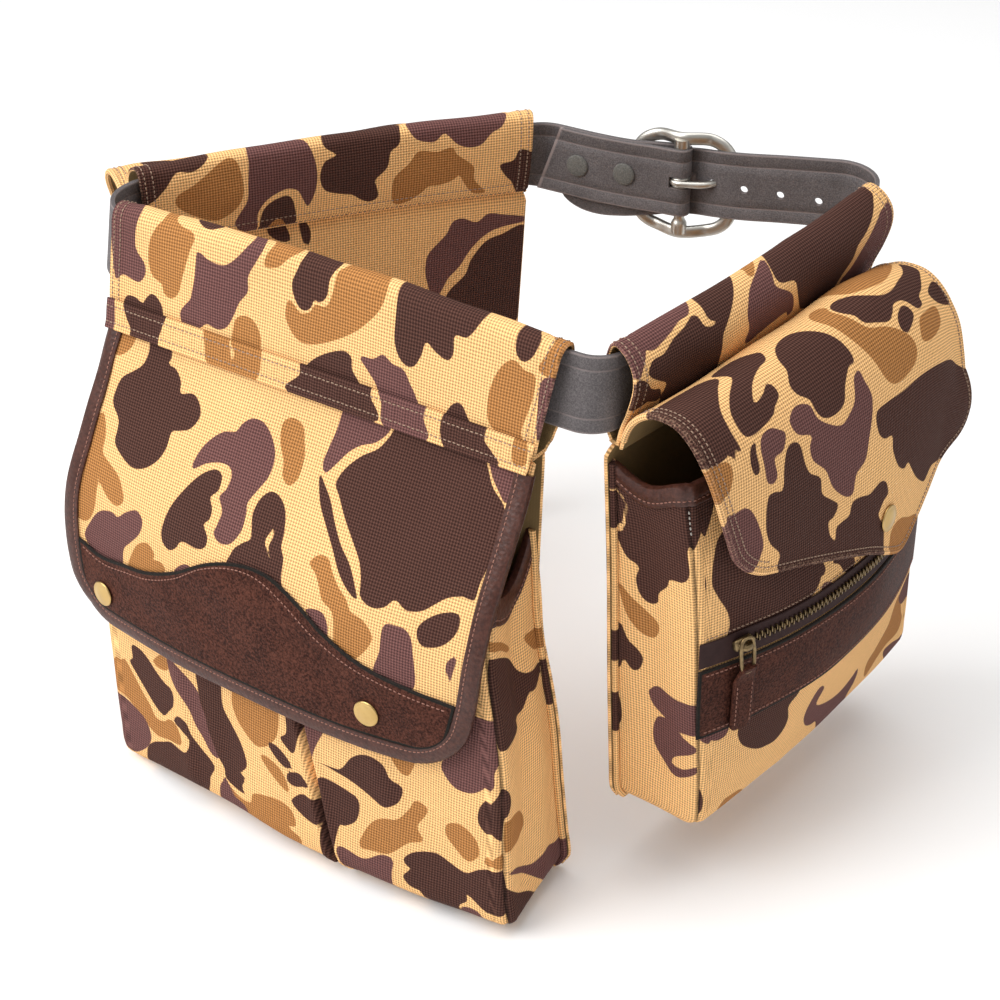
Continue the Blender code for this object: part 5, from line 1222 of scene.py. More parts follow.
GUSSET_U = 1000.0         # the gussets' own charts start here, to the right, and at minus this to the left
BODY_RIDGES = {
    "rear": (
        Ridge(-75.0, 215.0, -60.0, 300.0, 6.0, 2.2), Ridge(-40.0, 225.0, -30.0, 290.0, 9.0, -1.6),
        Ridge(80.0, 225.0, 120.0, 300.0, 14.0, -1.5), Ridge(60.0, 215.0, 75.0, 260.0, 8.0, 1.2),
        Ridge(1022.0, 140.0, 1014.0, 290.0, 7.0, -2.4), Ridge(1038.0, 170.0, 1036.0, 300.0, 6.0, 1.6),
        Ridge(1008.0, 190.0, 1044.0, 240.0, 7.0, 1.2),
    ),
    "side": (
        Ridge(-100.0, 100.0, -60.0, 140.0, 8.0, 1.2), Ridge(-95.0, 128.0, -70.0, 110.0, 5.0, 0.9),
        Ridge(-90.0, 235.0, -30.0, 262.0, 9.0, 1.0), Ridge(60.0, 225.0, 95.0, 250.0, 8.0, 1.0),
        Ridge(-1024.0, 90.0, -1020.0, 240.0, 10.0, -1.6), Ridge(-1036.0, 80.0, -1040.0, 250.0, 5.0, 0.8),
    ),
}
SIDE_COLUMNS = 20
CORNER_COLUMNS = 9
FRONT_COLUMNS = 112
FLOOR_ROWS = 11
FLOOR_V = (330.0, 55.0)   # where the floor's chart starts, and its length
FLOOR_SAG = 1.5
SPLAY_UP = 15.0           # the splay starts this far above the body's first level
SPLAY_FADE = 75.0
PLEAT_FROM = 232.0        # from here down it runs to the right
PLEAT_FADE = 75.0
PLEAT_EARLY = 0.3         # of its depth comes within a quarter of its length
PLEAT_WIDE = 2.0
PLEAT_LIP = 4.5           # its swollen lips, off its middle
LIP_OUT = 1.6
LIP_WIDE = 3.5
PLEAT_SHARE = 0.52        # of the front's columns that lie to the pleat's left
FRONT_EASE = 30.0         # a front's folds fade this near its sides
FRONT_SOFT = 0.5
GUSSET_HOLLOW = 0.6
SEAM_SHADE_REACH = 2.6          # the field "seam" of painted shade falls from 1 to 0 this far from a corner seam
SEAM_RISE = 0.9
SEAM_WIDE = 1.1
TACK_ROWS = slice(6, 14)  # a tack's rows of the body's grid, below the mouth
TACK_OFF = 0.4
MOUTH_DIP_FADE = 30.0
MOUTH_RISE = 24.0         # the rear bag's gussets climb towards the back panel
MOUTH_RISE_FADE = 70.0
Drop = namedtuple("Drop", "x drop")
DROPS = (                 # the rear bag's floor hangs lower by this, across the bag
    Drop(-140.0, 6.5), Drop(-115.0, 5.5), Drop(-85.0, 1.0), Drop(-60.0, -2.5), Drop(-35.0, -3.0),
    Drop(-10.0, -1.0), Drop(10.0, 0.0), Drop(160.0, 0.0),
)
DROP_FROM = 235.0
DROP_FADE = 70.0


def splay_at(down):
    """How far the rear bag's right gusset runs in towards the back panel."""
    return REAR_SPLAY * eased((down - REAR_BODY[0].down + SPLAY_UP) / SPLAY_FADE)


def pleat_at(down):
    """The pleat's place across the rear bag."""
    return PLEAT_TOP + (PLEAT_BOTTOM - PLEAT_TOP) * np.maximum(0.0, (down - PLEAT_FROM) / PLEAT_FADE)


def front_out(bag, x, down):
    """How far the front panel stands out at a place."""
    left, right, _, depth, belly = between(bag.levels, down)
    middle = REAR_BELLY_AT if bag.rear else SIDE_BELLY_AT
    reach = 0.5 * (right - left) + np.abs(middle - 0.5 * (left + right))
    out = depth + belly * bell(x, middle, reach)
    edge = eased((right - x) / FRONT_EASE) * eased((x - left) / FRONT_EASE)
    if bag.rear:
        first, last = bag.levels[0].down, bag.levels[-1].down
        t = np.clip((down - first) / (last - first), 0.0, 1.0)
        off = x - pleat_at(down)
        share = PLEAT_EARLY * np.minimum(1.0, 4 * t) + (1 - PLEAT_EARLY) * t
        out = out - PLEAT_DEPTH * share * np.exp(-(off / PLEAT_WIDE)**2)
        out = out + LIP_OUT * t * np.exp(-((np.abs(off) - PLEAT_LIP) / LIP_WIDE)**2)
    out = out + ridges(BODY_RIDGES[bag.kind], x, down) * edge
    return out + FRONT_SOFT * edge * ripple(x, down, size=80.0, phase=1.0)


def front_columns(bag, low, high, down):
    """Places of the front's columns; the rear bag's lie closer together at its pleat."""
    f = np.linspace(0, 1, FRONT_COLUMNS)[None, 1:-1]
    if not bag.rear:
        return low + (high - low) * f
    at = pleat_at(down)
    s, e = np.minimum(f / PLEAT_SHARE, 1.0), np.clip((f - PLEAT_SHARE) / (1 - PLEAT_SHARE), 0.0, 1.0)
    return np.where(f < PLEAT_SHARE, low + (at - low) * (1 - (1 - s)**1.5), at + (high - at) * e**1.5)


def body_grid(bag):
    """Fine grid round the body, from the left gusset's rear edge to the right one's.

    Gives x, out, down, the panel coordinates and the field of painted shade along the corner seams."""
    first, last = bag.levels[0].down, bag.levels[-1].down
    down = np.linspace(first, last, int((last - first) / STEP) + 1)[:, None]
    left, right, back, _, _ = between(bag.levels, down)
    r = BODY_CORNER
    low, high = left + r, right - r
    left_out, right_out = front_out(bag, low, down), front_out(bag, high, down)
    depth_left, depth_right = left_out - r - back, right_out - r - back
    # From a gusset's rear edge to its corner, and round the corner
    g = np.linspace(0, 1, SIDE_COLUMNS, endpoint=False)[None, :]
    a = np.linspace(0, pi / 2, CORNER_COLUMNS)[None, :]
    g_right, a_right = g[:, ::-1], a[:, ::-1]
    fx = front_columns(bag, low, high, down)
    seam = SEAM_RISE * np.exp(-((a - pi / 4) * r / SEAM_WIDE)**2)
    seam_right = seam[:, ::-1]
    sag = MOUTH_DIP * np.maximum(0.0, 1 - (down - first) / MOUTH_DIP_FADE) * (1 - np.abs(2 * g - 1)**1.6)
    if bag.rear:
        sag = sag - MOUTH_RISE * (1 - g)**1.7 * np.maximum(0.0, 1 - (down - first) / MOUTH_RISE_FADE)
    sag_right = sag[:, ::-1]
    folds = BODY_RIDGES[bag.kind]
    u_left, u_right = -GUSSET_U - (1 - g) * depth_left, GUSSET_U + (1 - g_right) * depth_right
    bulge_left, bulge_right = ridges(folds, u_left, down + sag), ridges(folds, u_right, down + sag_right)
    rim = np.sin(pi * g)
    splay = splay_at(down) if bag.rear else 0.0
    parts_x = [left - (bulge_left - GUSSET_HOLLOW) * rim, low - (r - seam) * np.cos(a), fx,
               high + (r - seam_right) * np.cos(a_right),
               right - splay * (1 - g_right) + (bulge_right - GUSSET_HOLLOW) * rim[:, ::-1]]
    parts_out = [back + g * depth_left, left_out - r + (r - seam) * np.sin(a), front_out(bag, fx, down),
                 right_out - r + (r - seam_right) * np.sin(a_right), back + g_right * depth_right]
    parts_u = [u_left - r * 0.8, np.where(a < pi / 4, -GUSSET_U - r * (pi / 4 - a), left + r * a), fx,
               np.where(a_right < pi / 4, GUSSET_U + r * (pi / 4 - a_right), right - r * a_right),
               u_right + r * 0.8]
    # The field of painted shade falls off away from each corner seam
    near = np.maximum(0.0, 1.0 - np.abs(a - pi / 4) * r / SEAM_SHADE_REACH)
    parts_seam_shade = [0.0 * g, near, 0.0 * fx, near[:, ::-1], 0.0 * g]
    one = np.ones_like(down)
    x, out, u, seam_shade = (np.concatenate([part * one for part in parts], 1)
                        for parts in (parts_x, parts_out, parts_u, parts_seam_shade))
    down = np.repeat(down, x.shape[1], 1)
    down[:, :SIDE_COLUMNS] += sag
    down[:, -SIDE_COLUMNS:] += sag_right
    if bag.rear:
        drop = between(DROPS, x)[0] * eased((down - DROP_FROM) / DROP_FADE)
        drop[:, :SIDE_COLUMNS] *= g
        down = down + drop
    return x, out, down, np.stack([u, down], -1), seam_shade


def make_body(bag, stitches, tacks):
    x, out, down, uv, seam = body_grid(bag)
    # The floor runs from the bottom edge to the straight rear edge.
    fraction = np.linspace(0, 1, x.shape[1])
    rear_x, rear_out = (rows[-1, 0] + (rows[-1, -1] - rows[-1, 0]) * fraction for rows in (x, out))
    floor = np.linspace(0, 1, FLOOR_ROWS + 1)[1:, None]
    level = down[-1] + (bag.levels[-1].down - down[-1]) * floor
    x = np.concatenate([x, x[-1] + (rear_x - x[-1]) * floor])
    out = np.concatenate([out, out[-1] + (rear_out - out[-1]) * floor])
    down = np.concatenate([down, level + FLOOR_SAG * np.sin(pi * floor * 0.5)])
    start, tall = FLOOR_V
    floor_uv = np.stack(np.broadcast_arrays(rear_x, start + floor * tall), -1)
    uv = np.concatenate([uv, floor_uv])
    seam = np.concatenate([seam, np.zeros(floor_uv.shape[:2])])
    grid = bag.world(x, out, down)
    # The field "seam" paints shade along the corner seams
    obj = make_shell(bag.side + "_body", bag, grid, CLOTH, LINED, uv, (bag.side + "_body", None),
                     fields={"seam": seam})
    finish_piece(obj, "canvas", bag.side + "_pouch_body")
    make_mouth(bag, grid, stitches)
    make_rolled_seam(bag, grid, uv)
    if not bag.rear:
        normal = grid_normals(grid, bag.turn)
        middle = SIDE_COLUMNS + CORNER_COLUMNS // 2
        for c in (middle, -1 - middle):
            spots, off = grid[TACK_ROWS, c], normal[TACK_ROWS, c]
            tacks.row(spots + off * TACK_OFF * MM, off, TACK_THREAD)


ROLL_RADIUS = 1.9
ROLL_SIDES = 12
ROLL_CENTRE = (1.2, 0.8)  # from the body's rear edge, away from the body and off the back panel


def make_rolled_seam(bag, grid, uv):
    """Rolled seam of the body and its back panel, down one side, along the floor and up the other."""
    path, spots = (np.concatenate([rows[:-FLOOR_ROWS, 0], rows[-1, 1:-1], rows[:-FLOOR_ROWS, -1][::-1]])
                   for rows in (grid, uv))
    off = bag.axes @ np.array([0.0, -1.0, 0.0])
    run = unit(blurred(unit(np.gradient(path, axis=0))))
    away = unit(np.cross(run, off)) * bag.turn
    centre = path + (away * ROLL_CENTRE[0] + off * ROLL_CENTRE[1]) * MM
    cosines, sines = circle(ROLL_SIDES)
    rings = centre[:, None] + (away[:, None] * cosines + off * sines) * ROLL_RADIUS * MM
    fields = paint(bag.side + "_body", *spots.T)
    fields = {label: np.repeat(values, ROLL_SIDES) for label, values in fields.items()}
    finish_piece(make_sweep(bag.side + "_rolled_seam", rings, [FINISH["canvas"]], fields=fields), "canvas")


Binding = namedtuple("Binding", "gap height reach groove")
MOUTH_BINDING = Binding(0.35, 1.0, MOUTH_LIP, 7.0)
FLAP_BINDING = Binding(0.3, 1.2, BINDING_REACH, 6.2)
THREAD_UP = 0.05          # a binding's stitches lie this far above it
MOUTH_WIDER = 3.0         # the rear bag's mouth binding is this much wider


def channel(wall, binding):
    """Rounded profile of a leather binding over an edge: (reach in from the edge, height off the face)."""
    gap, height, reach, groove = binding
    top, bottom = height + gap, -wall - height - gap
    middle = -wall / 2
    return np.array((
        (reach, gap * 0.5), (reach, top * 0.75), (reach - 0.8, top), (groove + 1.2, top),
        (groove, top - 0.35), (groove - 1.2, top + 0.1), (1.2, top), (-0.9, top * 0.6), (-1.7, middle),
        (-0.9, bottom * 0.85), (1.2, bottom), (reach - 0.8, bottom), (reach, bottom * 0.85),
        (reach, -wall - gap * 0.5), (2.0, -wall - gap * 0.5), (0.3, middle), (2.0, gap * 0.5),
    ))


def make_mouth(bag, grid, stitches):
    """Leather over the body's top edge."""
    here, under = grid[0].copy(), grid[3]
    level = blurred(here, 8)[:, 2]
    here[:, 2] = np.maximum(here[:, 2], level) if bag.rear else level
    slope = unit(blurred(unit(under - here)))
    run = unit(blurred(unit(np.gradient(here, axis=0))))
    normal = unit(np.cross(slope, run)) * bag.turn
    gap, height, reach, groove = MOUTH_BINDING
    if bag.rear:
        reach, groove = reach + MOUTH_WIDER, groove + MOUTH_WIDER
    profile = channel(CLOTH, Binding(gap, height, reach, groove))
    sections = here[:, None] + (slope[:, None] * profile[:, :1] + normal[:, None] * profile[:, 1:]) * MM
    obj = make_sweep(bag.side + "_mouth", sections, [FINISH["piping"]])
    finish_piece(obj, "leather", bag.side + "_mouth_binding")
    stitches.row(here + (slope * groove + normal * (height + THREAD_UP)) * MM, normal)


# Flaps

FLAP_SOFT = 0.5           # unevenness; folds and it come in from the seam over the ease
FLAP_EASE = 25.0
FLAP_RIDGES = {
    "rear": (
        Ridge(-130.0, 10.0, -100.0, 60.0, 12.0, 1.2), Ridge(110.0, 5.0, 85.0, 60.0, 12.0, 1.0),
        Ridge(-20.0, 8.0, 10.0, 50.0, 16.0, -0.8), Ridge(60.0, 90.0, 110.0, 150.0, 18.0, 1.2),
    ),
    "side": (
        Ridge(-105.0, 60.0, -60.0, 120.0, 14.0, 1.5), Ridge(-40.0, 45.0, -10.0, 90.0, 16.0, -1.2),
        Ridge(50.0, 50.0, 90.0, 110.0, 18.0, 1.4), Ridge(100.0, 70.0, 112.0, 120.0, 9.0, -1.0),
    ),
}


def rounding(radius, edge):
    """How far an arc of this radius runs in, at a distance from the corner."""
    return radius - np.sqrt(np.maximum(0.0, radius**2 - np.maximum(0.0, radius - edge)**2))


BISECTIONS = 26
DEEPEST = 240.0           # search for a hanging level ends this far along the cloth
SIDE_CREST = 60.0         # and starts here on a shell pouch, whose flap climbs first


class Flap:
    """Points of a flap by x and distance along the cloth."""

    def __init__(self, bag):
        self.bag = bag
        profile = REAR_FLAP if bag.rear else SIDE_FLAP
        self.outline = REAR_OUTLINE if bag.rear else SIDE_OUTLINE
        self.hem = REAR_HEM if bag.rear else SIDE_HEM
        self.corner = REAR_HEM_CORNER if bag.rear else SIDE_HEM_CORNER
        self.belly = REAR_FLAP_BELLY if bag.rear else SIDE_FLAP_BELLY
        self.rows = np.array(profile)
        self.at = travelled(self.rows[:, :2])

    def place(self, x, along):
        """(x, out, down) of the smooth flap, before its folds."""
        x, along = np.broadcast_arrays(np.asarray(x, float), along)
        out, down, bulge = (smooth(self.at, values, along) for values in self.rows.T)
        out = out + bulge * bell(x, *self.belly)
        if not self.bag.rear:
            fade = np.minimum(1.0, along / DROOP_FADE) * (1 - RIDGE_HOLD * bell(along, *RIDGE_AT))
            droop = np.maximum(0.0, (x - DROOP_FROM) / DROOP_REACH)
            down = down + SIDE_DROOP * droop**2 * fade * np.maximum(0.0, 1 - along / DROOP_END)
            out = out + SIDE_BOW * bell(x, 0.0, SIDE_TUNNEL_HALF) * np.maximum(0.0, 1 - along / BOW_END)
            out = out + FLARE * eased((x - FLARE_FROM) / FLARE_REACH) * bell(along, *FLARE_AT)
        return x, out, down

    def plain(self, x, along):
        return self.bag.world(*self.place(x, along))

    def normal(self, x, along):
        across = self.plain(np.add(x, 0.5), along) - self.plain(np.subtract(x, 0.5), along)
        down = self.plain(x, np.add(along, 0.5)) - self.plain(x, np.subtract(along, 0.5))
        return unit(np.cross(down, across) * self.bag.turn)

    def lift(self, x, along):
        """Folds and unevenness, in millimetres off the smooth flap."""
        folds = ridges(FLAP_RIDGES[self.bag.kind], x, along)
        return (folds + FLAP_SOFT * ripple(x, along, size=85.0, phase=0.6)) * eased(along / FLAP_EASE)

    def point(self, x, along, height=0.0):
        off = self.lift(x, along) + height
        return self.plain(x, along) + self.normal(x, along) * np.asarray(off)[..., None] * MM

    def sew(self, stitches, path, height):
        """A stitch row through flat (x, along) places."""
        x, along = path.T
        stitches.row(self.point(x, along, height), self.normal(x, along))

    def swept(self, path, profile):
        """Sections of a profile along flat places of the edge, and their own flat places."""
        turn = inwards(path)
        x, along = (path[:, None, k] + turn[:, None, k] * profile[:, 0] for k in (0, 1))
        return self.point(x, along, np.repeat(profile[None, :, 1], len(path), 0)), x, along

    def edges(self, along):
        return between(self.outline, along)

    def hem_line(self, across):
        return between(self.hem, across)[0]

    def hem_at(self, across):
        """The hem with its rounded corners."""
        along = self.hem_line(across)
        left, right = self.edges(along)
        return along - rounding(self.corner, np.minimum(across, 1 - across) * (right - left))

    def across(self, across, along):
        left, right = self.edges(along)
        return left + (right - left) * across

    def along_at_down(self, x, down):
        """Distance along the cloth at which a hanging level is reached, below the crest."""
        x, down = np.broadcast_arrays(np.asarray(x, float), down)
        low = np.full(x.shape, 0.0 if self.bag.rear else SIDE_CREST)
        high = np.full(x.shape, DEEPEST)
        for _ in range(BISECTIONS):
            middle = 0.5 * (low + high)
            above = self.place(x, middle)[2] < down
            low, high = np.where(above, middle, low), np.where(above, high, middle)
        return 0.5 * (low + high)


EDGE_COLUMNS = 14
EDGE_SHARE = 0.11


def flap_columns(count):
    """Fractions across a flap, closer together at both ends."""
    t = np.linspace(0, 1, EDGE_COLUMNS + 1)[:-1]
    edge = EDGE_SHARE * (1 - np.cos(t * pi / 2))
    return np.r_[edge, np.linspace(EDGE_SHARE, 1 - EDGE_SHARE, count), (1 - edge)[::-1]]


FLAP_WIDE = 190.0
FLAP_LONG = 180.0


def make_flap(bag, flap):
    across = flap_columns(int(FLAP_WIDE / FLAP_STEP))
    along = np.linspace(0, 1, int(FLAP_LONG / FLAP_STEP))[:, None] * flap.hem_at(across)
    x = flap.across(across, along)
    uv = np.stack([x, along], -1)
    obj = make_shell(bag.side + "_flap_cloth", bag, flap.point(x, along), CLOTH, LINED, uv,
                     (bag.side + "_flap", None))
    finish_piece(obj, "canvas", bag.side + "_flap")


BORDER_START = 0.04       # the border's trim starts this far down the flap's sides
SIDE_PLACES = 75
HEM_PLACES = 100


def flap_border(flap, spacing):
    """Flat (x, along) places down the left edge, round the hem and up the right edge."""
    side = np.linspace(BORDER_START, 1.0, SIDE_PLACES)
    across = flap_columns(HEM_PLACES)[1:-1]
    across = np.concatenate([0.0 * side, across, 0.0 * side + 1.0])
    share = np.concatenate([side, np.ones(len(across) - 2 * len(side)), side[::-1]])
    along = share * flap.hem_at(across)
    path = np.stack([flap.across(across, along), along], -1)
    keep = np.r_[True, np.linalg.norm(np.diff(path, axis=0), axis=-1) > 0.05]
    return resample(path[keep], spacing)


def inwards(path):
    run = unit(np.gradient(path, axis=0))
    return np.stack([run[:, 1], -run[:, 0]], -1)


def resample(path, spacing):
    at = travelled(path)
    fine = np.linspace(0, at[-1], max(2, int(at[-1] / spacing)))
    return np.stack([np.interp(fine, at, values) for values in path.T], -1)


# Turned edge of a shell pouch's flap, as (reach in from the edge, height off the face)
TURNED_EDGE = np.array((
    (1.9, 0.1), (1.5, 0.5), (0.9, 0.7), (0.0, 0.6), (-0.9, 0.0), (-1.25, -1.0), (-0.9, -2.0), (0.0, -2.6),
    (0.9, -2.7), (1.5, -2.5), (1.9, -2.1), (1.2, -2.1), (0.3, -1.0), (1.2, 0.1),
))
EDGE_ROWS = ((3.4, 1.0), (6.4, 0.30))   # stitch rows' distances from the edge, and shares of the way round


def make_turned_edge(bag, flap, stitches):
    path = flap_border(flap, 2.0)
    sections, x, along = flap.swept(path, TURNED_EDGE)
    obj = make_sweep(bag.side + "_turned_edge", sections, [FINISH["canvas_edge"]],
                     fields=paint(bag.side + "_flap", x.ravel(), along.ravel()))
    finish_piece(obj, "canvas")
    turn = inwards(path)
    for inset, share in EDGE_ROWS:
        flap.sew(stitches, (path + turn * inset)[:int(share * len(path))], 0.1)


def make_flap_binding(flap, stitches):
    path = flap_border(flap, 2.2)
    sections = flap.swept(path, channel(CLOTH, FLAP_BINDING))[0]
    finish_piece(make_sweep("rear_binding", sections, [FINISH["piping"]]), "leather", "rear_flap_binding")
    flap.sew(stitches, path + inwards(path) * FLAP_BINDING.groove, FLAP_BINDING.height + THREAD_UP)


YOKE_COLUMNS = 120
YOKE_ROWS = 36
YOKE_OFF = 0.25
YOKE_SEAM = 3.6           # its stitch row, below its top edge


def make_yoke(bag, flap, stitches):
    """Leather yoke between its waved top edge and the binding."""
    inset = BINDING_REACH + YOKE_INSET
    across = flap_columns(YOKE_COLUMNS)
    hem = flap.hem_line(across) - inset
    left, right = flap.edges(hem)
    hem = hem - rounding(flap.corner - inset, np.minimum(across, 1 - across) * (right - left - 2 * inset))
    left, right = flap.edges(hem)
    x_here = left + inset + (right - left - 2 * inset) * across
    top = flap.along_at_down(x_here, between(YOKE_TOP, x_here)[0])
    t = np.linspace(0, 1, YOKE_ROWS)[:, None]
    along = top + (hem - top) * t
    low, high = flap.edges(along)
    x = low + inset + (high - low - 2 * inset) * across
    border = np.minimum(t * (hem - top), (1 - t) * (hem - top))
    edge = np.minimum(border, np.minimum(x - low - inset, high - inset - x))
    obj = make_shell("rear_yoke", bag, flap.point(x, along, YOKE_OFF + BAND_LEATHER), BAND_LEATHER, EDGED,
                     np.stack([x, along], -1), fields={"edge": edge})
    finish_piece(obj, "leather", "rear_flap_yoke")
    line = np.stack([x_here, top + YOKE_SEAM], -1)[2:-2]
    flap.sew(stitches, line, YOKE_OFF + THREAD_UP + BAND_LEATHER)


SNAP = (
    (0.0, 0.0), (6.4, 0.0), (7.1, 0.25), (7.35, 0.7), (7.2, 1.15), (6.8, 1.4), (6.3, 1.45), (6.0, 1.38),
    (5.2, 1.6), (3.8, 1.95), (2.0, 2.2), (0.0, 2.3),
)
SNAP_SIDES = 48


def make_snap(name, node, flap, x, down, lift):
    along = float(flap.along_at_down(x, down))
    spot, normal = flap.point(x, along, lift), flap.normal(x, along)
    obj = make_turned(name, SNAP, SNAP_SIDES, facing(spot, normal), [FINISH["brass"]])
    finish_piece(obj, "brass", node)


SEAM_BAND_ROWS = 10
SEAM_BAND_SEAMS = (2, 7)
SEAM_BAND_V = 60.0
PUCKER = 6.8              # from one pucker of the turned band to the next


def make_stitch_band(bag, stitches):
    """Turned band over the flap's seam, at the foot of the rear tunnel."""
    points = np.array(SEAM_BAND)
    at = travelled(points)
    fine = np.linspace(0, at[-1], SEAM_BAND_ROWS)[:, None]
    out, down = (smooth(at, values, fine) for values in points.T)
    s = np.linspace(-1, 1, int(2 * REAR_TUNNEL_HALF / STEP) + 1)
    x = rear_tunnel_x(s, down)
    swell = 0.7 + 0.25 * np.sin(x / PUCKER * 2 * pi)
    out = out + GAP + SEAM_BAND_WALL + swell * np.sin(pi * fine / at[-1])
    grid = bag.world(x, out, down)
    uv = np.stack([x, SEAM_BAND_V + fine + 0.0 * x], -1)
    obj = make_shell("rear_band", bag, grid, SEAM_BAND_WALL, CANVAS, uv, ("rear_band", "rear_band"))
    finish_piece(obj, "canvas", "rear_stitch_band")
    normal = grid_normals(grid, bag.turn)
    for row in SEAM_BAND_SEAMS:
        stitches.row(grid[row], normal[row])


# Front of a shell pouch

def front_place(bag, x, down, height):
    """World points on a shell pouch's front panel, lifted off it, and their normals."""
    def plain(px, pd):
        return bag.world(px, front_out(bag, px, pd), pd)

    x, down = np.broadcast_arrays(np.asarray(x, float), down)
    across = plain(x + 0.5, down) - plain(x - 0.5, down)
    downwards = plain(x, down + 0.5) - plain(x, down - 0.5)
    normal = unit(np.cross(downwards, across) * bag.turn)
    return plain(x, down) + normal * np.asarray(height)[..., None] * MM, normal


def front_frame(bag, x, down, height, reach=0.5):
    """Places on the front panel, with the directions along it, up it and off it."""
    spot, normal = front_place(bag, x, down, height)
    ahead = front_place(bag, x + reach, down, height)[0]
    run = unit(ahead - spot)
    return spot, run, unit(np.cross(normal, run)), normal


def front_strip(bag, name, span, top, bottom, height, wall, materials, edged=False):
    left, right = span
    x = np.linspace(left, right, int((right - left) / STEP))[None, :]
    down = np.linspace(top, bottom, max(4, int((bottom - top) / STEP)))[:, None]
    x, down = np.broadcast_arrays(x, down)
    grid = front_place(bag, x, down, height + wall)[0]
    edge = np.minimum(np.minimum(x - left, right - x), np.minimum(down - top, bottom - down))
    return make_shell(name, bag, grid, wall, materials, np.stack([x, down], -1),
                      fields={"edge": edge} if edged else None)


TOOTH_PITCH = 1.55
TOOTH = (0.95, 3.3, 1.4)  # along the zip, across it, off the tape
TOOTH_SHIFT = 0.85        # a side's teeth sit this far off the zip's middle
TOOTH_BASE = 1.6
TOOTH_LEVELS = ((0.0, 1.0), (0.7, 1.0), (1.0, 0.72))   # share of the height, and of the plan
TOOTH_CORNERS = ((-1, -1), (1, -1), (1, 1), (-1, 1))


def make_teeth(bag):
    """Closed zip teeth, from each side in turn."""
    xs = np.arange(ZIP_LEFT, ZIP_RIGHT, TOOTH_PITCH)
    shift = np.where(np.arange(len(xs)) % 2 == 0, -TOOTH_SHIFT, TOOTH_SHIFT)
    spot, run, up, normal = front_frame(bag, xs, ZIP_DOWN + shift, TOOTH_BASE)
    along, across, tall = TOOTH
    corner = np.array([(sx * along / 2 * k, sy * across / 2 * k, tall * h)
                       for h, k in TOOTH_LEVELS for sx, sy in TOOTH_CORNERS])
    points = spot[:, None] + (run[:, None] * corner[:, :1] + up[:, None] * corner[:, 1:2]
                              + normal[:, None] * corner[:, 2:]) * MM
    tooth = [(0, 3, 2, 1), (8, 9, 10, 11)]
    for k in range(4):
        j = (k + 1) % 4
        tooth += [(k, j, j + 4, k + 4), (k + 4, j + 4, j + 8, k + 8)]
    faces = [tuple(len(corner) * i + v for v in face) for i in range(len(xs)) for face in tooth]
    obj = mesh_object(bag.side + "_teeth", points.reshape(-1, 3), faces, [FINISH["old_brass"]])
    finish_piece(obj, "brass", bag.side + "_zip_teeth")


SLIDER_OFF = 5.4
SLIDER_UP = 1.2
Slice = namedtuple("Slice", "along wide tall")
SLIDER = (                # it narrows away from the teeth
    Slice(-5.2, 2.4, 2.2), Slice(-4.4, 3.3, 3.4), Slice(-2.0, 3.9, 3.9), Slice(2.0, 4.3, 3.9),
    Slice(4.2, 4.4, 3.4), Slice(4.9, 3.6, 2.4),
)
BRIDGE = ((-3.6, 3.4), (-3.2, 5.4), (-1.4, 6.6), (1.0, 6.6), (2.8, 5.4), (3.2, 3.4))
BRIDGE_RADIUS = 1.0
BRIDGE_FLAT = 1.7
LOOP_RADIUS = 1.05
LOOP_WIDE = 4.0
LOOP_TOP = -5.0
LOOP_LOW = 14.0
LOOP_OFF = 5.2
LOOP_SLOPE = 0.06
TAB_WIDE = 13.0
TAB_TALL = 37.0
TAB_LAP = 3.0             # it starts this far above the loop's lower bar
TAB_THICK = 2.6
TAB_OFF = 3.4
TAB_WAIST = 0.62          # of its width at the loop
TAB_SWELL = 0.8           # it is this much thicker there
TAB_LIFT = 2.4            # and stands this much further off
TAB_SEAM = 4.6            # a stitch row's distance from the tab's middle
TAB_SEAM_TOP = 9.0        # below the loop's lower bar
TAB_SEAM_FOOT = 3.0       # above the tab's end
TAB_SEAM_UP = 0.02
TAB_THREAD = Thread(2.6, 1.9, 0.3)


def full_turn(count):
    return ((cos(t), sin(t)) for t in np.linspace(0, 2 * pi, count + 1)[:-1])


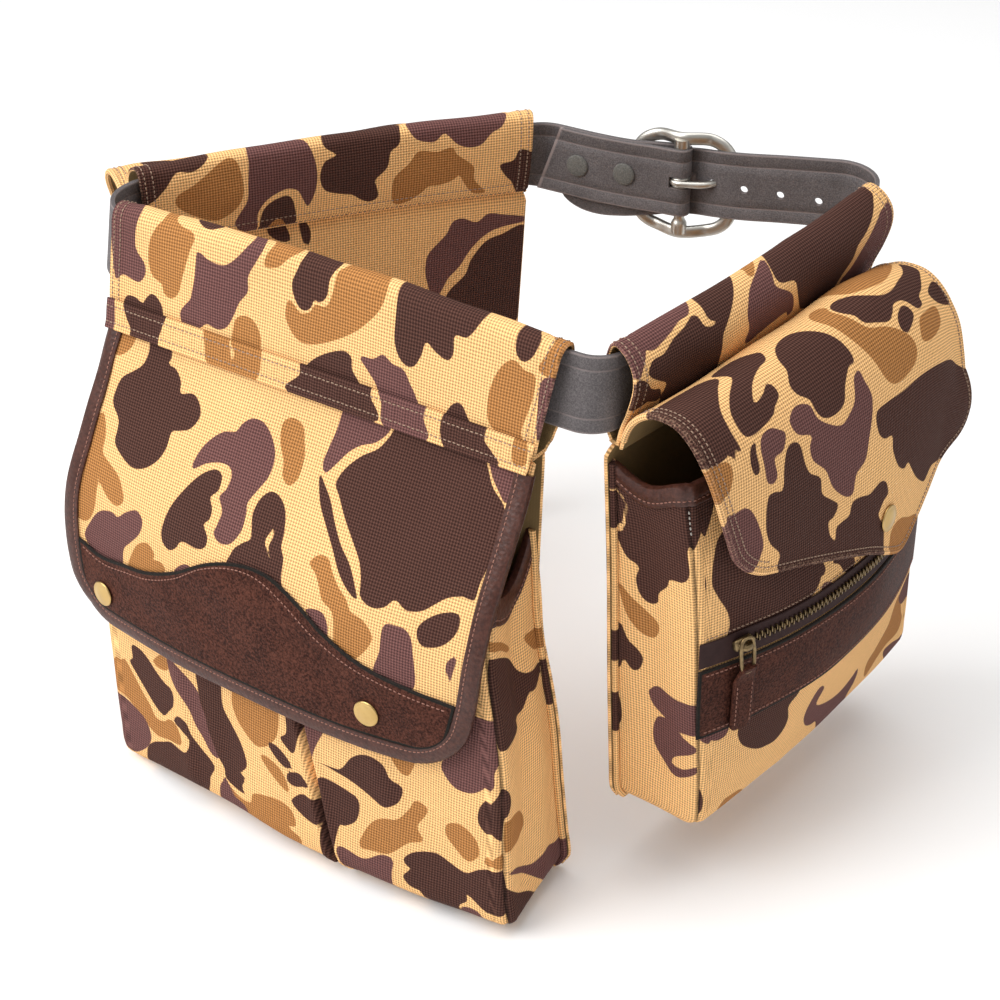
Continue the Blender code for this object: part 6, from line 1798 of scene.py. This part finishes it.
def make_slider(bag, stitches):
    """Zip slider with its bridge, its wire loop and the leather tab that hangs from it."""
    x0 = ZIP_LEFT - SLIDER_OFF
    spot, run, up, normal = front_frame(bag, x0, ZIP_DOWN, SLIDER_UP, 1.0)
    old_brass = FINISH["old_brass"]

    def at(a, b, h):
        return spot + (run * a + up * b + normal * h) * MM

    def hung(drop, a, h):
        return front_place(bag, x0, ZIP_DOWN + drop, 0.0)[0] + (run * a + normal * h) * MM

    rings = [[at(a, wide * squarish(c, 0.7), tall / 2 * (1 + s)) for c, s in full_turn(12)]
             for a, wide, tall in SLIDER]
    body = make_sweep(bag.side + "_slider", rings, [old_brass])
    finish_piece(body, "brass", bag.side + "_zip_slider")
    bridge = np.array([at(a, 0.0, h) for a, h in BRIDGE])
    obj = tube(bag.side + "_bridge", bridge, BRIDGE_RADIUS, 10, old_brass, flat=BRIDGE_FLAT)
    finish_piece(obj, "brass")
    middle, half = 0.5 * (LOOP_TOP + LOOP_LOW), 0.5 * (LOOP_LOW - LOOP_TOP)
    loop = []
    for c, s in full_turn(32):
        b = -(middle + half * squarish(s, 0.75))
        loop.append(at(LOOP_WIDE * squarish(c, 0.55), b, LOOP_OFF + LOOP_SLOPE * (middle - b)))
    obj = tube(bag.side + "_loop", np.array(loop), LOOP_RADIUS, 12, old_brass, closed=True)
    finish_piece(obj, "brass", bag.side + "_zip_loop")
    # The tab is folded over the loop's lower bar and narrows a little at its end.
    rows = []
    for t in np.linspace(0, 1, 22):
        drop = LOOP_LOW - TAB_LAP + (TAB_TALL + TAB_LAP) * t
        wide = TAB_WIDE / 2 * (TAB_WAIST + (1 - TAB_WAIST) * eased(t / 0.25))
        wide *= 1 - 0.25 * max(0.0, (t - 0.93) / 0.07)**2
        thick = TAB_THICK * (1.0 + TAB_SWELL * np.exp(-(t / 0.08)**2))
        rise = TAB_OFF + TAB_LIFT * (1 - eased(t / 0.3))
        rows.append([hung(drop, wide * squarish(c, 0.35), rise + thick / 2 * (1 + squarish(s, 0.6)))
                     for c, s in full_turn(16)])
    tab = make_sweep(bag.side + "_tab", rows, [FINISH["leather"]])
    finish_piece(tab, "leather", bag.side + "_zip_tab")
    for off in (-TAB_SEAM, TAB_SEAM):
        drops = np.linspace(LOOP_LOW + TAB_SEAM_TOP, LOOP_LOW + TAB_TALL - TAB_SEAM_FOOT, 12)
        line = np.array([hung(drop, off, TAB_OFF + TAB_THICK + TAB_SEAM_UP) for drop in drops])
        stitches.row(line, np.repeat(normal[None], len(line), 0), TAB_THREAD)


def tube(name, path, radius, sides, material, closed=False, up=None, flat=1.0):
    """Round wire along a world path; flat widens it across its up direction."""
    run = unit(np.roll(path, -1, 0) - np.roll(path, 1, 0)) if closed else unit(np.gradient(path, axis=0))
    if up is None:
        first, second = path[[len(path) // 3, 2 * len(path) // 3]] - path.mean(0)
        up = unit(np.cross(first, second))
    a = unit(np.cross(run, up))
    b = np.cross(run, a)
    cosines, sines = circle(sides)
    size = np.broadcast_to(radius, len(path))[:, None, None]
    rings = path[:, None] + (a[:, None] * cosines + b[:, None] * sines * flat) * size * MM
    return make_sweep(name, rings, [material], closed=closed)


TAPE_WALL = 0.9
TAPE_OFF = 0.4
BAND_OFF = 0.3
BAND_SEAM = 3.0           # the band's stitch rows, in from its edges
POCKET_SEAM = 1.8         # the front's stitch row, above the tape


def make_pocket(bag, stitches, red):
    """Zip, leather band below it, and their stitches."""
    span = (POCKET_LEFT, POCKET_RIGHT)
    tape = front_strip(bag, bag.side + "_tape", span, ZIP_DOWN - TAPE_ABOVE, ZIP_DOWN + TAPE_BELOW,
                       TAPE_OFF, TAPE_WALL, [FINISH["zip_cloth"]] * 3)
    finish_piece(tape, "zip_cloth", bag.side + "_zip_tape")
    make_teeth(bag)
    band = front_strip(bag, bag.side + "_band", span, BAND_TOP, BAND_TOP + BAND_TALL, BAND_OFF,
                       BAND_LEATHER, EDGED, edged=True)
    finish_piece(band, "leather", bag.side + "_leather_band")
    xs = np.linspace(POCKET_LEFT + BAND_SEAM, POCKET_RIGHT - BAND_SEAM, 90)
    for down in (BAND_TOP + BAND_SEAM, BAND_TOP + BAND_TALL - BAND_SEAM):
        red.row(*front_place(bag, xs, down, BAND_OFF + THREAD_UP + BAND_LEATHER))
    stitches.row(*front_place(bag, xs, ZIP_DOWN - TAPE_ABOVE - POCKET_SEAM, 0.1))
    make_slider(bag, red)


# Belt

BELT_WIDTH = 40.0
BELT_THICK = 2.6
BELT_FRONT_LEVEL = (1.0, 3.5)
BELT_BACK_LEVEL = -1.4
RISE_FROM = 40.0
RISE_TO = 125.0
REAR_BELT_DOWN = 22.0
REAR_BELT_OUT = (4.0, 2.5)
SIDE_BELT_OUT = 1.0
SIDE_BELT_DOWN = {"right": 26.0, "left": 22.0}
Lean = namedtuple("Lean", "facing lean")   # both in degrees; facing is the way the outer side looks
BELT_LEANS = (
    Lean(-365.0, 0.0), Lean(-250.0, 0.0), Lean(-219.5, 11.0), Lean(-211.0, 11.0),
    Lean(-95.0, 6.0), Lean(-85.0, 6.0), Lean(-10.0, 0.0), Lean(0.0, 0.0),
)
LEFT_OVERRUN = 11.0
TUNNEL_ARC = 0.82
CORNER_RADIUS = {"rear_right": 16.0, "rear_left": 31.0, "right_back": 26.0, "left_back": 30.0}
CORNER_STEP = 3.0
BUCKLE_AT = (49.3, 125.2)
BACK_SLOPE = 13.5
FIXED_REACH = 82.0
HOLE_RADIUS = 2.3
HOLE_REACHES = (18.0, 36.5, 57.2, 79.0)
PRONG_SLOT = (13.6, 14.0, 6.8)
SLOT_AT = (1.2, -1.0)     # the slot's middle, past the bar and outwards
Run = namedtuple("Run", "reach off droop")   # from the buckle along the strap, off its line, down
TIP_RUN = (
    Run(74.0, 2.4, 15.5), Run(57.0, 1.3, 13.2), Run(36.0, 1.1, 9.6), Run(24.0, 2.6, 7.4),
    Run(16.0, 4.6, 6.0), Run(9.0, 6.6, 4.6), Run(4.0, 7.4, 3.8), Run(0.0, 7.6, 3.2),
)
INTO_RUN = (
    Run(9.0, 5.8, 1.8), Run(18.0, 3.1, 0.5), Run(29.0, 1.2, -0.7), Run(40.0, 0.8, -1.6),
    Run(58.0, 0.8, -2.8),
)
FIXED_RUN = (Run(77.0, -0.5, 1.9), Run(50.0, -1.9, 0.9), Run(30.0, -1.9, 0.6), Run(16.0, 1.2, 0.3))
LAP_RUN = (Run(16.0, 4.6, 0.3), Run(30.0, 5.1, 0.6), Run(50.0, 5.0, 0.9), Run(80.0, 3.6, 1.9))
FIXED_DROOP = 2.0         # the strap hangs lower between the rivets and the left tunnel
TIP_RISE = 3.2            # the tip's side of the strap lies higher, up to its tunnel
RISE_FADE = 60.0
TIP_ROUND = 34.0          # the tip's rounding along the strap
LAP_SLANT = 0.36          # the lap's end is cut on a slant, which comes in over this reach
LAP_SLANT_REACH = 22.0
CREASE_IN = 7.6           # creased lines run this far in from the strap's edges
CREASE = 0.45
BELT_STEP = 2.0
BUCKLE_WIDE = 29.5
BUCKLE_TALL = 28.4
BUCKLE_SQUARE = 0.6
BUCKLE_WIRE = 3.7
BUCKLE_WIRE_FLAT = 0.6
BUCKLE_BOW = 5.2
BUCKLE_DROOP = 3.3        # the oval hangs this far below the strap's middle
BUCKLE_TILT = 0.044
BUCKLE_FLAT = 17.0
COLLAR = 1.5              # the bar is this much thicker where it meets the oval
COLLAR_FROM = 20.5
BAR_RADIUS = 3.0
PRONG_RADIUS = 2.0
COIL_RADIUS = 5.3
COIL_HALF = 3.2
COIL_PITCH = 2.1
Hook = namedtuple("Hook", "along out")
PRONG = (                 # round the bar, through the tip and up onto the oval
    Hook(-3.4, 3.4), Hook(-4.85, 0.0), Hook(-3.4, -3.4), Hook(0.0, -4.85), Hook(4.4, -4.4),
    Hook(9.0, -3.2), Hook(13.0, -1.6), Hook(16.0, 0.6), Hook(18.3, 3.2), Hook(21.0, 6.4),
    Hook(24.5, 9.0), Hook(29.0, 10.1), Hook(33.0, 10.1),
)
RIVETS = (Run(32.0, -3.5, 0.1), Run(61.0, -3.1, 0.8))
RIVET_SEAT = 1.55 + BELT_THICK / 2 + GAP
RIVET_POST = 1.7
RIVET_SIDES = 32
RIVET = (
    (0.0, -RIVET_SEAT - 0.8), (3.2, -RIVET_SEAT - 0.8), (3.6, -RIVET_SEAT - 0.5), (3.6, -RIVET_SEAT),
    (RIVET_POST, -RIVET_SEAT), (RIVET_POST, RIVET_SEAT), (6.3, RIVET_SEAT), (6.6, RIVET_SEAT + 0.25),
    (6.4, RIVET_SEAT + 0.75), (5.8, RIVET_SEAT + 1.05), (3.9, RIVET_SEAT + 1.3), (0.0, RIVET_SEAT + 1.4),
)


def to_plan(side, x, out, down):
    bag = Bag(side)
    return Vector(bag.world(bag.turn * x, out, down)[:2] / MM)


def cross_point(a, b, c, d):
    """Where the line through a and b meets the line through c and d."""
    r, s = b - a, d - c
    t = ((c - a).x * s.y - (c - a).y * s.x) / (r.x * s.y - r.y * s.x)
    return a + r * t


Corner = namedtuple("Corner", "at radius")


def round_path(corners):
    """Points along a polyline whose corners are arcs."""
    step = radians(CORNER_STEP)
    path = [corners[0].at]
    for i in range(1, len(corners) - 1):
        here = corners[i].at
        before, after = corners[i - 1].at - here, corners[i + 1].at - here
        a, b = before.normalized(), after.normalized()
        angle = pi - acos(max(-1.0, min(1.0, a.dot(b))))
        reach = corners[i].radius * tan(angle / 2)
        start, end = here + a * reach, here + b * reach
        centre = here + (a + b).normalized() * sqrt(corners[i].radius**2 + reach**2)
        pieces = max(4, int(angle / step), int(corners[i].radius * angle / 6.0))
        first = atan2(start.y - centre.y, start.x - centre.x)
        turn = atan2(end.y - centre.y, end.x - centre.x) - first
        turn = (turn + pi) % (2 * pi) - pi
        for k in range(pieces + 1):
            t = first + turn * k / pieces
            path.append(centre + Vector((cos(t), sin(t))) * corners[i].radius)
    path.append(corners[-1].at)
    return path


def belt_corners():
    """Corners of the belt's centre line, from the right pouch's back end round to the buckle."""
    rear = [to_plan("rear", x, out, REAR_BELT_DOWN) for x, out in
            zip((-REAR_TUNNEL_HALF, REAR_TUNNEL_HALF), REAR_BELT_OUT)]
    half = SIDE_TUNNEL_HALF
    peak = 1.8 * SIDE_BOW
    right, left = ([to_plan(side, x, SIDE_BELT_OUT + bow, SIDE_BELT_DOWN[side])
                    for x, bow in ((-end, 0.0), (0.0, peak), (end, 0.0))]
                   for side, end in (("right", half), ("left", -half)))
    buckle = Vector(BUCKLE_AT)
    tunnel_radius = TUNNEL_ARC * half / tan(atan2(peak, half))
    back_line = buckle + Vector((cos(radians(BACK_SLOPE)), sin(radians(BACK_SLOPE)))) * 60.0
    return [
        Corner(buckle, 0.0),
        Corner(cross_point(buckle, back_line, right[1], right[2]), CORNER_RADIUS["right_back"]),
        Corner(right[1], tunnel_radius),
        Corner(cross_point(right[1], right[0], rear[0], rear[1]), CORNER_RADIUS["rear_right"]),
        Corner(cross_point(left[1], left[0], rear[0], rear[1]), CORNER_RADIUS["rear_left"]),
        Corner(left[1], tunnel_radius),
        Corner(left[2] + (left[2] - left[1]).normalized() * LEFT_OVERRUN, CORNER_RADIUS["left_back"]),
        Corner(buckle, 0.0),
    ]


def clamped(t):
    return max(0.0, min(1.0, t))


def belt_level(p):
    """The strap's mid height: low at the buckle, higher round the front and towards the right."""
    low, high = BELT_FRONT_LEVEL
    front = low + (high - low) * clamped(0.5 + p.x / (2 * REAR_TUNNEL_HALF))
    rise = float(eased(((p - Vector(BUCKLE_AT)).length - RISE_FROM) / (RISE_TO - RISE_FROM)))
    return BELT_BACK_LEVEL + (front - BELT_BACK_LEVEL) * rise


def belt_lean(p, inner):
    """The strap's lean as it follows its tunnels; it stands upright at the buckle."""
    fade = clamped(((p - Vector(BUCKLE_AT)).length - RISE_FROM) / RISE_FROM - 0.5)
    faces = degrees(atan2(-inner.y, -inner.x)) % 360 - 360
    return radians(float(between(BELT_LEANS, faces)[0])) * fade


def belt_line(into, outer, back, side, path):
    """Centre line of the strap: tip, past the bar, round the waist, round the bar and back as a lap."""
    buckle = Vector(BUCKLE_AT)
    rows = []

    def add(p, droop=0.0):
        rows.append((p.x, p.y, belt_level(p) - droop))

    for run in TIP_RUN:
        add(buckle + back * run.reach + side * run.off, run.droop)
    for run in INTO_RUN:
        add(buckle + into * run.reach + outer * run.off, run.droop)
    for p in path[1:-1]:
        reach = (p - buckle).length
        if reach > FIXED_REACH:
            near = 1.0 - float(eased((reach - FIXED_REACH) / RISE_FADE))
            add(p, near * (-TIP_RISE if (p - buckle).dot(into) > 0 else FIXED_DROOP))
    for run in FIXED_RUN:
        add(buckle + back * run.reach + side * run.off, run.droop)
    ring = BAR_RADIUS + GAP + BELT_THICK / 2
    for turn in np.linspace(0.0, pi, 13):
        add(buckle + side * ring * cos(turn) - back * ring * sin(turn))
    for run in LAP_RUN:
        add(buckle + back * run.reach - side * run.off, run.droop)
    at = travelled(rows)
    fine = np.linspace(0, at[-1], int(at[-1] / BELT_STEP) + 1)
    return np.stack([smooth(at, values, fine) for values in np.transpose(rows)], -1), fine


def strap_profile():
    """Rounded section with creased lines, as (across the thickness, across the width in half widths)."""
    half, tall = BELT_THICK / 2, BELT_WIDTH / 2
    side = []
    for b, a in ((-tall + 0.5, half), (-tall + 1.1, half), (-tall + CREASE_IN - 0.8, half),
                 (-tall + CREASE_IN - 0.25, half - CREASE), (-tall + CREASE_IN + 0.25, half - CREASE),
                 (-tall + CREASE_IN + 0.8, half), (-7.0, half), (0.0, half)):
        side.append((a, b))
    face = side + [(a, -b) for a, b in side[-2::-1]]
    top = [(half * 0.8, tall - 0.12), (0.0, tall), (-half * 0.8, tall - 0.12)]
    return face + top + [(-a, -b) for a, b in face] + [(-a, -b) for a, b in top]


LAP_EDGE = 2.2            # the lap's cut end is pale over this width
PALE = (0.27, 0.22, 0.21)


def belt_material(lines, length):
    """Grey strap leather, paler along its creases and rims, at these girths, and at the lap's cut end."""
    n, face = leather("belt_leather", (0.074, 0.065, 0.066), (0.150, 0.133, 0.133), 1400.0, 0.25)
    run, girth = n.panel()
    line = n.times(n.math("SUBTRACT", run, float(length - LAP_EDGE), clamp=True), 1.7)
    for at in lines:
        off = n.math("ABSOLUTE", n.math("SUBTRACT", girth, float(at)))
        line = n.math("MAXIMUM", line, n.ramp(off, -2.0, 1.5, clamp=True))
    n.colour(n.mix(n.times(line, 0.55), face, PALE))
    return n.material


TIP_WIDE = 0.30           # the rounded tip starts at this share of the strap's width


def strap_section(line, at, i, profile):
    """The strap's section at one of its centre line's points."""
    x, y, z = line[i]
    ahead, behind = line[min(i + 1, len(line) - 1)], line[max(i - 1, 0)]
    run = Vector((ahead[0] - behind[0], ahead[1] - behind[1], 0.0)).normalized()
    inner = Vector((run.y, -run.x, 0.0))
    if inner.x * x + inner.y * y > 0:
        inner.negate()
    lean = belt_lean(Vector((x, y)), inner)
    up = Vector((0.0, 0.0, cos(lean))) + inner * sin(lean)
    across = run.cross(up).normalized()
    tip = min(1.0, (at[i] + 0.6) / TIP_ROUND)
    wide = TIP_WIDE + (1 - TIP_WIDE) * sqrt(1.0 - (1.0 - tip)**2)
    slant = LAP_SLANT * float(eased(1.0 - (at[-1] - at[i]) / LAP_SLANT_REACH))
    return [(Vector((x, y, z)) + across * a + (up - run * slant) * b * wide) * MM for a, b in profile]


def make_belt():
    path = round_path(belt_corners())
    buckle = Vector(BUCKLE_AT)
    into = (path[1] - buckle).normalized()
    back = (path[-2] - buckle).normalized()
    outer = Vector((-into.y, into.x))
    side = Vector((back.y, -back.x))
    line, at = belt_line(into, outer, back, side, path)
    profile = strap_profile()
    sections = [strap_section(line, at, i, profile) for i in range(len(line))]
    girth = travelled(profile)
    uv = np.stack(np.meshgrid(at, girth, indexing="ij"), -1).reshape(-1, 2)
    half, tall = BELT_THICK / 2, BELT_WIDTH / 2
    deep = [g for g, (a, _) in zip(girth, profile) if abs(abs(a) - half + CREASE) < 0.01]
    lines = [0.5 * (first + second) for first, second in zip(deep[::2], deep[1::2])]
    lines += [g for g, (a, b) in zip(girth, profile) if abs(a) == half and abs(b) > tall - 0.8]
    strap = make_sweep("belt", sections, [belt_material(lines, at[-1])], uv=uv)
    cut(strap, belt_cutter(buckle, into, outer, back, side))
    finish_piece(strap, "belt_leather", "belt_strap")
    for k, run in enumerate(RIVETS, 1):
        spot = (buckle + back * run.reach + side * run.off).to_3d()
        spot.z = BELT_BACK_LEVEL - run.droop
        matrix = facing(spot * MM, -side.to_3d())
        rivet = make_turned("rivet_%d" % k, RIVET, RIVET_SIDES, matrix, [FINISH["cap"]])
        finish_piece(rivet, "belt_leather", "belt_rivet_%d" % k)
    make_buckle(into, back)


def belt_cutter(buckle, into, outer, back, side):
    """Punched holes, rivet holes and the prong's slot, as one cutter."""
    work = bmesh.new()

    def drill(at, direction, radius, length, droop=0.0):
        turn = direction.to_3d().to_track_quat("Z", "Y").to_matrix().to_4x4()
        matrix = Matrix.Translation(Vector((at.x, at.y, BELT_BACK_LEVEL - droop))) @ turn
        bmesh.ops.create_cone(work, cap_ends=True, segments=24, radius1=radius, radius2=radius,
                              depth=length, matrix=matrix)

    for reach in HOLE_REACHES:
        drill(buckle + into * reach + outer * BELT_THICK, outer, HOLE_RADIUS, 5 * BELT_THICK)
    for run in RIVETS:
        drill(buckle + back * run.reach + side * run.off, side, RIVET_POST + GAP, 2.3 * BELT_THICK,
              run.droop)
    heading = Matrix.Rotation(atan2(into.y, into.x), 4, "Z")
    past, out = SLOT_AT
    at = Matrix.Translation(Vector((*(buckle + into * past + outer * out), BELT_BACK_LEVEL)))
    bmesh.ops.create_cube(work, size=1.0, matrix=at @ heading @ Matrix.Diagonal((*PRONG_SLOT, 1.0)))
    for v in work.verts:
        v.co = v.co * MM
    mesh = bpy.data.meshes.new("belt_cutter")
    work.to_mesh(mesh)
    work.free()
    cutter = bpy.data.objects.new("belt_cutter", mesh)
    bpy.context.scene.collection.objects.link(cutter)
    return cutter


def cut(obj, cutter):
    """Cut an object by a boolean that is applied at once."""
    boolean = obj.modifiers.new("cut", "BOOLEAN")
    boolean.operation = "DIFFERENCE"
    boolean.solver = "EXACT"
    boolean.object = cutter
    bpy.context.view_layer.update()
    mesh = bpy.data.meshes.new_from_object(obj.evaluated_get(bpy.context.evaluated_depsgraph_get()))
    obj.modifiers.clear()
    obj.data = mesh
    mesh.set_sharp_from_angle(angle=radians(40))
    bpy.data.objects.remove(cutter)


OVAL_POINTS = 721
OVAL_STEP = 1.8
COLLAR_RAMP = 1.5
COIL_WAVE = 0.35
HOOK_POINTS = 70
HOOK_TIP = 0.12


def make_bar(name, at, half, rows, sides, radius_at):
    """Turned upright bar, from its radius at each of its rows' heights."""
    heights = np.linspace(-half, half, rows)
    profile = [(0.0, -half), *zip(radius_at(heights).tolist(), heights.tolist()), (0.0, half)]
    bar = make_turned(name, profile, sides, Matrix.Translation(at * MM), [FINISH["chrome"]])
    finish_piece(bar, "chrome")


def make_buckle(into, back):
    """Squarish wire oval on its centre bar, and a prong that winds round the bar."""
    buckle = Vector((*BUCKLE_AT, BELT_BACK_LEVEL))
    along = (into - back).normalized().to_3d()
    outer = Vector((-along.y, along.x, 0.0))
    up = Vector((0.0, 0.0, 1.0))
    hung = buckle - up * BUCKLE_DROOP
    oval = []
    for turn in np.linspace(0, 2 * pi, OVAL_POINTS):
        x = BUCKLE_WIDE * squarish(cos(turn), BUCKLE_SQUARE)
        z = BUCKLE_TALL * squarish(sin(turn), BUCKLE_SQUARE)
        bow = BUCKLE_BOW * float(eased(abs(x) / BUCKLE_FLAT))
        oval.append((hung + along * x + up * (z + BUCKLE_TILT * x) + outer * bow) * MM)
    ring = resample(np.array(oval), OVAL_STEP * MM)[:-1]
    obj = tube("buckle", ring, BUCKLE_WIRE, 20, FINISH["chrome"], closed=True, up=np.array(outer),
               flat=BUCKLE_WIRE_FLAT)
    finish_piece(obj, "chrome", "buckle_frame")
    # The bar swells into a collar where it meets the oval, and the prong's root lies round it.
    make_bar("buckle_bar", hung, BUCKLE_TALL, 41, 24,
             lambda z: BAR_RADIUS + COLLAR * eased((np.abs(z) - COLLAR_FROM) / COLLAR_RAMP))
    make_bar("prong_coil", buckle, COIL_HALF, 31, 28,
             lambda z: COIL_RADIUS + COIL_WAVE * np.cos(2 * pi * z / COIL_PITCH))
    last = len(PRONG) - 1
    fine = np.linspace(0, last, HOOK_POINTS)
    runs, outs = (smooth(np.arange(last + 1), values, fine) for values in np.transpose(PRONG))
    hook = np.array([(buckle + along * a + outer * o) * MM for a, o in zip(runs, outs)])
    size = np.minimum(1.0, np.sqrt((last - fine) / HOOK_TIP + 0.1))
    prong = tube("prong", hook, PRONG_RADIUS * size, 16, FINISH["chrome"], up=np.array(up))
    finish_piece(prong, "chrome", "buckle_prong")


# Scene

CAMERA_AT = (0.6029, -0.8734, 0.5104)
CAMERA_HEADING = 34.1
CAMERA_TILT = 57.5
LENS = 79.2
SENSOR = 36.0
FLOOR_DROP = 0.004
FLOOR_HALF = 3.0
SKY = 0.46
AIM = (0.0, -0.02, -0.12)
Lamp = namedtuple("Lamp", "name place size power")
LAMPS = (
    Lamp("key", (-1.0, -1.5, 1.4), 1.8, 54.0),
    Lamp("fill", (1.6, -0.6, 0.9), 1.4, 3.0),
    Lamp("top", (0.1, 0.1, 2.0), 2.0, 30.0),
)


def make_camera():
    camera = bpy.data.objects.new("camera", bpy.data.cameras.new("camera"))
    turn = Matrix.Rotation(radians(CAMERA_HEADING), 4, "Z") @ Matrix.Rotation(radians(CAMERA_TILT), 4, "X")
    camera.matrix_world = Matrix.Translation(CAMERA_AT) @ turn
    camera.data.sensor_width = SENSOR
    camera.data.lens = LENS
    bpy.context.scene.collection.objects.link(camera)
    bpy.context.scene.camera = camera


def make_stage():
    """Pale floor, white surroundings and three soft lamps."""
    corners = [(x * FLOOR_HALF, y * FLOOR_HALF, CAD_BOX[0].z - FLOOR_DROP)
               for x, y in ((-1, -1), (1, -1), (1, 1), (-1, 1))]
    n = Nodes("floor", roughness=0.9)
    n.colour(n.mix(n.noise(3.0, 2.0), (0.93, 0.93, 0.93), (0.96, 0.96, 0.96)))
    floor = mesh_object("floor", corners, [(0, 1, 2, 3)], [n.material])
    world = bpy.data.worlds.new("studio")
    world.use_nodes = True
    background = world.node_tree.nodes["Background"]
    background.inputs["Color"].default_value = (1.0, 1.0, 1.0, 1.0)
    background.inputs["Strength"].default_value = SKY
    bpy.context.scene.world = world
    bpy.context.scene.view_settings.view_transform = "Standard"
    for lamp in LAMPS:
        light = bpy.data.objects.new(lamp.name, bpy.data.lights.new(lamp.name, "AREA"))
        light.data.size = lamp.size
        light.data.energy = lamp.power
        light.location = lamp.place
        light.rotation_euler = (Vector(AIM) - light.location).to_track_quat("-Z", "Y").to_euler()
        bpy.context.scene.collection.objects.link(light)


def build():
    make_camera()
    make_stage()
    for side in PLACES:
        bag = Bag(side)
        grey, red, white = Stitches(), Stitches(), Stitches()
        make_tunnel(bag, grey)
        make_back_panel(bag)
        make_body(bag, red, white)
        flap = Flap(bag)
        make_flap(bag, flap)
        if bag.rear:
            make_stitch_band(bag, grey)
            make_flap_binding(flap, red)
            make_yoke(bag, flap, red)
            for label, (x, down) in REAR_SNAPS.items():
                make_snap("rear_button_" + label, "rear_snap_" + label, flap, x, down,
                          REAR_SNAP_UP + BAND_LEATHER)
        else:
            make_turned_edge(bag, flap, grey)
            make_pocket(bag, grey, red)
            make_snap(side + "_button", side + "_snap", flap, *SIDE_SNAP, SIDE_SNAP_UP)
        grey.make(side + "_canvas_stitches", "thread", "canvas")
        red.make(side + "_leather_stitches", "thread_red", "leather")
        white.make(side + "_tacks", "thread_white", "canvas")
    make_belt()


build()
